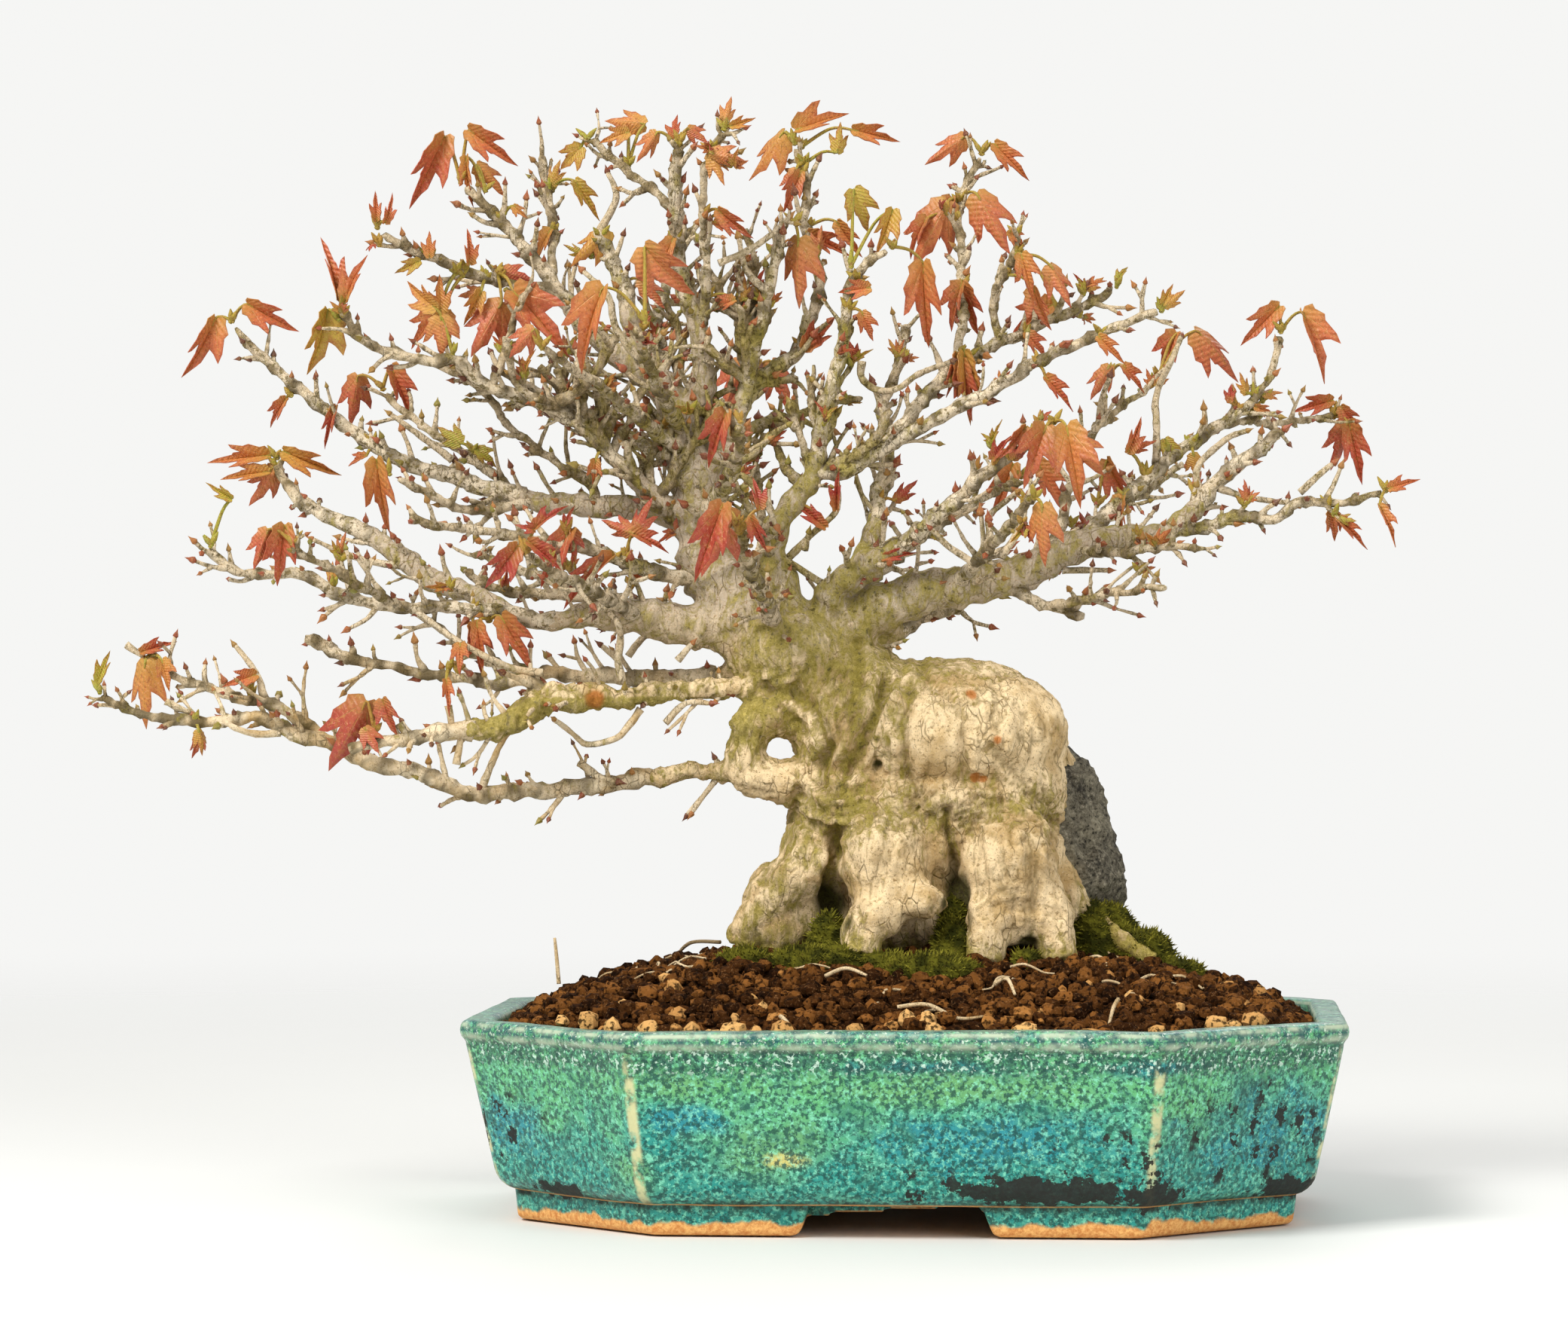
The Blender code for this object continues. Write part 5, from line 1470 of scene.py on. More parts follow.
# Limbs: name, parent, radii along the limb, depth (y) at its end, and its points (x, z) as seen from the front.
LIMBS = (
    ("low_left", "trunk", (2.8, 2.2, 2, 2.2, 1.4, 0.7), -8, ((-40, 105.5), (-53, 106), (-62, 104.6), (-74,
     103), (-85, 101.5), (-96, 101), (-108, 100.5), (-116, 104), (-124, 106.5), (-132, 108), (-142, 113),
     (-151, 115), (-160, 119), (-172, 118), (-184, 119), (-191, 121), (-197.5, 124))),
    ("low_left_fork", "low_left", (1.6, 1.3, 0.8), 10, ((-142, 113.5), (-150, 119.5), (-158, 123), (-165,
     124), (-173, 126.5), (-181, 130.5), (-184, 133))),
    ("scar_limb", "trunk", (3, 2.6, 3.6, 3.6, 2.6, 1.8, 1.2), -30, ((-34, 126), (-50, 126), (-60, 125), (-70,
     124), (-80, 124), (-90, 123), (-97, 118.5), (-104, 116), (-112, 116), (-120, 114.4), (-129, 113), (-137,
     111.8))),
    ("bare_left", "scar_limb", (1.8, 1.4, 1.2, 1.5), -16, ((-87, 124.5), (-94, 128), (-101, 127), (-108, 129),
     (-118, 129.5), (-128, 132), (-136, 133.5), (-148, 138.5))),
    ("grey_left", "hub", (2.6, 2, 1.3, 0.9), 18, ((-42, 130), (-58, 128.5), (-72, 129), (-84, 129.5), (-94,
     130.5), (-105, 134), (-113, 139), (-122, 146))),
    ("mid_left", "hub", (5.5, 4, 2.2, 1.5, 1.7, 1.2, 1.1), -26, ((-38, 139), (-54, 141.5), (-66, 143.5), (-77,
     144), (-88, 142.5), (-98, 144.5), (-110, 145.5), (-122, 146), (-133, 147.5), (-141, 149.5), (-147,
     153.5), (-158, 154), (-165, 155), (-171.5, 160))),
    ("shelf_left", "mid_left", (2.4, 2.8, 2, 1), 20, ((-98, 144.5), (-107, 149), (-115, 151.5), (-121, 155.5),
     (-127, 160), (-134, 164.5), (-142, 168), (-149, 172), (-153, 177), (-154.5, 180.5))),
    ("shelf_low", "mid_left", (1.1, 0.8), -48, ((-126, 146.5), (-135, 151.5), (-142, 155.5), (-150, 160))),
    ("upper_mid_left", "mid_left", (1.7, 1.2, 0.9), -2, ((-70, 144), (-80, 148), (-92, 149.5), (-103, 151),
     (-109, 155))),
    ("leader", "hub", (9.5, 7.5, 6, 4.6, 3.6, 2.7, 2.1, 1.5), 8, ((-34, 138), (-42, 145), (-48, 155), (-51,
     166), (-53, 177), (-55, 188), (-59, 198), (-65, 206), (-68, 214), (-70, 223), (-73, 231), (-77, 238))),
    ("low_fan", "leader", (3.2, 2.8, 2.2, 1.8, 1.4, 0.8), 14, ((-51, 166), (-66, 170), (-77, 170.5), (-88,
     171.5), (-96, 173), (-106, 176), (-116, 179), (-125, 182), (-133, 187), (-141, 192.5), (-149, 199),
     (-157, 206), (-162, 211), (-165, 214.5))),
    ("fan_riser", "low_fan", (1.2, 1, 0.9), -4, ((-78, 170.5), (-78, 176), (-84, 180), (-91, 184.5), (-98,
     190), (-104, 198), (-108, 203))),
    ("fan_under", "low_fan", (1.5, 1.1, 0.8), -12, ((-92, 172), (-103, 169.5), (-112, 171), (-119, 174.5),
     (-125, 177))),
    ("fan_forward", "leader", (2.2, 1.5, 0.9), -38, ((-47, 153), (-60, 154), (-70, 157), (-80, 160.5), (-90,
     162), (-100, 164), (-112, 165.5), (-122, 167.5))),
    ("fan_back", "low_fan", (1.4, 1.1, 0.8), 30, ((-95, 173), (-104, 180), (-111, 185), (-118, 189.5), (-124,
     193.5), (-128.5, 198))),
    ("fan_high", "leader", (3, 2, 1.6, 1.3, 1), -22, ((-50, 163), (-62, 172), (-69, 179), (-75, 185), (-81,
     191), (-88, 195.5), (-97, 198), (-105, 201), (-111, 206), (-120, 206.5), (-128, 208.5), (-134, 211),
     (-138.5, 218))),
    ("upper_left", "leader", (3.2, 2.6, 2, 1.4, 0.9), 10, ((-59, 198), (-70, 206), (-77, 212), (-83, 219),
     (-88, 226), (-94, 233), (-99, 239), (-105, 245), (-109, 249))),
    ("upper_left_low", "upper_left", (1.7, 1.4, 0.9), -16, ((-86, 223), (-95, 225), (-102, 226), (-109, 228),
     (-116, 231), (-123, 233.5), (-129, 237.5))),
    ("upper_left_high", "upper_left", (1.2, 0.9), 28, ((-88, 226), (-87, 236), (-88, 243), (-89, 250), (-90,
     256))),
    ("upper_left_front", "leader", (2, 1.5, 0.9), -34, ((-54, 183), (-67, 193), (-74, 198), (-80, 203), (-90,
     209))),
    ("centre_up", "leader", (3.6, 2.8, 2.2, 1.9, 1.3), -10, ((-54, 184), (-51, 200), (-51, 210), (-54, 220),
     (-57, 230), (-57.5, 240), (-57.5, 250), (-56.5, 258))),
    ("centre_front", "centre_up", (1.5, 1.1, 0.8), -26, ((-51, 212), (-50, 225), (-50.5, 237), (-51, 247),
     (-49, 256), (-46, 262))),
    ("crest_left", "centre_up", (1.2, 0.8), 8, ((-57.5, 243), (-63, 248), (-69, 252), (-74, 257), (-78, 260))),
    ("centre_right", "leader", (3, 2.2, 1.6, 0.9), -8, ((-52, 174), (-44, 187), (-41, 197), (-39, 206), (-37,
     215), (-34, 226), (-32, 236), (-30, 241))),
    ("cross_right", "centre_right", (2.2, 1.7, 1.4, 0.8), 18, ((-42, 194), (-35, 203), (-28, 208), (-25, 216),
     (-22, 224), (-24, 233), (-26, 241), (-25.5, 250), (-28, 258))),
    ("bridge", "centre_right", (1.7, 1.3, 0.8), 32, ((-45, 185), (-36, 191), (-28, 192.5), (-21, 195.5), (-12,
     197))),
    ("front_upright", "hub", (4.4, 3.2, 2.6, 2, 1.6, 1), -12, ((-27, 138), (-31, 150), (-34, 159), (-33, 166),
     (-28, 172), (-24, 179), (-22, 187), (-20, 197), (-18, 205), (-16, 212), (-15.5, 221), (-13, 228), (-6,
     233))),
    ("long_right", "front_upright", (2.2, 1.9, 1.7, 1.4, 1), -22, ((-24, 178), (-16, 179.5), (-8, 184), (0,
     188.5), (8, 193), (16, 197), (25, 202), (33, 207), (42, 211), (51, 215), (60, 218))),
    ("long_right_high", "long_right", (1.9, 1.6, 1.3, 0.9), 12, ((-7, 184.5), (0, 193), (5, 199), (11, 205),
     (18, 209), (26, 212), (34, 216), (42, 219.5), (49, 223.5))),
    ("apex_right", "long_right_high", (1.3, 1.1, 0.8), 34, ((11, 205), (12.5, 214), (12.5, 224), (12, 234),
     (12, 243), (14, 250), (17, 255.5))),
    ("apex_right_low", "long_right_high", (1.2, 0.8), -6, ((22, 210.5), (20, 219), (22, 226), (25, 232), (26,
     237))),
    ("right_riser", "hub", (4, 3, 2.4, 1.9, 1.3, 0.9), -26, ((-23, 139), (-20, 149), (-13, 155.5), (-5,
     159.5), (3, 165), (10, 171), (17, 178), (24, 182.5), (30, 187), (34, 190))),
    ("right_upright", "right_riser", (2.8, 2.3, 1.6, 1), 20, ((-13, 155.5), (-9, 164), (-8, 172), (-6, 180),
     (-6, 189), (-6.5, 197), (-3, 204), (-1.5, 215))),
    ("right_main", "hub", (6, 4.6, 4, 3.2, 2.6, 2, 1.3), -6, ((-18, 139), (-6, 146), (5, 150), (16, 151.5),
     (27, 154), (36, 159), (45, 162), (54, 163), (63, 164.5), (68, 169), (73, 174.5), (79, 180), (85, 185),
     (90, 188.5))),
    ("right_under", "hub", (3, 2, 1.7), 10, ((-14, 134), (0, 142), (7, 145.2), (12.5, 146))),
    ("right_tip", "right_main", (1.7, 1.3, 0.8), -18, ((63, 164.5), (73, 166), (80, 168), (87, 167.5), (94,
     171), (102, 171.5), (109, 172), (115, 174))),
    ("right_up", "right_main", (2.2, 1.8, 1.4, 0.8), 22, ((40, 160.5), (48, 169), (56, 176), (63, 182), (70,
     187), (77, 191.5), (83, 196), (87, 202), (90, 212))),
    ("right_up_side", "right_up", (1, 0.7), 38, ((77, 191.5), (87, 191), (96, 191.8), (103, 192.6))),
    ("inner_right", "right_main", (1.5, 1.1, 0.8), 40, ((34, 158), (37, 168), (39, 177), (42, 186), (47, 191),
     (53, 195.5), (59, 200.5))),
    ("right_bottom", "right_main", (1.7, 1.3, 1.3), -8, ((20, 152), (28, 148.5), (35, 146), (42.5, 143.3))),
    ("right_bottom_tip", "right_bottom", (1.1, 0.8), -32, ((34, 146.3), (39, 147), (44, 148.5), (52, 149.5),
     (58, 151), (62, 150.7))),
    ("right_low", "right_main", (1.5, 1.2, 0.8), -34, ((39, 160), (50, 159.5), (60, 160.5), (70, 161))),
    ("back_crown", "leader", (3.4, 2.2, 1.3, 0.8), 84, ((-51, 166), (-48, 174), (-45, 184), (-41, 194), (-38,
     203))),
    ("back_left", "leader", (3, 2, 1.2, 0.8), 78, ((-53, 177), (-62, 184), (-73, 189), (-84, 193), (-94,
     196))),
    ("back_right", "hub", (4.2, 2.8, 1.8, 1.2, 0.8), 82, ((-24, 138), (-16, 148), (-6, 157), (5, 165), (15,
     171), (26, 177))),
    ("back_shelf", "mid_left", (2.4, 1.6, 0.9), 76, ((-58, 142), (-70, 147), (-82, 151), (-95, 155), (-106,
     159))),
    ("back_far_right", "right_main", (2, 1.5, 0.8), 72, ((27, 154), (38, 162), (48, 169), (58, 175), (66,
     181))),
    ("back_top", "leader", (2.2, 1.5, 0.8), 58, ((-62, 202), (-62, 214), (-60, 224), (-57, 233), (-52, 240))),
    ("front_crown", "leader", (2.8, 1.8, 0.9), -66, ((-51, 166), (-47, 173), (-43, 181), (-42, 190))),
    ("front_high", "leader", (2.2, 1.5, 0.8), -56, ((-55, 188), (-60, 196), (-64, 205), (-67, 214))),
    ("front_low", "hub", (3, 1.8, 0.9), -62, ((-32, 138), (-35, 146), (-39, 155), (-42, 164))),
    ("front_right", "right_main", (2, 1.4, 0.8), -62, ((10, 150.5), (17, 158), (24, 166), (30, 173))),
    ("front_left", "mid_left", (2, 1.4, 0.8), -66, ((-66, 143.5), (-76, 149), (-86, 154), (-94, 159))),
)

# Shoots: name, the limb it grows from, the foot of its stalks (x, z), and each leaf's neck and tip (x, z) with
# its width.
SHOOTS = (
    ("far_left_pair", "low_left_fork", (-186, 134), (((-187, 133), (-189, 117), 8), ((-183, 133), (-181, 126),
     5))),
    ("far_left_green", "low_left", (-198.2, 125.5), (((-198.6, 127.5), (-196, 136), 3.5),)),
    ("under_fork", "low_left", (-174, 117), (((-174, 115.5), (-175, 108.5), 4),)),
    ("low_left_big", "scar_limb", (-131, 115.5), (((-133, 123), (-142, 105), 11), ((-129, 123.5), (-126.5,
     114.5), 6))),
    ("scar_hanger", "bare_left", (-113, 130.5), (((-110, 137), (-110.5, 130.5), 5), ((-113.5, 128), (-112.6,
     121), 3))),
    ("mid_left_pair", "mid_left", (-103, 142.8), (((-100, 143.5), (-92.5, 131), 8), ((-106, 142), (-104.5,
     131), 5))),
    ("shelf_cluster", "shelf_low", (-151, 161.5), (((-153, 166), (-155, 151), 8), ((-157, 165), (-160, 155),
     5))),
    ("shelf_star", "shelf_left", (-155, 182.6), (((-157, 183), (-172.5, 182), 6), ((-153, 184), (-140, 178),
     6))),
    ("hanging_tongue", "fan_under", (-127.5, 178.8), (((-130.5, 182), (-128.5, 163.5), 8),)),
    ("fan_tip_pair", "low_fan", (-166, 216), (((-170, 216.5), (-176, 201), 8), ((-162, 220), (-150, 213), 7))),
    ("fan_tip_inner", "low_fan", (-151.5, 197.8), (((-152.5, 197), (-158, 190), 3.5),)),
    ("fan_pair", "fan_back", (-129, 199.5), (((-135, 202.5), (-137, 190), 7), ((-127, 204.5), (-121, 192.5),
     6))),
    ("upright_pair", "fan_high", (-138.7, 219.5), (((-140, 221.5), (-143, 237), 5), ((-138, 221), (-134.5,
     232.5), 5))),
    ("olive_drop", "fan_high", (-140, 216.5), (((-142.5, 218.5), (-145.5, 202), 10),)),
    ("yellow_pair", "fan_back", (-107, 184), (((-110, 186), (-116, 190), 6), ((-106, 184.5), (-101, 181), 5))),
    ("fan_cluster", "fan_high", (-112, 208), (((-116, 219), (-124, 225), 6), ((-115, 217), (-114, 207.5), 9))),
    ("left_drop", "upper_left_low", (-101, 227.5), (((-100, 220.5), (-107.5, 207.5), 9), ((-97, 223), (-83.5,
     209), 12))),
    ("top_left_tip", "upper_left_low", (-130.3, 239), (((-130.5, 240.5), (-131, 247.5), 3), ((-128.5, 240),
     (-126, 246), 3))),
    ("top_left_drop", "upper_left", (-110, 250), (((-114, 261), (-122, 243), 9), ((-108, 262.5), (-96.5, 254),
     7))),
    ("top_left_orange", "upper_left", (-104, 248), (((-106, 254), (-98.5, 247), 5), ((-108.5, 256), (-108.5,
     244), 3.5))),
    ("olive_crest", "crest_left", (-79, 260.5), (((-80.5, 258.5), (-86, 252.5), 7),)),
    ("crest_spread", "crest_left", (-69, 254), (((-65, 264), (-75, 265.5), 6), ((-69, 262), (-76, 259.8), 5))),
    ("crest_tuft", "centre_up", (-56.5, 259.5), (((-57.5, 260.5), (-58, 266.5), 4), ((-54.5, 263), (-49.5,
     259.5), 4))),
    ("top_bud", "centre_front", (-45.5, 263), (((-45.5, 264.5), (-43.5, 271), 3), ((-44, 263.5), (-38, 265.5),
     3))),
    ("crown_front", "front_high", (-65, 216), (((-65, 234), (-55, 220.5), 12), ((-75, 224), (-84, 205), 10))),
    ("crown_right_up", "cross_right", (-28.5, 259.5), (((-31, 262), (-40.5, 251), 7), ((-28, 262.5), (-15.5,
     267.5), 7))),
    ("crown_right_drop", "centre_right", (-28.2, 239.8), (((-27.5, 236), (-28.8, 219), 9),)),
    ("olive_hook", "front_upright", (-14.5, 229.5), (((-14, 248), (-10, 237.5), 9), ((-4.5, 243), (-8, 232),
     6))),
    ("apex_pair", "apex_right", (17.3, 257), (((13.5, 261), (3, 254.5), 5), ((20.5, 259), (29, 250.5), 6))),
    ("apex_big", "apex_right", (11.5, 245), (((9, 245), (1, 230), 11), ((16, 247), (24, 233.5), 9))),
    ("apex_under", "front_upright", (-4.5, 234), (((3, 230), (3.5, 209), 10),)),
    ("mid_drop", "long_right_high", (9.5, 200.6), (((12.5, 206), (14.5, 191.5), 6),)),
    ("right_wave", "long_right_high", (36, 218.5), (((35, 220), (23, 212.5), 9), ((27, 232), (30.5, 223), 6))),
    ("olive_tip", "long_right_high", (50.3, 224.5), (((50.5, 225.5), (52.5, 230), 2.5),)),
    ("right_tuft", "long_right", (61.3, 218.7), (((62, 219.5), (67.5, 223.5), 3), ((61.5, 220), (64, 225),
     3))),
    ("inner_right_pair", "inner_right", (60.5, 202), (((65, 213), (60, 202.8), 7), ((69.5, 213.5), (82,
     203.5), 7))),
    ("inner_right_small", "inner_right", (48.5, 203), (((48.5, 205), (44, 197), 5), ((52, 205), (57, 199),
     4))),
    ("high_right", "right_up", (90.4, 213.5), (((90, 219.5), (80.5, 210), 7), ((95.5, 218), (103, 201.5), 8))),
    ("side_right", "right_up_side", (104.3, 193), (((103, 196.5), (93, 193.8), 5), ((107, 191), (110.5, 176),
     7))),
    ("right_end", "right_tip", (116, 174.5), (((117, 175), (123.5, 177.5), 4), ((114.5, 170.5), (119, 162),
     3.5))),
    ("right_end_drop", "right_tip", (102, 170.3), (((102.5, 169.5), (104.5, 162), 5), ((104, 168), (112,
     160.5), 3.5))),
    ("big_droop", "right_riser", (35, 191.2), (((33, 190), (28, 176), 10), ((38, 190), (42, 171.5), 11))),
    ("long_droop", "back_far_right", (45.5, 171), (((48, 182), (53.5, 168.5), 7),)),
    ("front_red", "front_crown", (-41.8, 191.6), (((-45, 194), (-51, 180), 7),)),
    ("red_left", "front_left", (-94.5, 160), (((-96, 161), (-104, 150), 7), ((-93.5, 162), (-85, 156), 4))),
    ("low_red", "front_low", (-42, 165.5), (((-45, 170), (-52.5, 153.5), 10),)),
    ("back_crown_leaf", "back_crown", (-37.5, 204.5), (((-41, 206), (-46, 193), 8), ((-34, 206), (-28, 195),
     8))),
    ("back_right_leaf", "back_right", (27, 178), (((25, 181), (20, 168), 8), ((31, 181), (38, 170), 8))),
)

# Moss cushions: name, centre (x, y) and half-sizes.
MOSS = (
    ("moss_front", (5, -34), (12, 7, 5)), ("moss_left", (-27, -24), (9, 7, 5)),
    ("moss_right", (48, 8), (9, 7, 6)),
)

# Creases in the front of the bark: points (x, z) from above and a depth.
CREASES = (
    (((-6, 128), (-9, 121), (-12, 114), (-16, 107), (-18, 101)), 1.5),
    (((9, 126), (12, 120), (12.5, 112), (11, 104)), 0.8), (((-1, 126), (-3, 117), (-2, 109), (1, 101)), 1.1),
    (((18, 112), (24, 107), (29, 101), (35, 94)), 1.0),
    (((-28, 100), (-20, 96), (-12, 98), (-4, 96), (3, 99)), 0.8),
    (((2, 101), (9, 97), (16, 99.5), (24, 98), (36, 92)), 0.8),
    (((-26, 94), (-18, 91), (-10, 94), (-3, 92)), 0.7), (((-4, 103), (4, 95), (9, 91)), 0.8),
    (((12, 95), (19, 97), (27, 94), (34, 88)), 0.7), (((-24, 105), (-17, 101), (-9, 103)), 0.7),
    (((14, 104), (22, 103), (31, 98)), 0.5), (((-14, 120), (-19, 113), (-22, 108)), 0.7),
    (((-18, 92), (-19, 85), (-20, 74)), 2.2), (((8, 96), (9, 90), (10, 84)), 2.4),
    (((27, 90), (29, 80), (28, 68)), 0.9), (((-30, 126), (-24, 121), (-20, 112), (-22, 103)), 1.5),
    (((-36, 127), (-30, 121), (-27, 116)), 1.2), (((-13, 137), (-12, 130), (-16, 122)), 1.2),
    (((2, 133), (3, 127), (9, 124)), 0.9), (((20, 129), (21, 121), (18, 115)), 0.4),
    (((-6, 93), (-7, 85), (-9, 77)), 0.7), (((15, 92), (16, 84), (17, 76)), 0.7),
    (((-28, 96), (-31, 88), (-36, 80)), 0.9), (((17, 73), (25, 74), (35, 72)), 0.6),
)

# Bulges of the front: centre (x, z), half-sizes and height.
BULGES = (
    ((5.5, 113), (6, 13), 2.4), ((22, 112), (9, 12), 1.0), ((-9, 90), (9, 6), 1.2), ((26, 88), (10, 8), 1.0),
    ((-34, 121), (6, 4), 0.8), ((15, 123), (10, 4), 0.8),
)

# Hollows of the front, painted dark as shade with a faint moss tint: centre (x, z) and half-sizes.
HOLLOWS = (
    ((-19.5, 73), (5, 8)), ((10.5, 75), (4.2, 11)), ((27.5, 64), (3, 4)), ((-9.5, 107.5), (1.6, 1.8)),
    ((44, 68), (5, 7)),
)

# Rust spots of the bark: centre (x, z) and radius.
RUST = (
    ((14, 124.5), 1.5), ((20, 114), 1.1), ((15, 105), 1.4), ((17, 104.5), 1.0), ((-76.5, 123.6), 2.6),
)

# Small twigs: points (x, z) as seen from the front.
TWIGS = (
    ((-154, 115.3), (-160, 115), (-165, 116.5), (-168.5, 118.8)), ((-182, 123), (-176, 120)),
    ((-158, 124), (-160, 130), (-165, 136.5)), ((-191.6, 136.8), (-187.6, 134)),
    ((-105, 100.5), (-104, 104), (-100, 113), (-97, 117)), ((-81, 108), (-76, 104.5), (-72, 103.5)),
    ((-66, 121), (-69, 117), (-72, 114), (-79, 112.5), (-83, 115.5), (-87, 118.5)),
    ((-60, 117.7), (-55, 122.5), (-49, 122.5)), ((-113, 122), (-112, 116)), ((-111, 107.6), (-110, 114)),
    ((-125, 117.6), (-123, 114)), ((-70.5, 128), (-71.5, 133), (-71, 138), (-71.5, 142), (-74, 145)),
    ((-69, 134), (-66, 138), (-62, 140.5)), ((-71, 133), (-75.5, 136.5)), ((-57, 133), (-53.5, 137)),
    ((-90, 130), (-97, 131), (-105, 134.5), (-111, 138), (-118, 143), (-124, 147)),
    ((-124, 156), (-131, 157), (-138, 159), (-146, 162.5)),
    ((-90, 198), (-94, 200.5), (-100, 203.5), (-102.5, 208)), ((-112, 182), (-120, 188), (-127, 193)),
    ((-22, 152), (-28, 156), (-31, 158)), ((-26, 160), (-25, 164)),
    ((-43, 181), (-38, 184), (-34, 188), (-30, 190.5)), ((-45, 177), (-41, 178), (-36, 172), (-33, 166)),
    ((-12, 206), (-12, 202), (-8, 199), (-3, 199.5), (2, 203), (10, 206)),
    ((-47, 230), (-40, 233), (-34, 237), (-30, 241)), ((16, 157), (19, 163), (19, 168), (22, 171), (26, 174)),
    ((22, 158), (27, 166), (28, 172)), ((15, 157), (9, 161), (5, 165)), ((46, 191), (46.5, 196), (48.5, 202)),
    ((60, 181), (60, 190), (60, 198), (64, 207), (66, 212)), ((71, 172), (70, 180), (77, 187), (82, 189)),
    ((37, 155), (48, 155)), ((75, 175), (84, 172.5), (92, 171.5)), ((95, 174), (100, 178.6), (103, 181)),
    ((-60, 182), (-58, 192), (-54, 200), (-52, 208)), ((-66, 206), (-72, 214), (-74, 222), (-80, 228)),
    ((-30, 158), (-24, 164), (-18, 170), (-18, 178)), ((-76, 238), (-72, 246), (-74, 252)),
    ((-34, 222), (-40, 228), (-42, 236)),
)

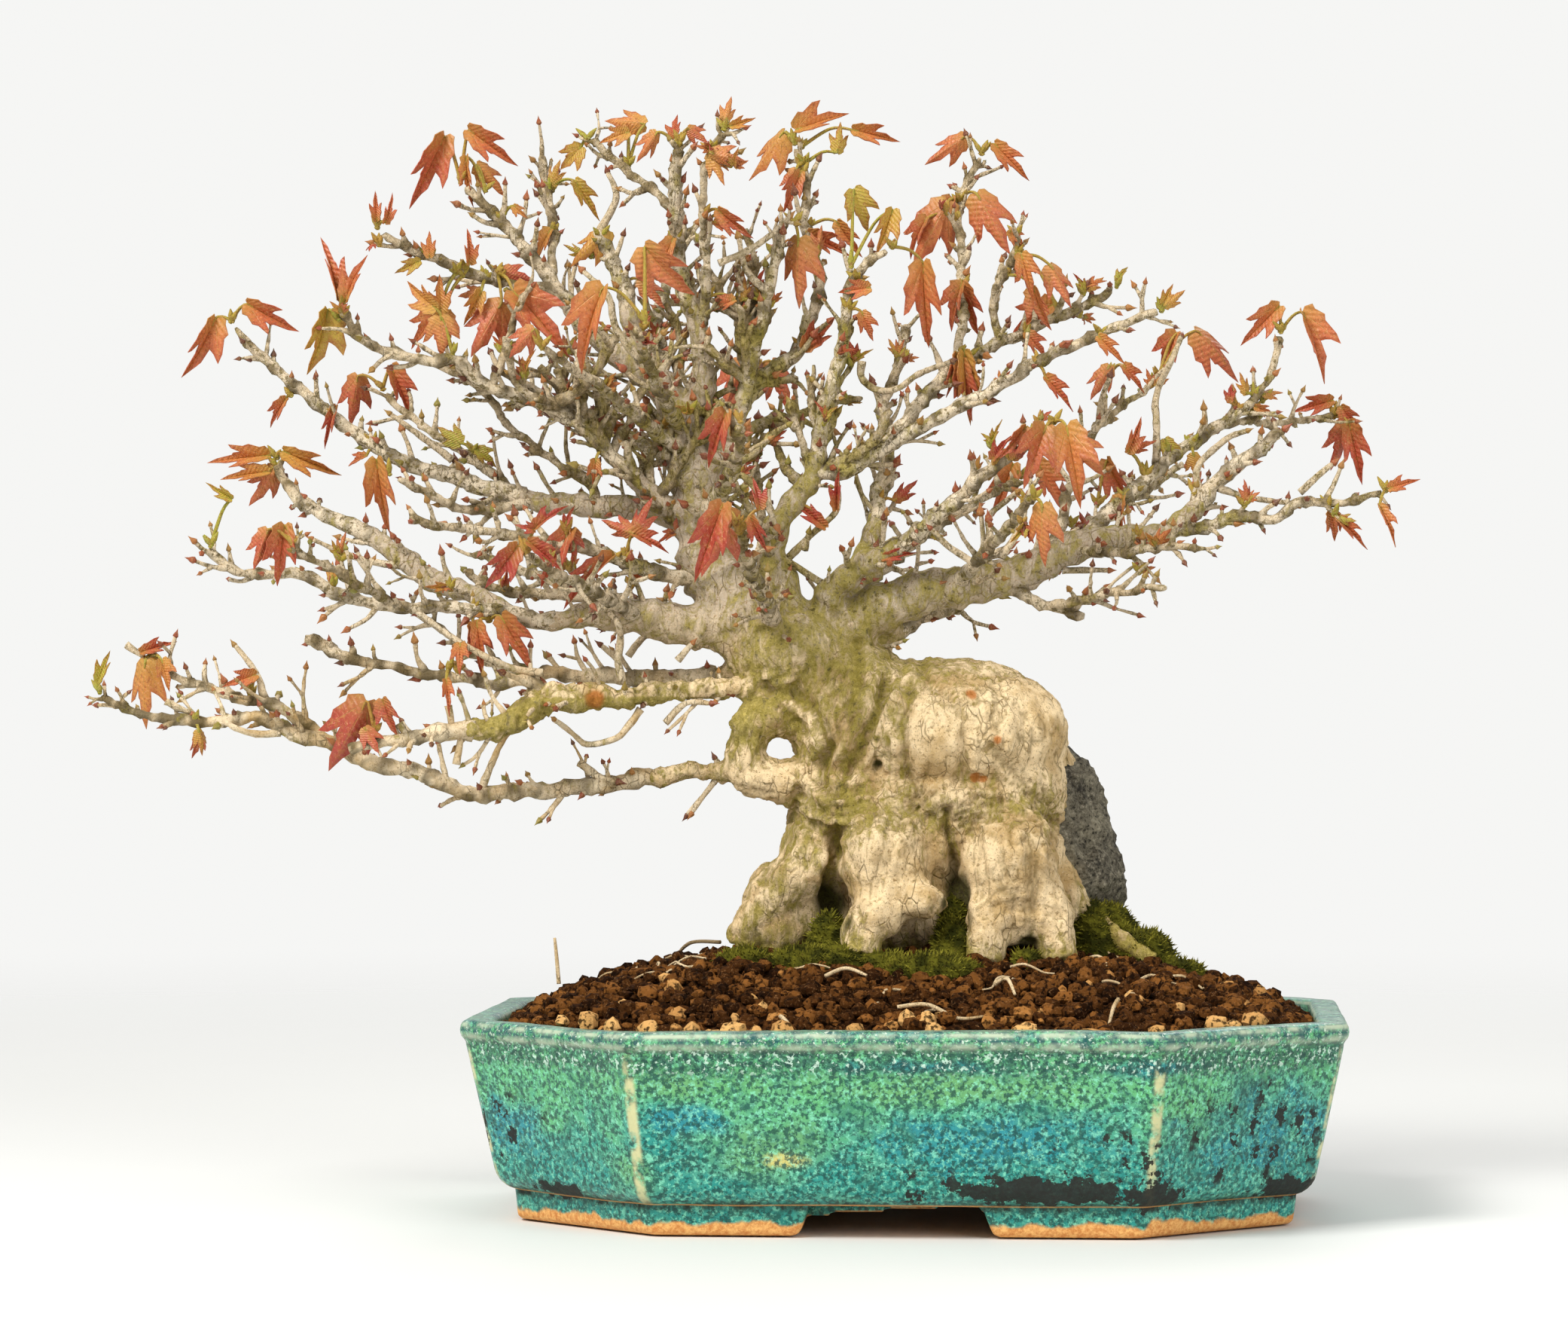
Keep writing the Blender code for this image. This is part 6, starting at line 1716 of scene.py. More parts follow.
# Small leaves: base and tip (x, z), width, and a tint from 0, crimson, to 1, olive.
LEAVES = (
    ((-166, 172.5), (-172, 176), 3, 0.95), ((-157, 179), (-169, 178), 5, 0.7),
    ((-154.5, 180), (-161, 170), 6, 0.5), ((-140.5, 195), (-144, 185), 3, 0.15),
    ((-133, 183), (-138, 181), 3, 0.5), ((-92, 165), (-96, 166), 3, 0.1), ((-92, 165), (-84.5, 172), 4, 0.08),
    ((-83, 165), (-91.5, 152), 7, 0.15), ((-83, 165), (-82, 156.5), 4, 0.2),
    ((-73, 158), (-86, 146.5), 5, 0.2), ((-68, 164), (-76, 167), 4, 0.3),
    ((-68, 164), (-64.5, 173.5), 4, 0.2), ((-68, 164), (-59, 160), 4, 0.25),
    ((-77, 182), (-77.5, 175), 4, 0.6), ((-107, 142), (-104, 130), 6, 0.35),
    ((-111, 137), (-110, 131.5), 4, 0.3), ((-160, 129.5), (-168, 127), 5, 0.5),
    ((-188, 135), (-179.5, 138), 4, 0.3), ((-174, 116), (-172, 110), 3, 0.8),
    ((-133.5, 116.5), (-130, 110.5), 5, 0.3), ((-97, 244), (-94, 241), 3, 0.7),
    ((-117.5, 231.5), (-118, 238), 4, 0.6), ((-108, 230), (-107.5, 238), 4, 0.5),
    ((-120, 230.5), (-126.5, 227.5), 4, 0.9), ((-115, 218), (-115, 227), 6, 0.7),
    ((-115, 218), (-123, 210), 7, 0.55), ((-114, 218), (-112.5, 209), 6, 0.6),
    ((-105, 223), (-109, 215), 5, 0.75), ((-105, 223), (-111, 222), 4, 0.6),
    ((-100, 228), (-92, 226), 5, 0.2), ((-88, 249), (-87, 255), 4, 0.85), ((-82, 250), (-76, 241), 5, 0.9),
    ((-74, 238), (-84, 231), 6, 0.8), ((-62, 262), (-66, 255), 4, 0.6), ((-49, 257), (-41, 254.5), 4, 0.6),
    ((-49, 257), (-45.5, 250), 4, 0.75), ((-47, 243), (-39, 235.5), 5, 0.35),
    ((-48, 240), (-43, 237.5), 3, 0.5), ((-14, 262.5), (-2.5, 260), 5, 0.6),
    ((-18, 257), (-17, 264.5), 4, 0.9), ((-27, 252), (-31, 243), 5, 0.4), ((-28, 253), (-30, 246), 4, 0.5),
    ((-25, 237), (-14.5, 232), 5, 0.4), ((-43, 221), (-49, 219), 4, 0.5), ((-41, 221), (-41, 227), 3, 0.8),
    ((-26, 209), (-18.5, 217), 6, 0.3), ((-10, 224), (-18, 223), 5, 0.5), ((-12, 218), (-9, 211), 5, 0.5),
    ((-46, 171), (-53, 152.5), 9, 0.12), ((-18, 170), (-18, 180), 3, 0.05),
    ((-21, 165.5), (-29, 172.5), 4, 0.1), ((-37, 170), (-38, 178), 4, 0.1),
    ((-39, 168), (-35.5, 159), 4, 0.15), ((-4, 172), (1, 177), 3, 0.1), ((-7, 158), (1, 159.5), 3, 0.1),
    ((-20, 148), (-17, 143.5), 4, 0.15), ((24, 238), (28, 234), 4, 0.6), ((27, 232), (30, 222), 6, 0.6),
    ((34, 229.5), (40, 220), 6, 0.5), ((12.5, 225), (16, 212), 7, 0.35), ((12.5, 225), (8, 214), 6, 0.4),
    ((13, 208), (15, 190.5), 6, 0.75), ((11, 208), (10, 197), 5, 0.5), ((59, 200), (57.5, 204), 3, 0.6),
    ((60, 200), (62.5, 204), 3, 0.7), ((78, 196), (78, 201), 3, 0.1), ((82, 198), (81, 203), 3, 0.8),
    ((86, 198), (91, 199.5), 3, 0.7), ((84, 195), (89, 193), 3, 0.6), ((105, 195), (109.5, 189), 5, 0.3),
    ((106.5, 191.5), (104, 179), 6, 0.25), ((32, 171), (31.5, 156), 7, 0.6), ((53, 184), (57, 192), 4, 0.45),
    ((53, 184), (60, 187), 4, 0.5), ((62, 187), (65, 181), 5, 0.95), ((69, 183.5), (70, 177), 4, 0.8),
    ((20, 182), (24, 188), 4, 0.05), ((25, 182), (28, 186), 4, 0.1), ((33, 202), (40, 195), 4, 0.3),
    ((30, 224), (33, 213), 6, 0.55), ((4, 241), (-2, 232), 5, 0.4), ((10, 246), (6, 236), 6, 0.3),
    ((-18, 240), (-12, 231), 5, 0.6), ((46, 212), (52, 206), 4, 0.6), ((28, 213), (34, 207), 5, 0.4),
    ((-58, 236), (-62, 228), 5, 0.6), ((-92, 214), (-98, 207), 6, 0.4), ((-66, 226), (-60, 219), 5, 0.45),
    ((-88, 238), (-93, 231), 5, 0.7), ((52, 173), (49, 163), 6, 0.6), ((38, 188), (47, 178), 7, 0.6),
    ((28, 190), (22, 182), 5, 0.45),
)


def seen_place(x: float, y: float, z: float) -> Vector:
    """Move a place measured from the front to where it looks the same at its depth.

    Args:
        x: The place's x as measured.
        y: Its depth.
        z: Its height as measured.

    Returns:
        The place.
    """
    eye_x, eye_y, eye_z = EYE
    share = (y - eye_y) / -eye_y
    return Vector((eye_x + (x - eye_x) * share, y, eye_z + (z - eye_z) * share))


def spots(points: np.ndarray, places: Iterable[tuple[Flat, Flat]], edge: float) -> np.ndarray:
    """Mark points that lie in round spots, seen from the front.

    Args:
        points: Rows of points.
        places: Middle (x, z) and half-sizes of each spot.
        edge: Where a spot ends, in shares of its size.

    Returns:
        1 inside the spots and 0 outside, fading over a spot's own size.
    """
    found = np.zeros(len(points))
    for (x, z), (wide, tall) in places:
        away = np.hypot((points[:, 0] - x) / wide, (points[:, 2] - z) / tall)
        found = np.maximum(found, held(edge - away))
    return found


def veins(points: np.ndarray, size: float, seed: float, squash: float, sharpness: float) -> np.ndarray:
    """Mark wandering lines.

    Args:
        points: Rows of points.
        size: Distance between the lines.
        seed: Moves the pattern.
        squash: Stretches it along z when under 1.
        sharpness: How thin the lines are.

    Returns:
        1 on a line and 0 away from it.
    """
    return held(1 - np.abs(unevenness(points, size, seed, 3, squash)) * sharpness)


# ---------------------------------------------------------------- tree


@dataclass
class Growth:
    """The routes of all limbs, and what stands nearest to a place on them.

    Attributes:
        trunk_depth: Depth (y) at which limbs leave the trunk.
        routes: The corners of each limb, filled in when it is made.
    """

    trunk_depth: float = -5.0
    routes: dict[str, list[Vector]] = field(default_factory=dict)

    def __post_init__(self) -> None:
        """Lay every limb from its parent outwards, as measured from the front."""
        for name, parent, _, end_depth, outline in LIMBS:
            flat = [Vector((x, 0, z)) for x, z in outline]
            start_depth = self.trunk_depth if parent == "trunk" else 0.0
            if parent in self.routes:
                on_parent = self.nearest(parent, flat[0].x, flat[0].z)
                flat[0] = Vector((on_parent.x, 0, on_parent.z))
                start_depth = on_parent.y
            lengths = np.cumsum([0.0] + [(b - a).length for a, b in zip(flat, flat[1:])])
            for point, length in zip(flat, lengths):
                point.y = start_depth + (end_depth - start_depth) * length / lengths[-1]
            self.routes[name] = flat

    def nearest(self, limb: str, x: float, z: float) -> Vector:
        """Find the point of a limb that passes nearest a place, seen from the front.

        Args:
            limb: The limb's name.
            x: The place's x.
            z: The place's z.

        Returns:
            The point.
        """
        return min(fine_points(self.routes[limb]), key=lambda p: math.hypot(p.x - x, p.z - z))

    def nearest_of_all(self, x: float, z: float, reach: float = 9.0) -> Vector:
        """Find the foremost point of any limb near a place, seen from the front.

        Args:
            x: The place's x.
            z: The place's z.
            reach: How far away a limb may be to count as near.

        Returns:
            The point.
        """
        found = [self.nearest(name, x, z) for name in self.routes]
        near = [p for p in found if math.hypot(p.x - x, p.z - z) < reach]
        if near:
            return min(near, key=lambda p: p.y + 4 * math.hypot(p.x - x, p.z - z))
        return min(found, key=lambda p: math.hypot(p.x - x, p.z - z))


def fine_points(route: Sequence[Vector]) -> list[Vector]:
    """List a route's points with three more between each two."""
    points = []
    for before, after in zip(route, route[1:]):
        points += [before.lerp(after, step / 4) for step in range(4)]
    return points + [route[-1]]


@dataclass
class Tree:
    """Trunk, roots, limbs and twigs.

    Attributes:
        growth: The routes of its limbs.
        voxel: Fineness of the trunk's skin, in millimetres.
        thick: Radius from which a limb is part of the trunk's skin.
        wiggle: How far limbs stray from their routes.
        joint_every: Distance between the swellings of a limb.
        tangle: How many thin branches stand round the leader.
        step: Distance between the points of a limb.
        pale_spots: Middle (x, z) and half-sizes of places where the trunk grows no moss.
        courses: Points, radii and joints of each limb, once it is laid.
        joint_places: The places of all joints.
        bud_ends: Place, direction and thickness of every twig's end.
    """

    growth: Growth
    voxel: float = 0.85
    thick: float = 2.2
    wiggle: float = 0.5
    joint_every: Flat = (3.6, 7.5)
    tangle: int = 46
    step: float = 1.1
    pale_spots: tuple[tuple[Flat, Flat], ...] = (
        ((5, 113), (6, 15)), ((-6, 80), (10, 13)), ((24, 78), (13, 15)), ((24, 118), (16, 13)),
        ((-34, 104), (10, 5)))
    courses: dict[str, tuple[list[Vector], np.ndarray, list[int]]] = field(default_factory=dict)
    joint_places: list[Vector] = field(default_factory=list)
    bud_ends: list[tuple[Vector, Vector, float]] = field(default_factory=list)

    # ---- trunk

    def trunk_body(self) -> bpy.types.Object:
        """Fuse the masses, the roots and the feet of the thick limbs into one skin.

        Returns:
            The trunk.
        """
        bm = balls(TRUNK_MASSES, 4)
        roots = Bundle("roots", 12)
        for _, radii, points in ROOTS:
            roots.add_tapered([Vector(point) for point in points], radii)
        for points, radii, _ in self.courses.values():
            end = self.fused(radii)
            if end > 3:
                roots.add(points[:end], radii[:end] * 1.06)
        tubes = roots.build()
        bm.from_mesh(tubes.data)
        bpy.data.objects.remove(tubes)
        trunk = body_object("trunk", bm)
        skin(trunk, self.voxel, 5, 0.6)
        return trunk

    def creased(self, strayed: np.ndarray, front: np.ndarray) -> tuple[np.ndarray, np.ndarray]:
        """Press the long creases into the bark, with a lip and finer ripples beside each.

        Args:
            strayed: Points of the trunk, moved about so that the creases wander.
            front: How far each faces the front.

        Returns:
            How far each point moves outwards, and how deep in a crease it lies.
        """
        shift, crease = np.zeros(len(front)), np.zeros(len(front))
        for line, depth in CREASES:
            way = way_to_line(strayed, line)
            shift -= depth * blob(way, 1.25) * front
            shift += 0.3 * depth * blob(way - 2.8, 1.5) * front
            ripple = np.cos(way * math.tau / 2.5) * blob(way, 6.0) * front
            shift += 0.24 * ripple
            crease = np.maximum(crease, blob(way, 1.0) * front * min(1, depth / 1.4))
            crease = np.maximum(crease, held(-ripple - 0.35) * 1.1)
        return shift, crease

    def trunk_moss(self, points: np.ndarray, crease: np.ndarray) -> np.ndarray:
        """Work out where moss grows on the trunk.

        Args:
            points: Its points.
            crease: How deep in a crease each lies.

        Returns:
            How mossy each is.
        """
        x, z = points[:, 0], points[:, 2]
        low, left = held((70 - z) / 9), held((8 - x) / 22)
        shoulder = held((z - 118) / 14) * held((x + 46) / 10)
        waist = blob(way_to_line(points, ((-30, 97), (-5, 97), (10, 97), (36, 98))), 5)
        pale = spots(points, self.pale_spots, 1.3)
        moss = 0.32 + 0.5 * low + 0.26 * shoulder + 0.18 * left + 0.12 * waist + 0.32 * crease - 0.42 * pale
        moss += 0.45 * held((z - 111) / 6) * held((-31 - x) / 6) * (z < 124)
        return moss + 0.25 * held((x - 38) / 8) * (z < 80)

    def carve(self, trunk: bpy.types.Object) -> None:
        """Wrinkle the bark and store the values that its finish reads."""
        points, normals = points_of(trunk.data), normals_of(trunk.data)
        front = held((0.35 - normals[:, 1]) / 0.5) * (points[:, 1] < 14)
        back = held(1 - front)
        base = held((142 - points[:, 2]) / 10)
        level = np.zeros(len(points))
        wander = np.stack([unevenness(points, 7, 2.2, 2), level, unevenness(points, 7, 5.9, 2)], 1)
        strayed = points + wander * 1.3
        shift, crease = self.creased(strayed, front)
        for place, size, height in BULGES:
            away = np.hypot((points[:, 0] - place[0]) / size[0], (points[:, 2] - place[1]) / size[1])
            shift += height * held(1 - away ** 2) * front
        # The hollows are pressed in, and their value paints shade in the bark's finish.
        hollow = spots(strayed, HOLLOWS, 1.35) * front
        shift -= 1.5 * hollow
        rust = spots(points, [(place, (radius, radius)) for place, radius in RUST], 1.5) * front
        shift += base * (0.7 * unevenness(points, 9, 4.4, 3, 0.35) + 0.5 * unevenness(points, 3.2, 1.5, 3))
        girdle = held(1.4 - np.abs(points[:, 2] - 98) / 8) * front
        hub = held((4 - points[:, 0]) / 8) * held((points[:, 2] - 103) / 6) * base * front
        # Veins in the base, the girdle and the hub: area, lines, how deep they are pressed, and how dark their
        # grooves are painted as shade.
        for area, lines, depth, shade in ((base * front, veins(points, 8, 14.4, 0.5, 5), 0.55, 0.75),
                                          (girdle, veins(points, 5, 21.3, 2.4, 5), 0.75, 0.95),
                                          (hub, veins(points, 5, 37.1, 0.4, 4.5), 0.7, 0.85)):
            shift -= area * depth * lines
            crease = np.maximum(crease, area * shade * lines ** 2)
        ridges = 1 - np.abs(unevenness(points, 12, 8.8, 3, 0.3)) * 2.4
        shift -= base * back * 1.5 * held(ridges)
        crease = np.maximum(crease, back * base * held(ridges - 0.35) * 1.2)
        shift += (1 - base) * 0.35 * unevenness(points, 4, 6.5, 3)
        points += normals * shift[:, None]
        move_points(trunk.data, points)
        age = np.clip((points[:, 2] - 128) / 22, 0, 0.9)
        for name, values in (("moss", self.trunk_moss(points, crease)), ("crease", crease), ("hollow", hollow),
                             ("rust", rust), ("age", age)):
            set_values(trunk.data, name, values)

    # ---- limbs

    def fused(self, radii: np.ndarray) -> int:
        """Count how many of a limb's points belong to the trunk's skin.

        Args:
            radii: The limb's radii from its foot.

        Returns:
            The count.
        """
        if max(radii[:12]) < self.thick:
            return 0
        thin = np.nonzero(np.convolve(radii, np.ones(5) / 5, "same")[3:] < self.thick)[0]
        return int(thin[0]) + 3 if len(thin) else len(radii)

    def lay(self, name: str, radii: Sequence[float], chance: random.Random) -> None:
        """Work out a limb's course and keep it.

        Args:
            name: The limb's name.
            radii: Its radii, spread evenly along it.
            chance: The random source.
        """
        corners = [seen_place(*point) for point in self.growth.routes[name]]
        self.courses[name] = self.course(corners, radii, chance)
        points, _, joints = self.courses[name]
        self.joint_places += [points[index] for index in joints]

    def course(self, corners: Sequence[Vector], radii: Sequence[float],
               chance: random.Random) -> tuple[list[Vector], np.ndarray, list[int]]:
        """Bend a line of corners like a grown branch with swollen joints.

        Args:
            corners: The branch's corners from its foot.
            radii: Its radii, spread evenly along it.
            chance: The random source.

        Returns:
            Its points, the radius at each, and the numbers of the points at its joints.
        """
        route = smooth_route(corners, self.step)
        base = np.interp([share for _, share in route], np.linspace(0, 1, len(radii)), radii)
        base = base * (0.82 + 0.18 * held((base - 2) / 2.5))
        points = [point.copy() for point, _ in route]
        seed = chance.uniform(0, 90)
        for i, point in enumerate(points):
            sway = min(1, i / 6) * self.wiggle
            point += Vector((noise.noise(Vector((seed, i / 5.2, 0))),
                             noise.noise(Vector((seed, 7, i / 5.2))) * 1.6,
                             noise.noise(Vector((i / 5.2, seed, 3))))) * sway * 1.6
        swell = np.ones(len(points))
        spot = chance.uniform(3, 9)
        joints = []
        while spot < len(points) * self.step:
            index = int(spot / self.step)
            if index < len(points):
                joints.append(index)
            spot += chance.uniform(*self.joint_every)
        for index in joints:
            away = (np.arange(len(points)) - index) * self.step
            swell += blob(away, 1.25) * chance.uniform(0.16, 0.34)
        ragged = np.array([1 + 0.1 * noise.noise(Vector((seed, i * 0.6, 9))) for i in range(len(points))])
        spread = base * swell * ragged
        spread[-1] *= 0.7
        return points, spread, joints

    def thicket(self, bundle: Bundle, chance: random.Random) -> None:
        """Grow a tangle of thin branches from the leader and the foot of the limbs near it.

        Args:
            bundle: Where the branches go.
            chance: The random source.
        """
        names = ("leader", "leader", "fan_high", "centre_right", "front_upright")
        stems = [self.courses[name][0] for name in names]
        for _ in range(self.tangle):
            stem = chance.choice(stems)
            start = stem[chance.randrange(int(len(stem) * 0.14), int(len(stem) * 0.62))]
            lean = chance.uniform(-1.15, 1.15)
            heading = Vector((math.sin(lean), chance.uniform(-0.75, 0.75), math.cos(lean))).normalized()
            corners = [start]
            for _ in range(chance.randint(2, 4)):
                heading += Vector([chance.uniform(-0.35, 0.35) for _ in range(3)]) + Vector((0, 0, 0.1))
                heading.normalize()
                corners.append(corners[-1] + heading * chance.uniform(5, 9))
            thick = chance.uniform(1.1, 1.9)
            points, radii, joints = self.course(corners, (thick, thick * 0.75, thick * 0.5), chance)
            bundle.add(points, radii)
            self.joint_places += [points[index] for index in joints]
            self.sprout(bundle, points, radii, joints, chance)

    def sprout(self, bundle: Bundle, points: list[Vector], radii: np.ndarray, joints: Sequence[int],
               chance: random.Random) -> None:
        """Grow short twigs and spurs in pairs from a limb's joints.

        Args:
            bundle: Where the twigs go.
            points: The limb's points.
            radii: Its radius at each.
            joints: Numbers of the points that twigs grow from.
            chance: The random source.
        """
        for index in joints:
            share = index / len(points)
            if index < 5 or index >= len(points) - 1 or radii[index] > 7:
                continue
            along = (points[index + 1] - points[index]).normalized()
            side = along.cross(Vector((chance.uniform(-1, 1), chance.uniform(-1, 1), chance.uniform(-1, 1))))
            if side.length < 0.05:
                continue
            side.normalize()
            for way in (1, -1):
                roll = chance.random()
                if roll < 0.2:
                    continue
                spur = roll < 0.5
                length = chance.uniform(1.0, 2.6) if spur else chance.uniform(3.5, 11) * (1.2 - 0.45 * share)
                heading = (along * chance.uniform(0.35, 1.0) + side * way + Vector((0, 0, 0.3))).normalized()
                start = points[index] - heading * radii[index] * 0.4
                bend = Vector([chance.uniform(-0.35, 0.35) for _ in range(3)]) + Vector((0, 0, 0.15))
                middle = start + heading * (length * 0.5 + radii[index])
                end = middle + (heading + bend).normalized() * length * 0.55
                thick = min(0.6 * radii[index], chance.uniform(0.48, 0.8))
                bundle.add_tapered([start, middle, end], (thick * 1.25, thick * 0.85, thick * 0.72), 1.0)
                self.bud_ends.append((end, (end - middle).normalized(), thick))
                if not spur and chance.random() < 0.5:
                    fork = middle + (heading - bend * 1.6).normalized() * length * 0.45
                    bundle.add_tapered([middle, fork], (thick * 0.8, thick * 0.6), 1.0)
                    self.bud_ends.append((fork, (fork - middle).normalized(), thick * 0.85))

    def knots(self, points: np.ndarray, lumps: np.ndarray) -> np.ndarray:
        """Work out how knotty the limbs are, from the way to the nearest joint.

        Args:
            points: The limbs' points.
            lumps: A fine unevenness at each.

        Returns:
            How knotty each is.
        """
        joints = KDTree(len(self.joint_places))
        for i, place in enumerate(self.joint_places):
            joints.insert(place, i)
        joints.balance()
        away = np.array([joints.find(Vector(point))[2] for point in points])
        return blob(away, 3.0) * np.clip(0.95 + 1.4 * unevenness(points, 6, 5.9, 2) + 0.9 * lumps, 0, 1.3)

    def twigginess(self, points: np.ndarray) -> np.ndarray:
        """Work out which points belong to thin twigs and not to a limb.

        Args:
            points: The limbs' and twigs' points.

        Returns:
            0 on a thick limb and 1 on a thin twig, and less low down.
        """
        stems = [stem for places, radii, _ in self.courses.values() for stem in zip(places, radii)]
        limbs = KDTree(len(stems))
        for i, (place, _) in enumerate(stems):
            limbs.insert(place, i)
        limbs.balance()
        twig = np.zeros(len(points))
        for i, point in enumerate(points):
            _, number, gap = limbs.find(Vector(point))
            radius = stems[number][1]
            twig[i] = max(min(1, (gap - radius - 0.5) / 1.5), min(1, (1.6 - radius) / 0.8))
        return held(twig) * np.clip((points[:, 2] - 120) / 25, 0.25, 1)

    def roughen(self, wood: bpy.types.Object) -> None:
        """Roughen the bark of the limbs or twigs and store the values its finish reads."""
        points, normals = points_of(wood.data), normals_of(wood.data)
        rough = 0.16 * unevenness(points, 1.7, 3.3, 2) + 0.14 * unevenness(points, 4, 7.7, 2)
        points += normals * rough[:, None]
        crown = np.hypot((points[:, 0] + 45) / 62, (points[:, 2] - 190) / 55)
        patchy = unevenness(points, 9, 12.2, 2)
        lumps = unevenness(points, 2.2, 1.9, 2)
        knots = self.knots(points, lumps)
        points += normals * (knots * held(0.25 + lumps) * 0.75)[:, None]
        move_points(wood.data, points)
        x, z = points[:, 0], points[:, 2]
        low_left = held((140 - z) / 12) * held((-40 - x) / 20)
        moss = 0.22 + 0.55 * held(1.1 - crown) + 0.5 * patchy + 0.14 * held(x / 30)
        plain = np.zeros(len(points))
        age = held(0.95 - 0.85 * low_left + 0.5 * patchy)
        for name, values in (("twig", self.twigginess(points)), ("moss", moss), ("crease", knots), ("age", age),
                             ("hollow", plain), ("rust", plain)):
            set_values(wood.data, name, values)

    def buds(self) -> bpy.types.Object:
        """Set a small pointed bud on the end of each twig.

        Returns:
            All buds as one mesh.
        """
        chance = random.Random(31)
        sides, rows = 5, ((0.0, 0.55), (0.35, 1.05), (0.8, 0.85), (1.35, 0.35))
        points, faces, tones = [], [], []
        for end, heading, thick in self.bud_ends:
            across = heading.orthogonal().normalized()
            other = heading.cross(across)
            size = thick * chance.uniform(1.0, 1.45)
            first = len(points)
            for along, wide in rows:
                for k in range(sides):
                    angle = math.tau * k / sides
                    points.append(end + heading * size * (along * 1.6 - 0.3)
                                  + (across * math.cos(angle) + other * math.sin(angle)) * wide * size)
            points.append(end + heading * size * 3.0)
            top = first + sides * (len(rows) - 1)
            for ring in range(first, top, sides):
                faces += [(ring + k, ring + (k + 1) % sides, ring + sides + (k + 1) % sides, ring + sides + k)
                          for k in range(sides)]
            faces += [(top + k, top + (k + 1) % sides, top + sides) for k in range(sides)]
            faces.append(tuple(first + k for k in reversed(range(sides))))
            tones += [chance.random()] * (sides * len(rows) + 1)
        buds = mesh_object("winter_buds", points, faces)
        set_values(buds.data, "tint", tones)
        return buds

    def build(self) -> None:
        """Build the trunk, the limbs with their twigs, and the buds."""
        chance = random.Random(5)
        for name, _, radii, _, _ in LIMBS:
            self.lay(name, radii, chance)
        trunk = self.trunk_body()
        self.carve(trunk)
        trunk.name = "trunk_and_roots"
        trunk.data.transform(GROVE)
        settle(trunk, Slot.BARK, BarkFinish("trunk_bark").build(), "tree_wood")
        limbs, twigs = Bundle("limbs", 8), Bundle("fine_twigs", 6)
        for points, radii, joints in self.courses.values():
            start = max(0, self.fused(radii) - 3)
            if len(points) - start > 2:
                limbs.add(points[start:], radii[start:])
            self.sprout(twigs, points, radii, joints, chance)
        self.thicket(twigs, chance)
        for line in TWIGS:
            depth = self.growth.nearest_of_all(*line[0]).y
            stops = [seen_place(x, depth + 1.6 * i * chance.uniform(-1, 1), z) for i, (x, z) in enumerate(line)]
            twigs.add_tapered(stops, (1.05, 0.85, 0.6), 1.1)
            self.bud_ends.append((stops[-1], (stops[-1] - stops[-2]).normalized(), 0.7))
        finish = BarkFinish("limb_bark", pale=(0.90, 0.74, 0.50), grey=(0.84, 0.72, 0.54), lichen=0.5,
                            dark=(0.05, 0.034, 0.01), knot_and_crease_shade=(0.07, 0.048, 0.012), grain=1.4).build()
        for bundle in (limbs, twigs):
            wood = bundle.build()
            self.roughen(wood)
            wood.data.transform(GROVE)
            settle(wood, Slot.BARK, finish, "tree_wood")
        buds = self.buds()
        buds.data.transform(GROVE)
        settle(buds, Slot.BARK, BudFinish().build(), smooth=60)


# ---------------------------------------------------------------- leaves


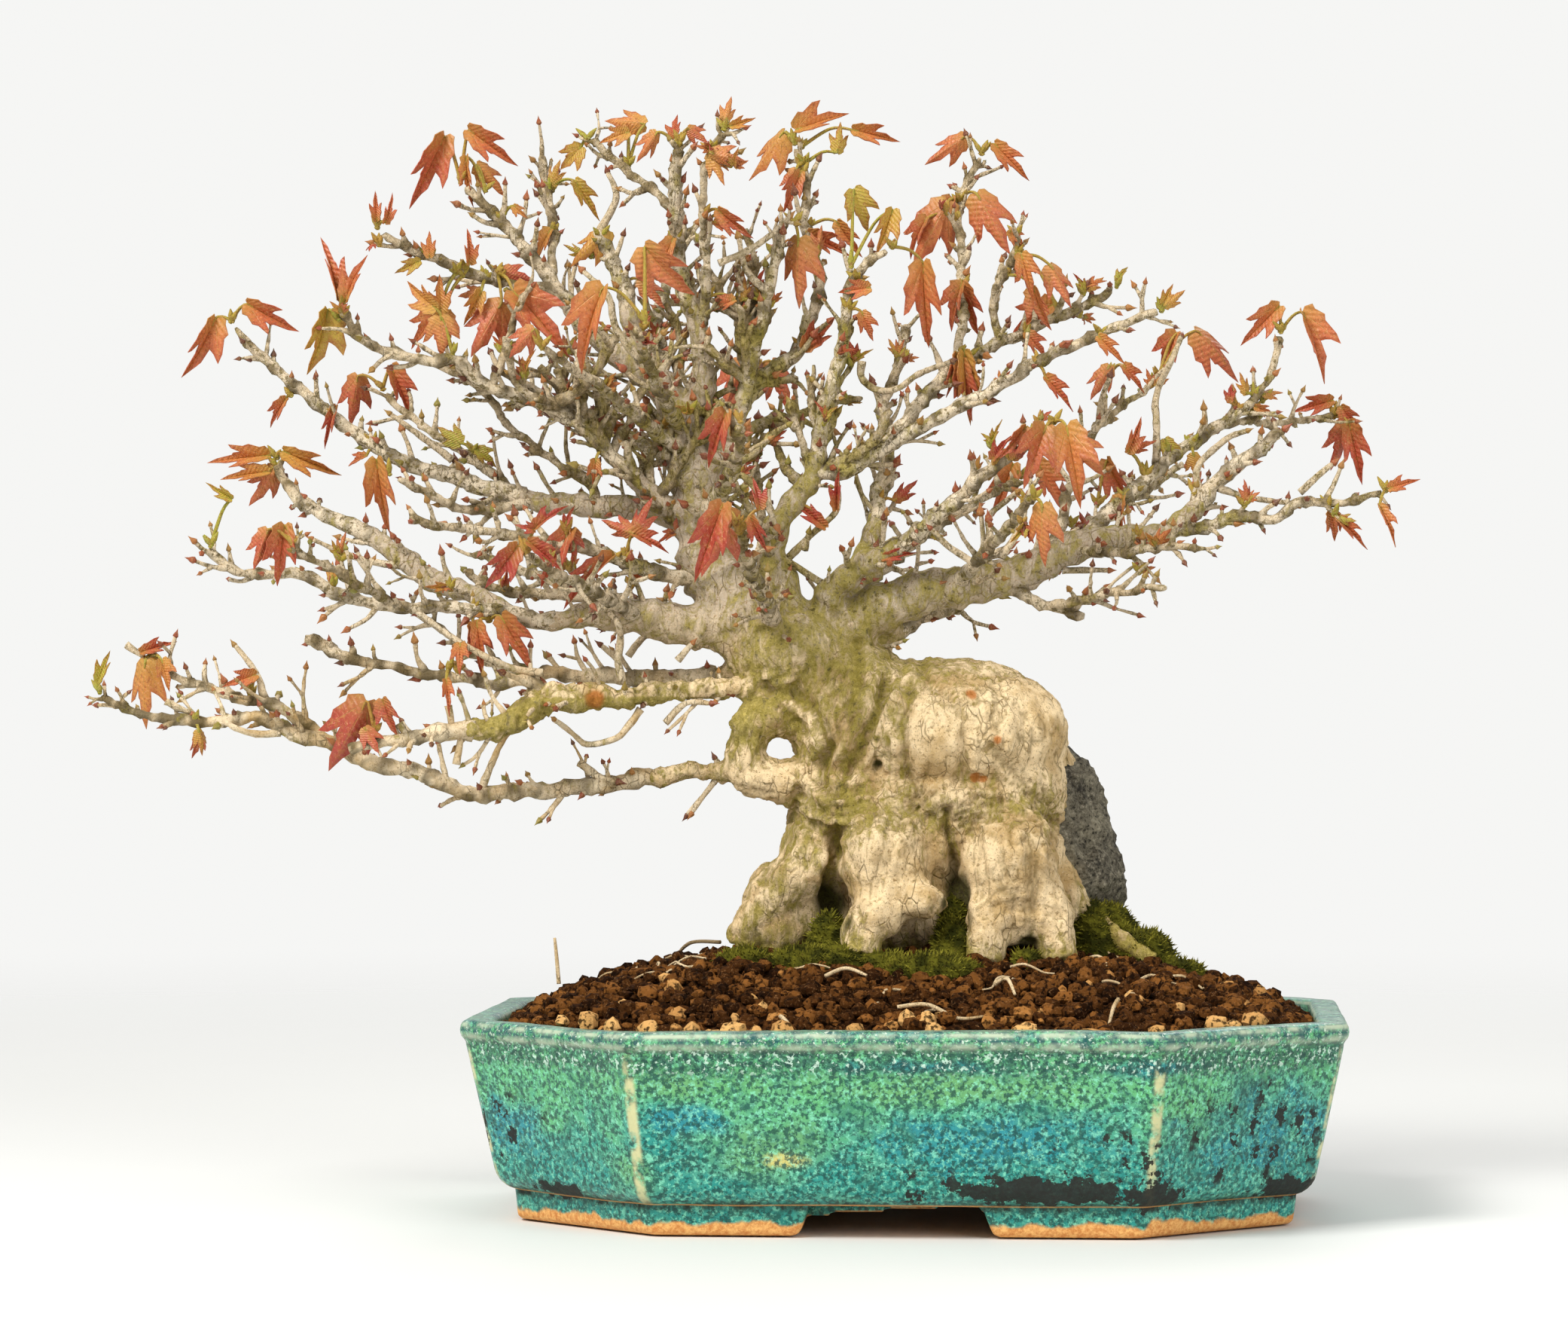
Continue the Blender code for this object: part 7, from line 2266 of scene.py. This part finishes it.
@dataclass
class Blade:
    """The outline of a three-lobed leaf.

    Attributes:
        angles: Angles from the midrib at which its edge is given.
        reaches: How far the edge reaches at each, in shares of the leaf's length.
        teeth: How far a tooth or a notch strays from the edge at each.
        rings: Where its points lie between the neck and the edge.
        veins: Angles of the veins.
    """

    angles: tuple[float, ...] = (0, 7, 14, 19, 24, 31, 38, 46, 56, 68, 84, 102, 120)
    reaches: tuple[float, ...] = (1.0, 0.81, 0.65, 0.53, 0.49, 0.62, 0.77, 0.60, 0.46, 0.36, 0.29, 0.2, 0.12)
    teeth: tuple[float, ...] = (0, 0.03, -0.05, 0.05, -0.02, 0.04, 0.0, -0.05, 0.05, -0.04, 0.03, -0.02, 0.0)
    rings: tuple[float, ...] = (0.0, 0.25, 0.5, 0.75, 0.9, 1.0)
    veins: tuple[float, ...] = (0, 38, 90)

    def grow(self, neck: Vector, tip: Vector, width: float,
             chance: random.Random) -> tuple[list, list, list, list, list]:
        """Shape one leaf between its neck and its tip.

        Args:
            neck: Where the stalk meets the blade.
            tip: The end of the middle lobe.
            width: Its width as it hangs.
            chance: The random source.

        Returns:
            Points, faces, vein values, edge values and map places of the points.
        """
        along = tip - neck
        length = along.length
        along.normalize()
        share = min(1.0, max(0.2, width / (0.95 * length)))
        facing = Vector((chance.uniform(-0.55, 0.55), -1, chance.uniform(-0.1, 0.6)))
        across = along.cross(facing).normalized()
        normal = across.cross(along)
        fold = math.acos(min(1.0, share ** 0.55)) * chance.choice((1, 1, 1, -0.6))
        stretch = share ** 0.45
        droop, twist = chance.uniform(0.04, 0.2), chance.uniform(-0.3, 0.3)
        curl = chance.uniform(0.05, 0.24)
        sides = [(-a, r, -t) for a, r, t in zip(self.angles, self.reaches, self.teeth)][:0:-1]
        sides += list(zip(self.angles, self.reaches, self.teeth))
        points, veins, edges, places = [], [], [], []
        for angle, reach, tooth in sides:
            lean = math.radians(angle)
            wave = chance.uniform(-0.025, 0.025)
            for ring in self.rings:
                out = ring * (reach + abs(tooth) * math.copysign(1, tooth) * ring)
                u, v = math.sin(lean) * out * stretch, math.cos(lean) * out
                bowed = abs(u) * math.cos(fold)
                lift = abs(u) * math.sin(fold) - curl * out * out + wave * ring * ring
                lift -= droop * v * v
                side = math.copysign(bowed, u) + twist * lift
                points.append(neck + (along * v + across * side + normal * lift) * length)
                nearest = min(abs(abs(angle) - vein) for vein in self.veins)
                veins.append(math.exp(-(nearest / 6.0) ** 2) * (1 - 0.4 * ring))
                edges.append(ring)
                places.append((0.5 + u * 0.5, v * 0.8 + 0.1))
        count = len(self.rings)
        faces = []
        for i in range(len(sides) - 1):
            for r in range(count - 1):
                a, b = i * count + r, (i + 1) * count + r
                faces.append((a, b, b + 1, a + 1))
        return points, faces, veins, edges, places


@dataclass
class Foliage:
    """All young leaves on their stalks, with the bud scales at the foot of each shoot.

    Attributes:
        growth: The routes of the limbs they grow from.
        ends: Place, direction and thickness of every twig's end.
        blade: The outline of a leaf.
        leaflets: How many twigs end in an unfolding leaflet.
        leaflet_tints: The tints they may have.
        thickness: Of a blade, in millimetres.
        stalk: Radius of a stalk.
        tints: Tint range of a shoot whose leaves aren't the common orange red.
    """

    growth: Growth
    ends: Sequence[tuple[Vector, Vector, float]] = ()
    blade: Blade = field(default_factory=Blade)
    leaflets: int = 70
    leaflet_tints: tuple[float, ...] = (0.15, 0.35, 0.6, 0.8, 0.95)
    thickness: float = 0.22
    stalk: float = 0.42
    tints: tuple[tuple[str, Flat], ...] = (
        ("olive", (0.86, 1.0)), ("yellow", (0.92, 1.0)), ("green", (0.92, 1.0)),
        ("hanging_tongue", (0.55, 0.7)), ("apex_under", (0.45, 0.6)), ("big_droop", (0.5, 0.66)),
        ("shelf_star", (0.5, 0.7)), ("red", (0.08, 0.22)), ("low_left", (0.1, 0.3)), ("left_drop", (0.3, 0.45)),
        ("top_bud", (0.7, 0.9)), ("crest", (0.35, 0.8)), ("fan_cluster", (0.55, 0.8)),
        ("high_right", (0.35, 0.55)), ("right_tuft", (0.6, 0.9)))

    def tint_of(self, name: str, chance: random.Random) -> float:
        """Choose a shoot's tint.

        Args:
            name: The shoot's name.
            chance: The random source.

        Returns:
            The tint.
        """
        for part, (low, high) in self.tints:
            if part in name:
                return chance.uniform(low, high)
        return chance.triangular(0.12, 0.72, 0.42)

    def shoot(self, name: str, foot: Vector, leaves: Sequence[tuple[Vector, Vector, float, float]],
              chance: random.Random) -> bpy.types.Object:
        """Build one shoot.

        Args:
            name: The piece's name.
            foot: Where its stalks start.
            leaves: Neck, tip, width and tint of each leaf.
            chance: The random source.

        Returns:
            The shoot as one mesh.
        """
        points, faces, veins, edges, tints, places = [], [], [], [], [], []
        stalks = Bundle(name + "_stalks", 6)
        for neck, tip, width, tint in leaves:
            new_points, new_faces, new_veins, new_edges, new_places = self.blade.grow(neck, tip, width, chance)
            faces += [tuple(len(points) + number for number in face) for face in new_faces]
            points += new_points
            veins += new_veins
            edges += new_edges
            places += new_places
            tints += [tint] * len(new_points)
            bow = foot.lerp(neck, 0.55) + Vector((0, 0, 0.16 * (neck - foot).length))
            start = foot + (foot - bow).normalized() * 0.8
            stalks.add_tapered([start, bow, neck, neck.lerp(tip, 0.12)],
                               (self.stalk * 1.3, self.stalk, self.stalk * 0.9, 0.2), 0.9)
        blades = mesh_object(name, points, faces)
        layer = blades.data.uv_layers.new(name="UVMap")
        for loop in blades.data.loops:
            layer.data[loop.index].uv = places[loop.vertex_index]
        set_values(blades.data, "vein", veins)
        set_values(blades.data, "edge", edges)
        set_values(blades.data, "tint", tints)
        clean(blades, 1e-3, outwards=False)
        modify(blades, "SOLIDIFY", thickness=self.thickness, offset=0)
        for _ in range(3):
            lean = Vector((chance.uniform(-0.7, 0.7), chance.uniform(-0.7, 0.3), chance.uniform(0.5, 1)))
            lean.normalize()
            length = chance.uniform(2.2, 4.0)
            stalks.add_tapered([foot - lean * 0.6, foot + lean * length * 0.45, foot + lean * length],
                               (0.5, 0.75, 0.12), 0.8)
        stems = stalks.build()
        count = len(stems.data.vertices)
        set_values(stems.data, "vein", [0.25] * count)
        set_values(stems.data, "tint", [min(1.0, 0.2 * leaves[0][3] + 0.82)] * count)
        return joined(name, [blades, stems])

    def main_shoots(self, chance: random.Random, material: bpy.types.Material) -> None:
        """Build the shoots that stand for the CAD model's leaves.

        Args:
            chance: The random source.
            material: Their finish.
        """
        for name, limb, (x, z), leaves in SHOOTS:
            low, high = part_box(name)
            depth = (GROVE.inverted() @ ((low + high) / 2)).y
            root = self.growth.nearest(limb, x, z).y
            tint = self.tint_of(name, chance)
            grown = []
            for i, (neck, tip, width) in enumerate(leaves):
                lean = depth - root + (-1.5 if i else 1.5)
                grown.append((seen_place(neck[0], root + 0.6 * lean, neck[1]),
                              seen_place(tip[0], root + lean * 1.1, tip[1]), width,
                              min(1.0, max(0.0, tint + chance.uniform(-0.1, 0.1)))))
            piece = self.shoot(name + "_leaves", seen_place(x, root, z), grown, chance)
            piece.data.transform(GROVE)
            settle(piece, Slot.LEAF, material, name, smooth=60)

    def small_leaves(self, chance: random.Random, material: bpy.types.Material) -> None:
        """Build the small leaves and the unfolding leaflets between them as one piece.

        Args:
            chance: The random source.
            material: Their finish.
        """
        pieces = []
        for i, (base, tip, width, tint) in enumerate(LEAVES):
            on_limb = self.growth.nearest_of_all(*base)
            y = on_limb.y - chance.uniform(0.5, 3.5)
            neck = seen_place(base[0], y, base[1])
            foot = neck + (seen_place(on_limb.x, on_limb.y, on_limb.z) - neck) * 0.9
            if (foot - neck).length < 1.5:
                foot = neck + Vector((chance.uniform(-0.5, 0.5), 1.2, -1.4))
            end = seen_place(tip[0], y + chance.uniform(-3, 1.5), tip[1])
            pieces.append(self.shoot(f"small_{i}", foot, [(neck, end, width, tint)], chance))
        high = [end for end in self.ends if end[0].z > 150]
        for i, (place, heading, _) in enumerate(chance.sample(high, self.leaflets)):
            leaves = []
            for side in (1, -1)[:chance.choice((1, 2, 2))]:
                spread = Vector((side * chance.uniform(0.3, 0.9), chance.uniform(-0.7, 0.2),
                                 chance.uniform(-0.5, 0.6)))
                tip = place + (heading + spread).normalized() * chance.uniform(3.0, 6.5)
                leaves.append((place.copy(), tip, chance.uniform(1.8, 3.2), chance.choice(self.leaflet_tints)))
            pieces.append(self.shoot(f"leaflet_{i}", place - heading * 1.5, leaves, chance))
        small = joined("small_leaves", pieces)
        small.data.transform(GROVE)
        settle(small, Slot.LEAF, material, smooth=60)

    def build(self) -> None:
        """Build every shoot."""
        chance = random.Random(23)
        material = LeafFinish().build()
        self.main_shoots(chance, material)
        self.small_leaves(chance, material)


# ---------------------------------------------------------------- rock and moss


@dataclass
class Rock:
    """The dark rock that the roots grip.

    Attributes:
        voxel: Fineness of its skin, in millimetres.
    """

    voxel: float = 1.1

    def build(self) -> None:
        """Build the rock from its lumps and break up its surface."""
        rock = body_object("gripped_rock", balls(ROCK_MASSES, 4))
        skin(rock, self.voxel, 4)
        points, normals = points_of(rock.data), normals_of(rock.data)
        chips = np.abs(unevenness(points, 13, 3.7, 3)) * -3.4 + 0.9
        shift = chips + 0.8 * unevenness(points, 4, 9.1, 3) + 0.35 * unevenness(points, 1.6, 5.2, 2)
        move_points(rock.data, points + normals * shift[:, None])
        rock.data.transform(GROVE)
        settle(rock, Slot.STONE, StoneFinish().build(), "rock")


@dataclass
class MossCushions:
    """Moss at the foot of the tree, as soft cushions covered in short tufts.

    Attributes:
        soil: The ground that it grows on.
        tufts: A third of this is the share of a cushion's points that carry a tuft.
        extra: Patch, place (x, y) and half-sizes of the lumps beside the first ones.
    """

    soil: Soil
    tufts: float = 2.2
    extra: tuple[tuple[str, Flat, Place], ...] = (
        ("moss_front", (-17, -27), (5, 5, 6)), ("moss_front", (10, -20), (6, 5, 10)),
        ("moss_front", (27, -24), (4, 4, 4)), ("moss_right", (44, -2), (6, 8, 14)),
        ("moss_right", (49, 3), (8, 8, 14)), ("moss_right", (56, -3), (9, 6, 9)),
        ("moss_right", (65, -6), (7, 5, 4)), ("moss_left", (-40, -14), (8, 6, 4)),
        ("moss_left", (-20, -17), (6, 5, 12)), ("moss_front", (10, -14), (5, 5, 15)),
        ("moss_front", (-6, -28), (8, 5, 4)))

    def lumps(self, name: str) -> list[tuple[Place, Place]]:
        """List the lumps of one patch of moss.

        Args:
            name: The patch.

        Returns:
            Centre and half-sizes of each.
        """
        found = []
        for key, (x, y), size in MOSS + self.extra:
            if key == name:
                at = GROVE @ Vector((x, y, 0)) - POT_MIDDLE
                found.append(((x, y, self.soil.level(at.x / MM, at.y / MM) - 0.8), size))
        return found

    def build(self) -> None:
        """Build each patch."""
        chance = random.Random(17)
        material = MossFinish().build()
        for name, _, _ in MOSS:
            cushion = body_object(name + "_cushion", balls(self.lumps(name), 3))
            skin(cushion, 1.0, 3)
            points, normals = points_of(cushion.data), normals_of(cushion.data)
            points += normals * (0.9 * unevenness(points, 4, 2.6, 3))[:, None]
            move_points(cushion.data, points)
            set_values(cushion.data, "tip", [0.1] * len(points))
            tufts = self.cover(points, normals, chance)
            patch = joined(name + "_tufts", [cushion, tufts])
            patch.data.transform(GROVE)
            settle(patch, Slot.MOSS, material, name, smooth=60)

    def cover(self, points: np.ndarray, normals: np.ndarray, chance: random.Random) -> bpy.types.Object:
        """Plant short three-sided tufts on a cushion.

        Args:
            points: The cushion's points.
            normals: The direction outwards at each.
            chance: The random source.

        Returns:
            All its tufts as one mesh.
        """
        corners, faces, tips = [], [], []
        for point, normal in zip(points, normals):
            if normal[2] < -0.1 or chance.random() > self.tufts / 3:
                continue
            root = Vector(point)
            up = Vector(normal) + Vector([chance.uniform(-0.5, 0.5) for _ in range(3)])
            up.normalize()
            across = up.orthogonal().normalized()
            other = up.cross(across)
            size = chance.uniform(0.22, 0.42)
            first = len(corners)
            for k in range(3):
                angle = math.tau * k / 3
                corners.append(root + (across * math.cos(angle) + other * math.sin(angle)) * size - up * 0.2)
            corners.append(root + up * chance.uniform(0.7, 1.7))
            faces += [(first + k, first + (k + 1) % 3, first + 3) for k in range(3)]
            faces.append((first + 2, first + 1, first))
            tips += [0.1, 0.1, 0.1, 1.0]
        tufts = mesh_object("tufts", corners, faces)
        set_values(tufts.data, "tip", tips)
        return tufts


# ---------------------------------------------------------------- stage


@dataclass
class Studio:
    """A pale floor that fades into a pale background, three soft lights and the camera.

    Attributes:
        lens: The camera's focal length.
        backdrop: Brightness of the background as the camera sees it.
        ambient: Brightness of the light from all round.
        floor_radius: Radius of the floor, in metres like the next.
        fade: Where the floor starts to fade, and where it is clear.
    """

    lens: float = 125.0
    backdrop: float = 0.92
    ambient: float = 0.52
    floor_radius: float = 1.5
    fade: Flat = (0.30, 1.25)

    def camera(self) -> None:
        """Set up the camera, level and square to the tree."""
        data = bpy.data.cameras.new("camera")
        data.lens = self.lens
        data.sensor_width = 36
        data.clip_end = 20
        camera = bpy.data.objects.new("camera", data)
        camera.location = GROVE @ Vector(EYE)
        camera.rotation_euler = (math.radians(90), 0, TREE_TURN)
        bpy.context.scene.collection.objects.link(camera)
        bpy.context.scene.camera = camera

    def floor(self) -> None:
        """Lay the floor: a wide disc that is clear at its edge."""
        bpy.ops.mesh.primitive_circle_add(vertices=96, radius=self.floor_radius, fill_type="NGON",
                                          location=(POT_MIDDLE.x, POT_MIDDLE.y, -0.0004))
        floor = bpy.context.object
        floor.name = "pale_floor"
        choose(floor)
        bpy.ops.object.transform_apply(location=True, rotation=True, scale=True)
        f = Finish("pale_floor", 0.6)
        away = f.node("ShaderNodeVectorMath", {0: f.point}, operation="LENGTH").outputs["Value"]
        shown = f.span(away, self.fade[0] * 1000, self.fade[1] * 1000, 1, 0)
        f.colour = f.mix(f.noise(f.point, 0.004, 3), (0.72, 0.725, 0.71), (0.75, 0.755, 0.745))
        floor.data.materials.append(f.show(Alpha=shown))

    def world(self) -> None:
        """Light the scene from all round, with the background as a pale even tone."""
        world = bpy.data.worlds.new("studio")
        world.use_nodes = True
        bpy.context.scene.world = world
        sheet = NodeSheet(world.node_tree)
        seen = sheet.node("ShaderNodeLightPath").outputs["Is Camera Ray"]
        inputs = {"Value": seen, "To Min": self.ambient, "To Max": self.backdrop}
        glow = sheet.node("ShaderNodeMapRange", inputs)
        background = world.node_tree.nodes["Background"]
        background.inputs["Color"].default_value = (1.0, 1.0, 0.985, 1)
        world.node_tree.links.new(glow.outputs["Result"], background.inputs["Strength"])

    def lamp(self, name: str, place: Place, size: float, power: float, tone: Place) -> None:
        """Hang one square soft light aimed at the tree.

        Args:
            name: The light's name.
            place: Where it hangs, in metres.
            size: Length of its side.
            power: Its strength in watts.
            tone: Its colour.
        """
        data = bpy.data.lights.new(name, "AREA")
        data.size = size
        data.energy = power
        data.color = tone
        lamp = bpy.data.objects.new(name, data)
        lamp.location = place
        lamp.rotation_euler = (Vector((0, 0, 0.12)) - lamp.location).to_track_quat("-Z", "Y").to_euler()
        bpy.context.scene.collection.objects.link(lamp)

    def build(self) -> None:
        """Set up the camera, the floor and the lights."""
        self.camera()
        self.floor()
        self.world()
        self.lamp("key", (-0.75, -0.95, 1.3), 0.6, 31, (1.0, 0.98, 0.94))
        self.lamp("fill", (1.0, -1.1, 0.7), 0.9, 10, (1.0, 0.99, 0.97))
        self.lamp("back", (0.3, 1.2, 1.1), 0.9, 6, (1.0, 1.0, 1.0))
        bpy.context.scene.view_settings.view_transform = "Standard"
        LOG.info("studio: camera, floor and three lights")


def dress_drainage() -> None:
    """Give the drain screens and their clips worn plastic and wire."""
    plastic = TrimFinish("mesh_plastic", (0.018, 0.018, 0.018), (0.06, 0.05, 0.04), 0.55).build()
    wire = TrimFinish("clip_steel", (0.42, 0.41, 0.39), (0.22, 0.12, 0.06), 0.38, 1.0).build()
    for side in ("left", "right"):
        for name, material in (("drain_screen_", plastic), ("screen_clip_", wire)):
            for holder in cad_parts[name + side].material_slots:
                holder.material = material


def main() -> None:
    """Build every piece in order."""
    logging.basicConfig(level=logging.INFO, format="%(message)s")
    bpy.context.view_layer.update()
    pot = Pot()
    pot.build()
    soil = Soil(pot)
    soil.build()
    Rock().build()
    MossCushions(soil).build()
    growth = Growth()
    tree = Tree(growth)
    tree.build()
    Foliage(growth, tree.bud_ends).build()
    dress_drainage()
    Studio().build()
    bpy.context.view_layer.update()


if __name__ == "__main__":
    main()
